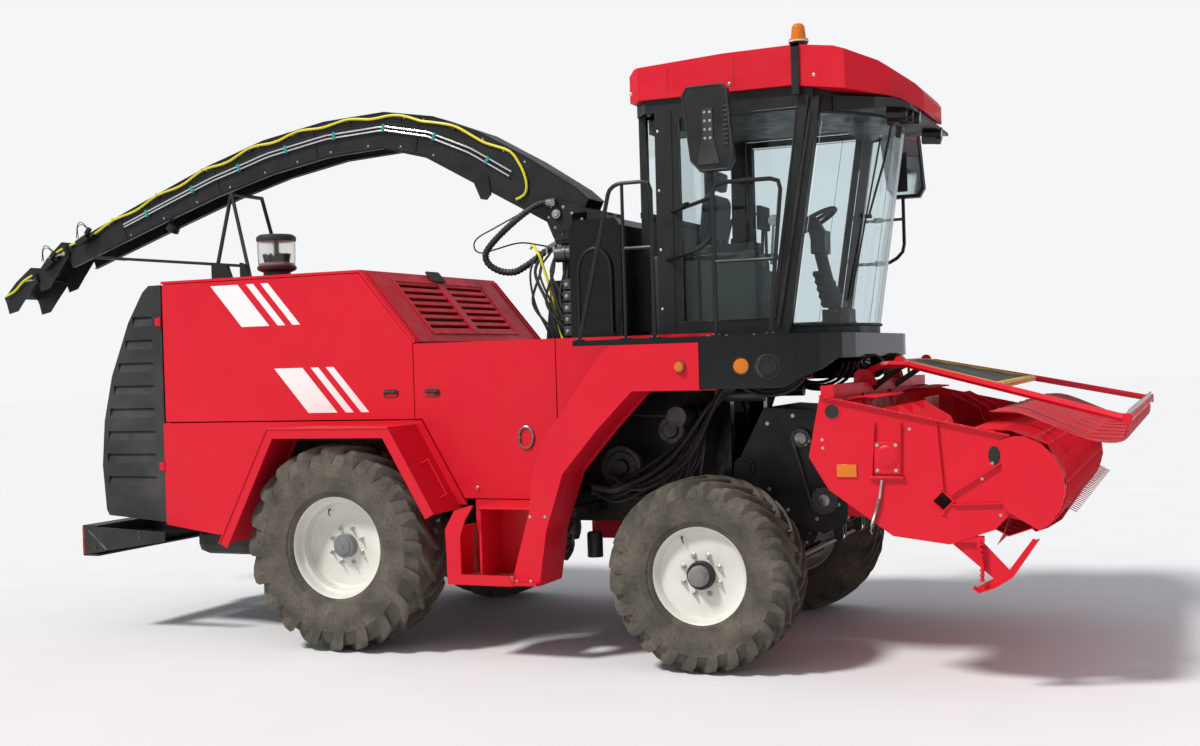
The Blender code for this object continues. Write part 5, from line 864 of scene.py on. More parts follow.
def spout_lamp():
    """Work lamp under the spout."""
    spot = on_spout(-5.20, 1.0, -0.10) + Vector((0.02, 0, -0.06))
    place = facing(spot, (-0.55, 0, -0.83))
    housing = Shape().turned([(0.020, -0.050), (0.052, -0.030), (0.058, 0.020), (0.054, 0.026),
                              (0.0, 0.026)],
                             place, 20)
    housing.bar([spot, spot + Vector((-0.01, 0, 0.07))], 0.010, 6)
    piece("spout_work_lamp", housing, BLACK, "spout_body")
    lens = Shape().turned([(0.050, 0.0), (0.048, 0.006), (0.0, 0.009)],
                          place @ Matrix.Translation((0, 0, 0.022)), 20)
    piece("spout_work_lamp_lens", lens, LENS, "spout_body")


def spout_fittings():
    """What the spout carries, and the rams of its two flaps."""
    spout_cables()
    spout_bolts()
    spout_pipes()
    spout_ribs()
    spout_lamp()
    flap_drive("inner", (-6.215, 3.090), (-5.93, 3.225), (-6.38, 3.060), "spout_body", "flap_inner")
    flap_drive("outer", (-6.560, 2.880), (-6.33, 3.045), (-6.70, 2.865), "flap_inner", "flap_outer")


def flap_drive(name, pin, motor, horn, body, flap):
    """Small electric ram beside the spout that tilts one flap, with its wires."""
    y = -0.205
    mx, mz = motor
    along = (Vector((pin[0], 0, pin[1])) - Vector((mx, 0, mz))).normalized()
    shape = Shape().rod((mx, y, mz), (mx + along.x * 0.13, y, mz + along.z * 0.13), 0.028, 16)
    shape.rod((mx - 0.01, y - 0.005, mz + 0.02), (mx + 0.03, y - 0.005, mz + 0.065), 0.022, 14)
    shape.box((mx - 0.02, mx + 0.05), (y - 0.002, -0.150), (mz - 0.012, mz + 0.012))
    piece("flap_motor_" + name, shape, BLACK, body, bevel=0.003)
    arm = Shape().rod((pin[0], y + 0.012, pin[1]), (horn[0], y + 0.012, horn[1]), 0.009, 10)
    arm.bolt(facing((pin[0], y + 0.010, pin[1]), (0, -1, 0)), 0.014)
    piece("flap_horn_" + name, arm, ZINC, flap)
    wires = Shape()
    for k in range(2):
        lift = 0.085 + 0.03 * k
        wires.bar(smooth_line([(mx + 0.02, y, mz + 0.05), (mx - 0.04, y - 0.02, mz + 0.05 + lift * 0.6),
                               (mx - 0.10, y - 0.01, mz + 0.02 + lift * 0.7),
                               (mx - 0.115 - 0.02 * k, y + 0.01, mz - 0.01)], 5), 0.004, 6)
    piece("flap_wires_" + name, wires, HOSE, body)


def spiral_hose(path, radius, pitch, name):
    """Hose with a raised helical guard."""
    line = smooth_line(path, 10)
    shape = Shape().bar(line, radius, 14)
    length = 0.0
    turns = []
    side = Vector((0, 1, 0))
    for a, b in zip(line, line[1:]):
        along = (b - a).normalized()
        side = (side - along * side.dot(along)).normalized()
        up = along.cross(side)
        step = (b - a).length
        for k in range(4):
            t = 2 * math.pi * (length + step * k / 4) / pitch
            turns.append(a.lerp(b, k / 4) + (side * math.cos(t) + up * math.sin(t)) * (radius + 0.001))
        length += step
    shape.bar(turns, 0.0040, 6)
    return piece(name, shape, HOSE, None)


def declare_hose(hose):
    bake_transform(hose)


def hose_loop():
    """Guarded hose loop from the turret to the tower, with the union at each end."""
    loop = [(-1.505, -0.205, 3.205), (-1.57, -0.225, 3.200), (-1.66, -0.255, 3.150), (-1.80, -0.285, 3.045),
            (-1.94, -0.295, 2.925), (-2.005, -0.290, 2.840), (-1.985, -0.270, 2.765),
            (-1.900, -0.250, 2.712), (-1.790, -0.250, 2.700), (-1.700, -0.262, 2.730),
            (-1.610, -0.250, 2.785), (-1.545, -0.212, 2.840), (-1.500, -0.170, 2.877)]
    hose = spiral_hose(loop, 0.0235, 0.030, "turret_hose_loop")
    declare_hose(hose)
    ends = Shape()
    out = (Vector(loop[0]) - Vector(loop[1])).normalized()
    ends.rod(Vector(loop[0]) - out * 0.02, Vector(loop[0]) + out * 0.05, 0.031, 14)
    ends.box((-1.50, -1.45), (-0.225, -0.174), (3.180, 3.230))
    piece("hose_loop_top_union", ends, SHAFT, "turret")
    out = (Vector(loop[-1]) - Vector(loop[-2])).normalized()
    foot = Shape().rod(Vector(loop[-1]) - out * 0.03, Vector(loop[-1]) + out * 0.028, 0.029, 14)
    piece("hose_loop_foot_union", foot, SHAFT)


def turret_bolts():
    """Bolts round the turntable, and on the turret's cheeks."""
    ring = Shape()
    for t in around(18):
        ring.bolt(Matrix.Translation((TURNTABLE_X + TURNTABLE_BOLTS * math.cos(t),
                                      TURNTABLE_BOLTS * math.sin(t), 2.960)), 0.009)
    for s in (-1, 1):
        ring.bolt(outward(-1.45, s * 0.196, 3.12, s), 0.026)
        for dx, dz in ((-0.07, -0.02), (-0.05, 0.06), (0.05, 0.05), (0.12, 0.0), (0.20, -0.05),
                       (0.30, -0.11), (-0.02, -0.10)):
            ring.bolt(outward(-1.45 + dx, s * 0.176, 3.12 + dz, s), 0.008)
    piece("turret_bolts", ring, ZINC, "turret")


def slewing_motor():
    """Ribbed motor that turns the spout, on its foot."""
    motor = Shape().rod((-1.36, -0.40, 2.800), (-0.98, -0.36, 2.800), 0.060, 18)
    for k in range(5):
        x = -1.30 + 0.065 * k
        motor.rod((x, -0.394 + 0.007 * k, 2.800), (x + 0.018, -0.392 + 0.007 * k, 2.800), 0.067, 18)
    motor.box((-1.30, -1.20), (-0.40, -0.20), (2.76, 2.84))
    motor.rod((-1.02, -0.365, 2.80), (-0.97, -0.36, 2.80), 0.045, 14)
    piece("slewing_motor", motor, STEEL)


def tower_valves():
    """Stack of valves on the tower's side, and their plugs."""
    valve_block = Shape()
    for k in range(VALVES):
        z = 2.20 + VALVE_PITCH * k
        valve_block.box((-1.30, -1.10), (-0.45, -0.345), (z, z + 0.070))
        valve_block.rod((-1.10, -0.40, z + 0.035), (-1.02, -0.40, z + 0.035), 0.020, 12)
        valve_block.rod((-1.34, -0.40, z + 0.035), (-1.30, -0.40, z + 0.035), 0.013, 8)
    valve_block.box((-1.26, -1.14), (-0.36, -0.205), (2.28, 2.60))
    piece("valve_block", valve_block, STEEL, bevel=0.004)
    knobs = Shape()
    for k in range(VALVES):
        for x in (-1.27, -1.20, -1.13):
            knobs.bolt(facing((x, -0.450, 2.235 + VALVE_PITCH * k), (0, -1, 0)), 0.011)
    piece("valve_plugs", knobs, ZINC)


def tower_hoses():
    """Yellow cable and the hoses down the tower."""
    yellow = [(-1.62, -0.30, 2.865), (-1.58, -0.335, 2.880), (-1.52, -0.36, 2.80), (-1.47, -0.37, 2.66),
              (-1.42, -0.38, 2.50), (-1.38, -0.40, 2.35), (-1.33, -0.42, 2.20), (-1.32, -0.42, 2.16)]
    piece("tower_yellow_cable", Shape().bar(smooth_line(yellow, 6), 0.010, 10), CABLE)
    runs = Shape()
    for k in range(9):
        x = -1.50 + 0.035 * k
        bow = 0.05 * math.sin(k * 1.9)
        runs.bar(smooth_line([(x - 0.05, -0.30 - 0.02 * (k % 3), 2.84), (x - 0.09 + bow, -0.38, 2.68),
                              (x - 0.04 - bow, -0.42 - 0.01 * (k % 2), 2.45), (x + 0.06, -0.43, 2.25),
                              (x + 0.08, -0.40, 2.155)], 6), 0.0085 + 0.002 * (k % 3), 8)
    for k in range(VALVES):
        z = 2.235 + VALVE_PITCH * k
        runs.bar(smooth_line([(-1.03, -0.40, z), (-0.985, -0.42, z - 0.02), (-0.955, -0.43, z - 0.12),
                              (-0.96 - 0.01 * k, -0.41, 2.155)], 6), 0.009, 8)
    piece("tower_hoses", runs, HOSE)


def thin_hose():
    """Thin hose that loops beside the guarded one."""
    thin = [(-1.50, -0.185, 3.215), (-1.62, -0.21, 3.185), (-1.80, -0.24, 3.105), (-1.97, -0.255, 3.028),
            (-2.065, -0.262, 2.984), (-2.112, -0.265, 2.936), (-2.100, -0.265, 2.878),
            (-2.040, -0.260, 2.858), (-1.94, -0.245, 2.880), (-1.76, -0.205, 2.920), (-1.62, -0.150, 2.900),
            (-1.535, -0.095, 2.878)]
    wire = piece("turret_thin_hose", Shape().bar(smooth_line(thin, 10), 0.006, 8), HOSE, None)
    declare_hose(wire)


def hose_collars():
    collars = Shape()
    for k in range(7):
        x = -1.47 + 0.06 * k
        collars.rod((x, -0.335, 2.815), (x, -0.335, 2.865), 0.014, 10)
    piece("hose_collars", collars, ZINC)


def turret_fittings():
    """What the turret and the tower under it carry."""
    hose_loop()
    turret_bolts()
    slewing_motor()
    tower_valves()
    tower_hoses()
    thin_hose()
    hose_collars()


# Cab
def lamp(name, place, radius, depth, glass):
    """Round lamp with its bezel ring, bowl, bulb and lens; local Z points out of it."""
    ring = Shape().turned([(radius, -depth), (radius, 0.006), (radius * 0.94, 0.012),
                           (radius * 0.86, 0.006), (radius * 0.86, -depth)],
                          place, 32, closed=True)
    piece(name + "_bezel", ring, GASKET)
    bowl = Shape().turned([(radius * 0.85, 0.0), (radius * 0.60, -depth * 0.55),
                           (radius * 0.20, -depth * 0.8), (radius * 0.20, -depth * 0.84),
                           (radius * 0.62, -depth * 0.60), (radius * 0.86, -0.002)], place, 32, closed=True)
    bowl.turned([(radius * 0.10, -depth * 0.8), (radius * 0.10, -depth * 0.25),
                 (radius * 0.04, -depth * 0.15)], place, 12)
    piece(name + "_bowl", bowl, SILVER)
    lens = Shape().turned([(radius * 0.86, 0.0), (radius * 0.80, 0.006), (radius * 0.45, 0.011),
                           (0.0, 0.013), (0.0, 0.010), (radius * 0.45, 0.008), (radius * 0.80, 0.003)],
                           place, 32, closed=True)
    piece(name + "_lens", lens, glass)


def fascia_lamps():
    for name, side in SIDES:
        lamp("indicator_" + name, facing((0.337, side * 1.400, 1.957), (0.10, side, -0.05)), 0.060, 0.030,
             AMBER)
        lamp("headlamp_" + name, facing((0.505, side * 1.392, 1.947), (0.34, side, -0.05)), 0.080, 0.050,
             LENS)
        side_lamp = outward(-0.067, side * 1.400, 1.961, side)
        base = Shape().turned([(0.038, 0.0), (0.038, 0.008), (0.034, 0.010)], side_lamp, 24)
        piece("side_lamp_base_" + name, base, GASKET)
        lens = Shape().turned([(0.034, 0.006), (0.034, 0.022), (0.026, 0.034), (0.0, 0.038)], side_lamp, 24)
        piece("side_lamp_lens_" + name, lens, AMBER)
        for i in range(3):
            x = 1.245 - 0.022 * i
            spot = facing((x + 0.057, side * (0.41 + 0.105 * i), 3.5548), (1, 0, -0.08))
            front = Shape().turned([(0.046, -0.03), (0.046, 0.003), (0.040, 0.004), (0.038, -0.002),
                                    (0.0, -0.003)], spot, 24)
            piece("work_lamp_%d_%s" % (i, name), front, BLACK)
            glass = Shape().turned([(0.039, 0.0), (0.037, 0.004), (0.0, 0.006)], spot, 24)
            piece("work_lamp_lens_%d_%s" % (i, name), glass, LENS)


def beacon():
    place = Matrix.Translation((0.60, -0.79, 0))
    dome = Shape().turned([(0.0, 4.1755), (0.026, 4.174), (0.038, 4.162), (0.0425, 4.150), (0.0500, 4.076),
                           (0.0500, 4.070), (0.0, 4.070)], place, 32)
    piece("beacon_dome", dome, AMBER)
    collar = Shape().turned([(0.0, 4.078), (0.0555, 4.078), (0.0645, 4.072), (0.0660, 4.062), (0.0, 4.062)],
                            place, 32)
    piece("beacon_collar", collar, AMBER)
    ring = Shape().turned([(0.0, 4.063), (0.0665, 4.063), (0.0665, 4.054), (0.0, 4.054)], place, 32)
    piece("beacon_ring", ring, KNOB)
    foot = Shape().turned([(0.0, 4.055), (0.0620, 4.055), (0.0600, 4.044), (0.0520, 4.028), (0.0520, 3.985),
                           (0.0, 3.985)], place, 32)
    foot.box((0.575, 0.625), (-0.902, -0.80), (4.010, 4.030))
    foot.box((0.575, 0.625), (-0.902, -0.888), (3.70, 4.030))
    piece("beacon_bracket", foot, BLACK)


def roof_trim():
    """Moulding seams and screws on the roof's sides."""
    seams = Shape()
    for side in (-1, 1):
        for x in (-0.282, 0.183):
            seams.box((x - 0.0015, x + 0.0015), across(side, 0.880, 0.8862), (3.790, 3.975))
    piece("roof_seams", seams, GASKET)
    screws = Shape()
    for side in (-1, 1):
        for x in (-0.55, 0.15, 0.72):
            screws.turned([(0.011, 0.0), (0.011, 0.002), (0.006, 0.004), (0.0, 0.004)],
                          outward(x, side * 0.885, 3.815, side), 16)
    piece("roof_screws", screws, ZINC)


def cab_fittings():
    """Gaskets, pillar screws, the wiper, and the mirrors' faces and clamps."""
    screws = Shape()
    for side in (-1, 1):
        for z in (2.35, 2.75, 3.15, 3.55):
            screws.turned([(0.009, 0.0), (0.009, 0.002), (0.005, 0.004), (0.0, 0.004)],
                          outward(-0.375, side * 0.860, z, side), 14)
    piece("pillar_screws", screws, ZINC)
    for name, side in SIDES:
        low, high = 2.212, 3.592
        line = [(0.436 + 0.24 * t, side * (0.867 - 0.030 * t), low + (high - low) * t)
                for t in (0.0, 0.5, 1.0)]
        piece("windscreen_seal_" + name, Shape().bar(line, 0.012, 8), GASKET)
    sill = Shape()
    foot = bow(0.800, 0.515, 0.902)
    sill.bar([(x, y, 2.2095) for x, y in foot], 0.010, 8)
    head = bow(0.772, 0.735, 1.112)
    sill.bar([(x, y, 3.592) for x, y in head], 0.010, 8)
    piece("windscreen_edge_seals", sill, GASKET)
    wiper()
    for name, side, shift, root in (("right", -1, 0.0, -0.345), ("left", 1, 0.74, 0.575)):
        mirror(name, side, shift, root)


def bow(half, side_x, front_x, steps=14):
    """Shallow arc in plan from one side of the windscreen to the other."""
    rise = front_x - side_x
    radius = (half * half + rise * rise) / (2 * rise)
    centre = front_x - radius
    limit = math.asin(half / radius)
    return [(centre + radius * math.cos(t), radius * math.sin(t))
            for t in spaced(-limit, 2 * limit, steps)]


def wiper():
    """Wiper arm and blade that hang from the visor down the windscreen's right part."""
    def glass(y, t):
        low = bow(0.785, 0.515, 0.894)
        high = bow(0.758, 0.742, 1.107)
        def at(line):
            for (x1, y1), (x2, y2) in zip(line, line[1:]):
                if y1 <= y <= y2:
                    return x1 + (x2 - x1) * (y - y1) / (y2 - y1)
            return line[0][0]
        return Vector((at(low) + (at(high) - at(low)) * t + 0.014, y, 2.207 + 1.385 * t))
    arm = [glass(-0.30, 0.97) + Vector((0.03, 0, 0)), glass(-0.34, 0.80) + Vector((0.035, 0, 0)),
           glass(-0.40, 0.52) + Vector((0.012, 0, 0))]
    shape = Shape().bar(arm, 0.008, 8)
    shape.bar([glass(-0.36, 0.90), glass(-0.385, 0.70), glass(-0.41, 0.50), glass(-0.435, 0.30),
               glass(-0.46, 0.12)], 0.007, 6)
    shape.rod(glass(-0.30, 0.975), glass(-0.30, 0.975) + Vector((0.045, 0, 0)), 0.024, 14)
    shape.box((-0.02, 0.02), (-0.012, 0.012), (-0.012, 0.03), facing(glass(-0.40, 0.52), (1, 0, 0)))
    piece("windscreen_wiper", shape, GASKET)


def mirror(name, side, shift, root):
    """Mirror rim, its inner face, the ribbed back panel, the clamp and the two arm joints."""
    outline = [(-0.05, 3.70), (-0.02, 3.75), (0.22, 3.75), (0.25, 3.72), (0.285, 3.26), (0.25, 3.20),
               (0.06, 3.20), (0.00, 3.27)]
    centre = Vector((0.115, 0, 3.475))
    def ring(scale):
        return [(centre.x + (x - centre.x) * scale + shift, centre.z + (z - centre.z) * scale)
                for x, z in outline]
    out = side * 1.2705
    rim = Shape().bar([(x, out - side * 0.004, z) for x, z in ring(0.975)], 0.0085, 8, loop=True)
    piece("mirror_rim_" + name, rim, GASKET)
    glass = Shape().plate(ring(0.90), "y", *across(side, 1.2095, 1.2060))
    piece("mirror_glass_" + name, glass, MIRROR)
    x = 0.12 + shift
    back = Shape()
    y = sorted((out - side * 0.002, out + side * 0.0060))
    back.plate([(x - 0.075, 3.245), (x + 0.075, 3.245), (x + 0.035, 3.42), (x + 0.035, 3.60),
                (x - 0.035, 3.60), (x - 0.035, 3.42)], "y", *y)
    for k in range(9):
        back.box((x + 0.105, x + 0.135), y, (3.36 + 0.030 * k, 3.372 + 0.030 * k))
    piece("mirror_back_" + name, back, GASKET)
    bolts = Shape()
    for dz in (0.0, 0.055, 0.11, 0.165):
        for dx in (-0.018, 0.018):
            bolts.bolt(outward(x + dx, out + side * 0.006, 3.41 + dz, side), 0.007)
    piece("mirror_bolts_" + name, bolts, ZINC)
    joints = Shape()
    for z, part in ((2.69, 0.45), (3.02, 0.45)):
        x0 = root + (x - root) * part
        y0 = side * (0.835 + (1.22 - 0.835) * part)
        joints.rod((x0 - 0.02, y0 - side * 0.02, z), (x0 + 0.02, y0 + side * 0.02, z + 0.003), 0.021, 12)
    piece("mirror_joints_" + name, joints, BLACK)


def door_fittings():
    """Window seals, handle and lock on the left door, and the seal of the fixed pane."""
    outline = [(-0.222, 2.260), (0.410, 2.260), (0.592, 3.620), (-0.222, 3.620)]
    for name, side, body in (("right", -1, "chassis"), ("left", 1, "left_door")):
        line = [(x, side * 0.857, z) for x, z in outline]
        seal = Shape().bar(line, 0.006, 6, loop=True)
        piece("window_seal_" + name, seal, GASKET, body)
    handle = Shape().box((0.490, 0.535), (0.853, 0.862), (2.70, 2.96))
    handle.bar(smooth_line([(0.512, 0.862, 2.735), (0.512, 0.890, 2.76), (0.512, 0.893, 2.84),
                            (0.512, 0.890, 2.90), (0.512, 0.862, 2.925)], 4), 0.010, 10)
    handle.rod((0.512, 0.860, 2.715), (0.512, 0.870, 2.715), 0.010, 12)
    piece("door_handle", handle, GASKET, "left_door", bevel=0.002)


# Cab interior
def pad(name, x, y, z, place):
    """Cushion: a soft block swelled by a short cloth simulation, then smoothed."""
    mesh = bpy.data.meshes.new(name)
    bm = bmesh.new()
    bmesh.ops.create_cube(bm, size=1.0)
    size = Vector((x[1] - x[0], y[1] - y[0], z[1] - z[0]))
    middle = Vector(((x[0] + x[1]) / 2, (y[0] + y[1]) / 2, (z[0] + z[1]) / 2))
    bmesh.ops.bevel(bm, geom=bm.edges, offset=0.18, segments=3, affect="EDGES", profile=0.6)
    bm.transform(Matrix.Translation(middle) @ Matrix.Diagonal((*size, 1.0)))
    bm.to_mesh(mesh)
    bm.free()
    obj = bpy.data.objects.new(name, mesh)
    bpy.context.scene.collection.objects.link(obj)
    bpy.context.view_layer.objects.active = obj
    remesh = obj.modifiers.new("Remesh", "REMESH")
    remesh.mode = "VOXEL"
    remesh.voxel_size = PAD_VOXEL
    apply_modifiers(obj)
    rest = [v.co.copy() for v in obj.data.vertices]
    cloth = obj.modifiers.new("Cloth", "CLOTH")
    cloth.settings.use_pressure = True
    cloth.settings.uniform_pressure_force = PAD_PRESSURE
    cloth.settings.effector_weights.gravity = 0.0
    for number in range(1, PAD_FRAMES + 1):
        bpy.context.scene.frame_set(number)
    apply_modifiers(obj)
    bpy.context.scene.frame_set(1)
    for vertex, start in zip(obj.data.vertices, rest):
        move = vertex.co - start
        if move.length > PAD_SWELL:
            vertex.co = start + move * (PAD_SWELL / move.length)
    groove(obj, middle, size)
    obj.data.transform(Matrix.Translation((AXLE_X, 0, 0)) @ place)
    obj.data.materials.clear()
    obj.data.materials.append(CLOTH)
    obj.data.shade_smooth()
    subdivision = obj.modifiers.new("Subdivision", "SUBSURF")
    subdivision.levels = 1
    subdivision.render_levels = 1
    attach(obj, "chassis")


def groove(obj, middle, size):
    """Sewn channels pressed into the pad's face."""
    for vertex in obj.data.vertices:
        local = vertex.co - middle
        for offset in (-0.24, 0.24):
            gap = abs(local.y - offset * size.y)
            if gap < 0.012 and local.z > 0:
                vertex.co.z -= 0.007 * (1 - gap / 0.012)


def apply_modifiers(obj):
    graph = bpy.context.evaluated_depsgraph_get()
    mesh = bpy.data.meshes.new_from_object(obj.evaluated_get(graph))
    obj.modifiers.clear()
    obj.data = mesh


def seat():
    """Suspension seat with bellows, cushions, arm console, levers and the display."""
    base = Shape()
    folds = []
    for i in range(9):
        grow = 0.018 if i % 2 else 0.0
        z = 2.225 + 0.028 * i
        folds.append([(px * (0.17 + grow) - 0.10, py * (0.17 + grow), z)
                      for px, py in ((-1, -1), (1, -1), (1, 1), (-1, 1))])
    base.grid(folds)
    base.box((-0.34, 0.12), (-0.22, 0.22), (2.455, 2.500))
    bellows = piece("seat_bellows", base, GASKET, bevel=0.004)
    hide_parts("driver_seat")
    pad("seat_cushion", (-0.32, 0.145), (-0.235, 0.235), (2.515, 2.620), Matrix.Identity(4))
    lean = Matrix.Translation((-0.315, 0, 2.62)) @ Matrix.Rotation(math.radians(-84), 4, "Y")
    pad("seat_back", (0.0, 0.58), (-0.225, 0.225), (-0.055, 0.035), lean)
    pad("seat_headrest", (0.60, 0.74), (-0.125, 0.125), (-0.045, 0.020), lean)
    trim = Shape().box((-0.25, 0.19), (-0.495, -0.325), (2.700, 2.795))
    trim.box((-0.27, -0.20), (-0.33, -0.19), (2.60, 2.74))
    trim.box((-0.21, 0.11), (0.265, 0.325), (2.715, 2.765))
    trim.box((-0.27, -0.21), (0.20, 0.32), (2.60, 2.75))
    piece("arm_console", trim, SHELL, bevel=0.012)
    lever = Shape().rod((0.10, -0.42, 2.78), (0.125, -0.42, 2.90), 0.011, 10)
    lever.turned([(0.018, 0.0), (0.026, 0.03), (0.028, 0.07), (0.020, 0.10), (0.0, 0.105)],
                 facing((0.122, -0.42, 2.87), (0.15, 0, 1)), 16)
    for k in range(4):
        lever.rod((-0.12 + 0.05 * k, -0.40, 2.79), (-0.12 + 0.05 * k, -0.40, 2.835), 0.007, 8)
    piece("drive_lever", lever, GASKET)
    panel = Shape().box((-0.47, 0.30), (-0.765, -0.56), (2.20, 2.66))
    panel.box((-0.50, 0.28), (-0.765, -0.60), (2.62, 2.72))
    piece("side_console", panel, SHELL, bevel=0.020)
    screen = Shape().box((0.26, 0.29), (-0.72, -0.50), (2.86, 3.02))
    screen.rod((0.275, -0.66, 2.70), (0.275, -0.62, 2.88), 0.012, 8)
    piece("cab_display", screen, GASKET, bevel=0.008)
    stop = Shape().rod((0.36, -0.74, 2.62), (0.385, -0.75, 2.88), 0.009, 10)
    piece("hand_lever", stop, SHAFT)
    knob = Shape().turned([(0.0, -0.016), (0.034, -0.014), (0.038, 0.0), (0.034, 0.014), (0.020, 0.018),
                           (0.0, 0.018)],
                          facing((0.387, -0.752, 2.91), (0, -1, 0)), 24)
    piece("hand_lever_knob", knob, KNOB)
    lining()


def lining():
    """Headliner, floor mat, the steering column's bellows and pod, the steering wheel and the pedals."""
    roof = Shape().box((-0.50, 0.62), (-0.60, 0.60), (3.655, 3.672))
    roof.box((-0.50, -0.10), (-0.70, -0.40), (3.56, 3.66))
    piece("headliner", roof, SHELL, bevel=0.012)
    mat = Shape().box((-0.50, 0.52), (-0.72, 0.72), (2.2060, 2.2135))
    piece("floor_mat", mat, MAT, bevel=0.002)
    boot = Shape()
    rings = []
    for i in range(11):
        r = 0.085 - 0.003 * i + (0.012 if i % 2 else 0.0)
        spot = Vector((0.600 - 0.0095 * i, 0, 2.34 + 0.026 * i))
        rings.append([spot + Vector((r * math.cos(t), r * math.sin(t), 0)) for t in around(20)])
    boot.grid(rings)
    piece("column_bellows", boot, GASKET)
    pod = Shape().box((0.455, 0.560), (-0.085, 0.085), (2.72, 2.885))
    pod.box((0.50, 0.53), (-0.16, 0.16), (2.80, 2.815))
    piece("column_pod", pod, SHELL, bevel=0.018)
    tilt = Matrix.Translation((0.45, 0, 2.95)) @ Matrix.Rotation(math.radians(-28), 4, "Y")
    wheel = Shape().bar([tilt @ p for p in circle((0, 0, 0), 0.185, "z", 40)], 0.0155, 10, loop=True)
    for k in range(3):
        t = 2 * math.pi * k / 3 + math.pi / 6
        wheel.bar([tilt @ Vector((0.03 * math.cos(t), 0.03 * math.sin(t), 0.004)),
                   tilt @ Vector((0.18 * math.cos(t), 0.18 * math.sin(t), 0.002))], 0.012, 8)
    wheel.turned([(0.045, -0.02), (0.052, 0.0), (0.045, 0.018), (0.0, 0.022)], tilt, 24)
    piece("steering_wheel", wheel, GASKET)
    knob = Shape().turned([(0.010, 0.0), (0.022, 0.02), (0.024, 0.035), (0.012, 0.05), (0.0, 0.052)],
                          tilt @ Matrix.Translation((-0.13, -0.13, 0.012)), 16)
    piece("steering_knob", knob, GASKET)
    pedals = Shape()
    for y in (-0.22, -0.12, 0.20):
        pedals.box((0.60, 0.66), (y - 0.035, y + 0.035), (2.30, 2.315))
        pedals.rod((0.66, y, 2.305), (0.70, y, 2.22), 0.008, 8)
    piece("pedals", pedals, GASKET, bevel=0.003)


# Platform and rails
def platform_fittings():
    """Screws along the fascia, the cabinet's door frame and the clamps of the grab rails."""
    screws = Shape()
    for side in (-1, 1):
        for x in (0.12, 0.24, 0.42):
            screws.turned([(0.010, 0.0), (0.010, 0.002), (0.006, 0.005), (0.0, 0.005)],
                          Matrix.Translation((x, side * 1.375, 2.150)), 14)
        for x in (-0.80, -0.47, -0.27):
            for dx in (-0.019, 0.019):
                screws.bolt(Matrix.Translation((x + dx, side * 1.30, 2.1585)), 0.006)
    for x in (0.15, 0.50):
        for dx in (-0.019, 0.019):
            screws.bolt(Matrix.Translation((x + dx, -1.30, 2.1585)), 0.006)
    piece("deck_screws", screws, ZINC)
    arch = [(-0.93, -0.998, 2.20)] + [(-0.81 + 0.12 * math.cos(t), -0.998, 2.62 + 0.16 * math.sin(t))
                                      for t in spaced(math.pi, -math.pi, 12)] + [(-0.69, -0.998, 2.20)]
    frame_bar = Shape().bar(arch, 0.010, 8)
    piece("cabinet_arch", frame_bar, BLACK)
    lips = Shape()
    for side in (-1, 1):
        lips.bar([(0.07, side * 1.4015, 2.118), (0.50, side * 1.4015, 2.118)], 0.003, 6)
    piece("fascia_lip", lips, GLOSS)


# Running gear under the body
def pulley(shape, x, y, z, radius, width=0.06):
    shape.turned([(0.03, -width / 2), (radius - 0.03, -width / 2), (radius, -width / 2),
                  (radius - 0.012, -width / 4), (radius - 0.012, width / 4), (radius, width / 2),
                  (radius - 0.03, width / 2), (radius - 0.045, width / 5), (0.06, width / 5),
                  (0.05, width / 2 + 0.02), (0.0, width / 2 + 0.02)], facing((x, y, z), (0, -1, 0)), 40)


def belt(points, y, width, thickness):
    """Flat belt round pulleys given as (x, z, radius), in order, each passed on its outside."""
    outline = []
    count = len(points)
    for i, (x, z, r) in enumerate(points):
        before = points[i - 1]
        after = points[(i + 1) % count]
        enter = math.atan2(z - before[1], x - before[0]) - math.pi / 2
        leave = math.atan2(after[1] - z, after[0] - x) - math.pi / 2
        while leave < enter:
            leave += 2 * math.pi
        for k in range(9):
            t = enter + (leave - enter) * k / 8
            outline.append((x, z, r, t))
    shape = Shape()
    rings = []
    for x, z, r, t in outline + outline[:1]:
        rings.append([(x + (r + a) * math.cos(t), y + b, z + (r + a) * math.sin(t))
                      for a, b in ((0, -width / 2), (thickness, -width / 2), (thickness, width / 2),
                                   (0, width / 2))])
    shape.grid(rings, caps=False)
    bmesh.ops.remove_doubles(shape.bm, verts=shape.bm.verts, dist=0.00001)
    return shape


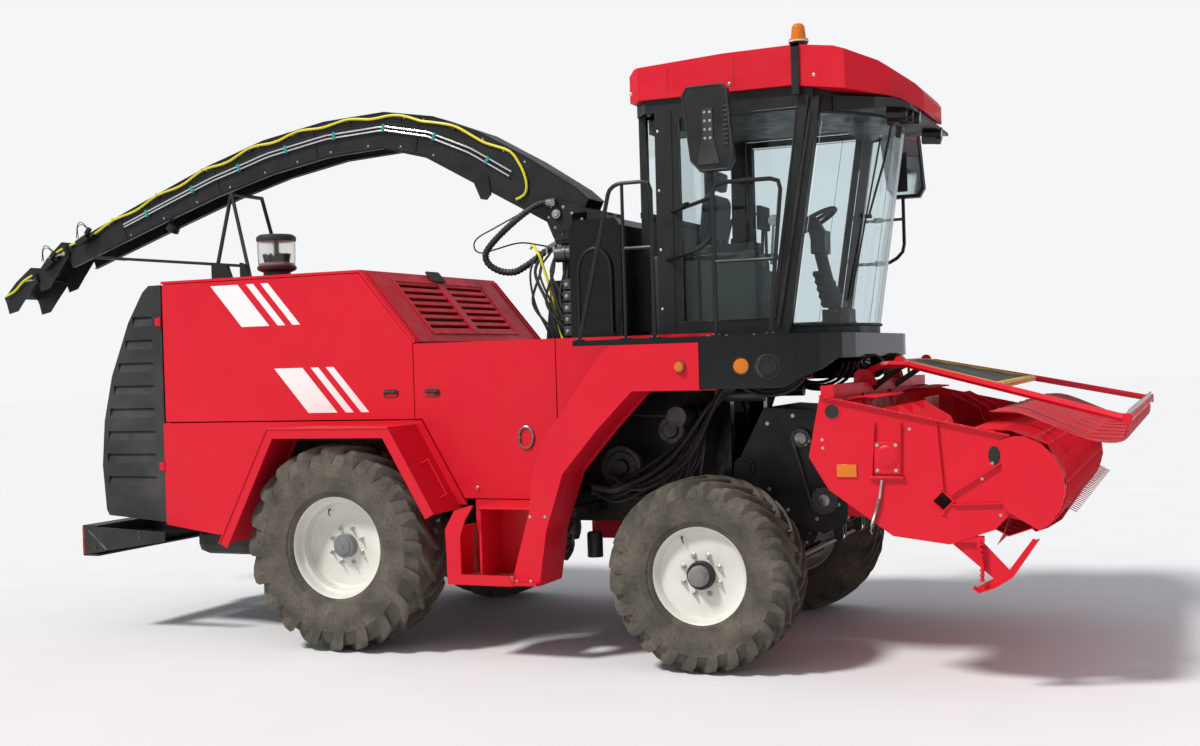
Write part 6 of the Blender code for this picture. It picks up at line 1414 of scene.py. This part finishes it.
def drive_side():
    """Belt drive, pumps, oil filters and the many hoses behind the front wheels."""
    for name, side in SIDES:
        y = side * 0.62
        pulleys = Shape()
        rolls = ((-1.55, 1.44, 0.210), (-0.80, 1.26, 0.150), (-0.42, 1.52, 0.090))
        for x, z, r in rolls:
            pulley(pulleys, x, y, z, r)
            pulleys.rod((x, side * 0.34, z), (x, y, z), 0.035, 14)
        piece("belt_pulleys_" + name, pulleys, STEEL)
        piece("drive_belt_" + name, belt(rolls, y, 0.050, 0.012), HOSE)
        pump = Shape().rod((-0.62, side * 0.60, 0.80), (-0.62, side * 0.94, 0.80), 0.085, 20)
        pump.rod((-0.62, side * 0.62, 0.80), (-0.62, side * 0.66, 0.80), 0.115, 20)
        pump.box((-0.70, -0.54), across(side, 0.47, 0.62), (0.72, 0.88))
        pump.rod((-0.30, side * 0.50, 1.62), (-0.30, side * 0.86, 1.62), 0.070, 18)
        pump.rod((-0.05, side * 0.52, 1.75), (0.22, side * 0.52, 1.75), 0.045, 14)
        piece("hydraulic_pumps_" + name, pump, STEEL)
        for k, (fx, fz) in enumerate(((-0.70, 1.86), (-0.95, 0.74))):
            filt = Shape().turned([(0.055, 0.0), (0.055, 0.16), (0.045, 0.175), (0.0, 0.175)],
                                  Matrix.Translation((fx, side * 0.80, fz - 0.09)), 20)
            piece("oil_filter_%d_%s" % (k, name), filt, BLACK)
        hoses(name, side)


def hoses(name, side):
    runs = Shape()
    thin = Shape()
    for k in range(10):
        a = 0.52 + 0.035 * (k % 5)
        b = 0.66 + 0.045 * (k % 6)
        dx = 0.05 * k
        sag = 0.06 * math.sin(1.7 * k)
        runs.bar(smooth_line([(-1.02 + dx * 0.4, side * b, 1.05 + 0.02 * k),
                              (-0.80 + dx * 0.5, side * (b + 0.05), 1.10 + sag),
                              (-0.48 + dx * 0.5, side * (a + 0.12), 1.30 + sag),
                              (-0.22 + dx * 0.4, side * (a + 0.04), 1.58 + 0.02 * k),
                              (-0.08 + dx * 0.3, side * a, 1.80),
                              (-0.04 + dx * 0.3, side * (a - 0.02), 1.99)], 6), 0.013 + 0.002 * (k % 3), 8)
        if k < 7:
            thin.bar(smooth_line([(-0.55 + dx * 0.6, side * 0.90, 0.96),
                                  (-0.40 + dx * 0.6, side * (0.86 - 0.02 * k), 1.16 + sag),
                                  (-0.30 + dx * 0.5, side * 0.72, 1.42 - sag),
                                  (-0.34 + dx * 0.4, side * 0.58, 1.70),
                                  (-0.30 + dx * 0.3, side * 0.50, 1.98)], 6),
                     0.007, 6)
    piece("drive_hoses_" + name, runs, HOSE)
    piece("drive_lines_" + name, thin, STEEL)
    curve = Shape()
    for k in range(3):
        r = 0.20 + 0.035 * k
        line = [(0.30 + r * math.cos(t), side * (0.60 + 0.03 * k), 1.95 + r * 0.75 * math.sin(t))
                for t in spaced(math.pi, math.pi, 14)]
        curve.bar(line, 0.013, 8)
    piece("front_hoses_" + name, curve, HOSE)


def chain_drive():
    """Roller chain on the feed rolls' sprockets, with their hubs and the bolts of the intake."""
    y = -0.497
    lower, upper = LOWER_SPROCKET, UPPER_SPROCKET
    links = Shape()
    centre = [Vector(lower[:2]), Vector(upper[:2])]
    along = (centre[1] - centre[0]).normalized()
    side = Vector((along.y, -along.x))
    path = []
    for t in spaced(0.0, math.pi, 12):
        path.append(centre[0] + (side * math.cos(t) - along * math.sin(t)) * lower[2])
    for i in range(17):
        path.append((centre[0] - side * lower[2]).lerp(centre[1] - side * upper[2], (i + 1) / 18))
    for t in spaced(0.0, math.pi, 8):
        path.append(centre[1] + (-side * math.cos(t) + along * math.sin(t)) * upper[2])
    for i in range(17):
        path.append((centre[1] + side * upper[2]).lerp(centre[0] + side * lower[2], (i + 1) / 18))
    for i, spot in enumerate(path):
        after = path[(i + 1) % len(path)]
        mid = (spot + after) / 2
        run = after - spot
        tilt = math.atan2(run.y, run.x)
        half = run.length / 2 + 0.005
        place = Matrix.Translation((mid.x, y, mid.y)) @ Matrix.Rotation(-tilt, 4, "Y")
        for w in (-0.0105, 0.0105) if i % 2 else (-0.0135, 0.0135):
            links.box((-half, half), (w - 0.0012, w + 0.0012), (-0.0075, 0.0075), place)
        links.rod((spot.x, y - 0.012, spot.y), (spot.x, y + 0.012, spot.y), 0.0055, 8)
    piece("feed_chain", links, STEEL, "header")
    bolts = Shape()
    for out in (-1, 1):
        for x, z in ((0.22, 1.55), (0.40, 1.60), (0.60, 1.58), (0.70, 1.40), (0.70, 1.20), (0.70, 1.00),
                     (0.55, 0.90), (0.35, 0.96), (0.22, 1.10)):
            bolts.bolt(outward(x, out * 0.470, z, out), 0.010)
        for x, z, _ in (UPPER_SPROCKET, LOWER_SPROCKET):
            bolts.turned([(0.060, 0.0), (0.060, 0.012), (0.040, 0.016), (0.038, 0.016)],
                         outward(x, out * 0.470, z, out), 24)
    piece("intake_bolts", bolts, ZINC, "header")
    hubs = Shape()
    for x, z, _ in (LOWER_SPROCKET, UPPER_SPROCKET):
        hubs.turned([(0.040, 0.0), (0.040, 0.010), (0.022, 0.014), (0.0, 0.014)],
                    facing((x, -0.5035, z), (0, -1, 0)), 20)
    piece("sprocket_hubs", hubs, SHAFT, "header")


# Header
def auger_bearing(name, side):
    y = side * HEADER_Y
    ax, az = AUGER_AXIS
    bearing = Shape().box((ax - 0.075, ax + 0.075), across(side, -0.002, 0.016, y), (az - 0.105, az + 0.085))
    bearing.turned([(0.070, 0.0), (0.070, 0.012), (0.060, 0.020), (0.048, 0.024), (0.045, 0.024)],
                   outward(ax, y + side * 0.004, az, side), 28)
    bearing.box((ax - 0.105, ax + 0.100), across(side, 0.0, 0.026, y), (az - 0.135, az - 0.118))
    piece("auger_bearing_" + name, bearing, RED, "header", bevel=0.003)


def side_plate_bolts(name, side):
    """Bolts of the bearing, the upper edge and the plate, and the rod to the float spring."""
    y = side * HEADER_Y
    ax, az = AUGER_AXIS
    bolts = Shape()
    for dx, dz in ((-0.055, -0.085), (0.055, -0.085), (-0.055, 0.065), (0.055, 0.065)):
        bolts.bolt(outward(ax + dx, y + side * 0.016, az + dz, side), 0.008)
    for i in range(12):
        x = 0.90 + 0.088 * i
        bolts.bolt(Matrix.Translation((x, y + side * 0.016, 1.7665 - 0.2228 * (x - 0.857) - 0.0005)), 0.006)
    for x, z in ((0.865, 1.50), (0.868, 1.45), (1.39, 1.56), (1.86, 1.36), (1.80, 1.27), (1.90, 1.06)):
        bolts.bolt(outward(x, y, z, side), 0.007)
    rod = [(1.222, y + side * 0.012, 1.262), (1.205, y + side * 0.014, 1.150)]
    bolts.bar(rod, 0.008, 8)
    piece("side_plate_bolts_" + name, bolts, ZINC, "header")


def float_spring(name, side):
    y = side * HEADER_Y
    spring = Shape()
    coil = []
    top, low = Vector((1.205, y + side * 0.014, 1.150)), Vector((1.155, y + side * 0.010, 0.985))
    along = (low - top).normalized()
    u = along.orthogonal().normalized()
    v = along.cross(u)
    for i in range(160):
        t = i / 159
        a = 2 * math.pi * 20 * t
        coil.append(top.lerp(low, t) + (u * math.cos(a) + v * math.sin(a)) * 0.0105)
    spring.bar(coil, 0.0030, 5)
    spring.bar([low, low + along * 0.03, low + along * 0.05 + Vector((0.015, 0, 0))], 0.0045, 6)
    piece("float_spring_" + name, spring, SHAFT, "header")


def side_reflector(name, side):
    y = side * HEADER_Y
    plate = Shape().box((0.946, 1.077), across(side, -0.001, 0.004, y), (1.268, 1.360))
    piece("reflector_base_" + name, plate, RED, "header")
    lens = Shape().box((0.952, 1.071), across(side, 0.003, 0.010, y), (1.276, 1.352))
    piece("side_reflector_" + name, lens, AMBER, "header", bevel=0.002)


def side_plate_holes(name, side):
    """Near-black discs in the plate's holes as painted shade, with the collar and welds round them."""
    y = side * HEADER_Y
    # Painted shade: thin near-black discs and a sheet set into the holes
    hole = Shape().turned([(0.043, 0.0), (0.043, 0.0012), (0.0, 0.0012)], outward(0.930, y, 1.668, side), 28)
    hole.plate([(1.574 + 0.0555 * math.cos(t), 1.139 + 0.0555 * math.sin(t))
                for t in (0, math.pi / 2, math.pi, 3 * math.pi / 2)],
               "y", *across(side, -0.06, -0.055, y))
    hole.turned([(0.034, 0.0), (0.034, 0.0012), (0.0, 0.0012)],
                outward(1.872, y, 1.405, side) @ Matrix.Diagonal((1, 1.6, 1, 1)), 24)
    piece("side_plate_hole_shade_" + name, hole, PAINTED_SHADE_BLACK, "header")
    collar = Shape().turned([(0.050, 0.0), (0.050, 0.004), (0.043, 0.004), (0.043, 0.0)],
                            outward(0.930, y, 1.668, side), 28, closed=True)
    for dz in (0.072, -0.072):
        collar.rod((1.574 - 0.012, y + side * 0.010, 1.139 + dz),
                   (1.574 + 0.012, y + side * 0.010, 1.139 + dz), 0.006, 8)
    piece("plate_collars_" + name, collar, RED, "header")


def skid_pin(name, side):
    """Bent pin with its ribs at the skid."""
    y = side * HEADER_Y
    peg = Shape().bar(smooth_line([(1.775, y - side * 0.02, 0.935), (1.772, y + side * 0.004, 0.86),
                                   (1.790, y + side * 0.004, 0.77), (1.785, y - side * 0.004, 0.68)], 4),
                      0.011, 8)
    for k in range(8):
        z = 0.68 + 0.030 * k
        peg.turned([(0.013, -0.005), (0.015, 0.0), (0.013, 0.005)], facing((1.787, y, z), (0, 0, 1)), 10)
    piece("skid_pin_" + name, peg, RED, "header")


def pickup_straps():
    """Bent straps between the rows of tines."""
    strips = Shape()
    for i in range(PICKUP_TINES):
        y = -1.43 + 2.86 * (i + 0.5) / PICKUP_TINES
        line = [(1.960 + 0.3005 * math.cos(t), y, 1.235 + 0.3155 * math.sin(t))
                for t in map(math.radians, spaced(92, -135, 10))]
        strips.bar([(1.712, y, 1.548)] + line + [(1.931, y, 0.930)], 0.0045, 6)
    piece("pickup_straps", strips, RED, "header")


def pickup_tines():
    """Four rows of bent tines, each with its coil at the tube."""
    tines = Shape()
    x, z = REEL_AXIS
    for k in range(4):
        a = math.radians(-20) + math.pi / 2 * k
        for y in spaced(-1.41, 2.82, PICKUP_TINES - 1):
            root = Vector((x + 0.152 * math.cos(a), y, z + 0.152 * math.sin(a)))
            knee = Vector((x + 0.250 * math.cos(a + 0.03), y, z + 0.250 * math.sin(a + 0.03)))
            tip = Vector((x + 0.344 * math.cos(a - 0.02), y, z + 0.344 * math.sin(a - 0.02)))
            tines.bar([root, knee, tip], 0.0036, 5, [0.0042, 0.0038, 0.0028])
            tines.bar(circle(root, 0.0185, "y", 8), 0.0036, 5, loop=True)
    # Tines in the pinker red with painted sheen
    piece("pickup_tines", tines, SHEEN_ROD_RED, "reel")


def crop_strippers():
    backs = Shape()
    for y in spaced(-1.30, 2.60, 25):
        if abs(y) > 0.44:
            line = [(0.905, y, 1.560), (0.935, y, 1.690), (1.02, y, 1.745), (1.16, y, 1.742)]
            backs.bar(smooth_line(line, 3), 0.0055, 6)
    piece("crop_strippers", backs, RED, "header")


def guard_dampers():
    """Damper and its bowed hose on each side of the guard's pivot."""
    mounts = Shape()
    for side in (-1, 1):
        mounts.rod((0.93, side * 0.36, 1.775), (1.135, side * 0.43, 1.915), 0.020, 12)
        mounts.bar(smooth_line([(0.90, side * 0.44, 1.84), (0.84, side * 0.40, 1.94),
                                (0.94, side * 0.36, 2.00), (1.02, side * 0.38, 1.94),
                                (1.03, side * 0.39, 1.86)], 6), 0.009, 8)
    piece("guard_dampers", mounts, HOSE, "header")


def header_fittings():
    """What the header's side plates, pickup and back carry."""
    for name, side in SIDES:
        for fit in (auger_bearing, side_plate_bolts, float_spring, side_reflector, side_plate_holes,
                    skid_pin):
            fit(name, side)
    pickup_straps()
    pickup_tines()
    crop_strippers()
    guard_dampers()


def guard_fittings():
    """Rubber mat with its yellow edge, the row of nuts, and the long curved crop rods."""
    tilt = Matrix.Translation((1.14, 0, 1.945)) @ Matrix.Rotation(math.atan2(0.155, 0.69), 4, "Y")
    mat = Shape()
    rings = []
    steps = 16
    for i in range(steps + 1):
        t = i / steps
        half = 0.385 + 0.455 * t
        fold = 0.006 + 0.004 * math.sin(t * 22.0)
        rings.append([tilt @ Vector((0.012 + 0.69 * t, s * half, w))
                      for s, w in ((-1, 0.0045), (1, 0.0045), (1, fold + 0.0045), (-1, fold + 0.0045))])
    mat.grid(rings)
    piece("guard_mat", mat, MAT, "guard")
    edge = Shape()
    corner = [tilt @ Vector(p) for p in ((0.0, -0.400, 0.006), (0.0, 0.400, 0.006), (0.705, 0.872, 0.006),
                                         (0.705, -0.872, 0.006))]
    for a, b, width in ((corner[0], corner[3], 0.018), (corner[1], corner[2], 0.018),
                        (corner[2], corner[3], 0.026)):
        edge.bar([a, b], width, 4)
    piece("guard_mat_edge", edge, EDGE, "guard")
    caps = Shape()
    for y in spaced(-1.48, 2.96, GUARD_RODS - 1):
        caps.turned([(0.012, 0.0), (0.012, 0.012), (0.007, 0.013), (0.007, 0.030), (0.0, 0.031)],
                     facing((2.600, y, 1.632), (0.35, 0, 1)), 6)
    piece("guard_rod_nuts", caps, ZINC, "guard")
    rods = Shape()
    for y in spaced(-1.45, 2.90, GUARD_RODS - 1):
        line = smooth_line([(2.602, y, 1.596), (2.590, y, 1.500), (2.50, y, 1.475), (2.34, y, 1.510),
                            (2.02, y, 1.645), (1.86, y, 1.657)], 4)
        rods.bar(line, 0.0048, 6)
    # Crop rods in the pinker red with painted sheen
    piece("guard_rods", rods, SHEEN_ROD_RED, "guard")
    ends = Shape()
    for side in (-1, 1):
        ends.box((2.575, 2.625), across(side, 1.5535, 1.546), (1.580, 1.640))
        ends.turned([(0.034, -0.022), (0.034, 0.022), (0.0, 0.022)],
                    facing((GUARD_PIVOT[0], side * 0.472, GUARD_PIVOT[1]), (0, 1, 0)), 20)
        ends.turned([(0.033, -0.024), (0.033, 0.024), (0.0, 0.024)],
                    facing((1.14, side * 0.475, 1.955), (0, 1, 0)), 20)
    piece("guard_eyes", ends, RED, "guard")


# Frame, axles and tank
def chassis_fittings():
    """Bolts on the axles and tank straps, steering hoses and brake lines."""
    bolts = Shape()
    for side in (-1, 1):
        for t in around(10):
            bolts.bolt(facing((0.125 * math.cos(t), side * 0.922, 0.625 + 0.125 * math.sin(t)),
                              (0, -side, 0)), 0.011)
        for dx in (-0.09, 0.03):
            bolts.bolt(outward(dx, side * 0.475, 0.80, side), 0.014)
        for x in (-4.35, -3.4, -2.3, -1.3, -0.3):
            bolts.bolt(outward(x, side * 0.460, 0.96, side), 0.013)
    piece("frame_bolts", bolts, ZINC)
    lines = Shape()
    for side in (-1, 1):
        lines.bar(smooth_line([(-2.72, side * 0.20, 0.80), (-2.58, side * 0.30, 0.92),
                               (-2.30, side * 0.33, 0.98), (-1.70, side * 0.33, 1.03),
                               (-0.6, side * 0.33, 0.90), (-0.2, side * 0.30, 0.74)], 5), 0.010, 8)
        lines.bar(smooth_line([(-0.10, side * 0.34, 0.70), (-0.14, side * 0.55, 0.74),
                               (-0.12, side * 0.80, 0.72), (-0.08, side * 0.90, 0.70)], 5), 0.007, 6)
    piece("brake_lines", lines, HOSE)
    cap = Shape().turned([(0.045, 0.0), (0.045, 0.025), (0.035, 0.03), (0.0, 0.03)],
                         Matrix.Translation((-4.18, 0.84, 0.812)), 20)
    piece("tank_cap", cap, GASKET)
    vent = Shape().rod((-4.01, -0.80, 0.615), (-4.01, -0.80, 0.5905), 0.014, 10)
    piece("tank_drain", vent, ZINC)


# Stage, light and camera
FLOOR_SIZE = 160.0
SKY_COLOR = (0.90, 0.95, 1.0, 1.0)
SKY_STRENGTH = 0.50
BACKDROP_COLOR = (0.915, 0.920, 0.935, 1.0)
SUN_STRENGTH = 2.9
SUN_SPREAD = 9
SUN_COLOR = (1.0, 0.975, 0.94)
SUN_SIDE = (-0.42, -0.58, 0.86)


def stage():
    """Pale floor."""
    bpy.ops.mesh.primitive_plane_add(size=FLOOR_SIZE)
    floor = bpy.context.active_object
    floor.name = "studio_floor"
    surface = Finish("floor_finish", (0.80, 0.80, 0.81), 0.9)
    surface.tint(surface.spread(surface.noise(1.2, 8.0), 0.4, 0.7, 0.0, 0.25), (0.72, 0.72, 0.74))
    surface.bump(surface.noise(60.0, 6.0), 0.15, 0.004)
    floor.data.materials.append(surface.mat)


def light():
    """Soft sky, a pale backdrop for the camera and glass alone, and one sun."""
    world = bpy.data.worlds.new("studio")
    bpy.context.scene.world = world
    world.use_nodes = True
    nodes = world.node_tree.nodes
    links = world.node_tree.links
    out = nodes["World Output"]
    soft = nodes["Background"]
    soft.inputs["Color"].default_value = SKY_COLOR
    soft.inputs["Strength"].default_value = SKY_STRENGTH
    seen = nodes.new("ShaderNodeBackground")
    seen.inputs["Color"].default_value = BACKDROP_COLOR
    seen.inputs["Strength"].default_value = 1.0
    path = nodes.new("ShaderNodeLightPath")
    either = nodes.new("ShaderNodeMath")
    either.operation = "MAXIMUM"
    links.new(path.outputs["Is Camera Ray"], either.inputs[0])
    links.new(path.outputs["Is Transmission Ray"], either.inputs[1])
    mix = nodes.new("ShaderNodeMixShader")
    links.new(either.outputs["Value"], mix.inputs["Fac"])
    links.new(soft.outputs["Background"], mix.inputs[1])
    links.new(seen.outputs["Background"], mix.inputs[2])
    links.new(mix.outputs["Shader"], out.inputs["Surface"])
    sun = bpy.data.lights.new("sun", "SUN")
    sun.energy = SUN_STRENGTH
    sun.angle = math.radians(SUN_SPREAD)
    sun.color = SUN_COLOR
    lamp_object = bpy.data.objects.new("sun", sun)
    lamp_object.rotation_euler = Vector(SUN_SIDE).to_track_quat("Z", "Y").to_euler()
    bpy.context.scene.collection.objects.link(lamp_object)


PHOTO_FOCAL_PX = 1439.0
PHOTO_WIDTH_PX = 1200.0
CAMERA_SPOT = (3.045, -9.99, 2.03)
CAMERA_AZIMUTH = 23.1
CAMERA_PITCH = -0.58
CAMERA_ROLL = 1.71


def camera():
    """Camera at the place and with the angles that the photograph was taken from."""
    data = bpy.data.cameras.new("camera")
    data.sensor_width = 36.0
    data.lens = 36.0 * PHOTO_FOCAL_PX / PHOTO_WIDTH_PX
    data.clip_end = 400.0
    obj = bpy.data.objects.new("camera", data)
    turn, pitch, roll = (math.radians(a) for a in (CAMERA_AZIMUTH, CAMERA_PITCH, CAMERA_ROLL))
    ahead = Vector((-math.sin(turn) * math.cos(pitch), math.cos(turn) * math.cos(pitch), math.sin(pitch)))
    level = Vector((math.cos(turn), math.sin(turn), 0.0))
    up = level.cross(ahead)
    right = level * math.cos(roll) - up * math.sin(roll)
    top = up * math.cos(roll) + level * math.sin(roll)
    spot = Vector(CAMERA_SPOT) + Vector((AXLE_X, 0, 0))
    obj.matrix_world = Matrix.Translation(spot) @ Matrix((right, top, -ahead)).transposed().to_4x4()
    bpy.context.scene.collection.objects.link(obj)
    bpy.context.scene.camera = obj


camera()
dress_nodes()
turret_fittings()
wheels()
stripes()
side_fittings()
louvre_deck()
cowl()
bumper_lamps()
air_cleaner()
spout_fittings()
fascia_lamps()
beacon()
roof_trim()
cab_fittings()
door_fittings()
seat()
platform_fittings()
drive_side()
chain_drive()
header_fittings()
guard_fittings()
chassis_fittings()
stage()
light()
bpy.context.scene.view_settings.view_transform = "Standard"
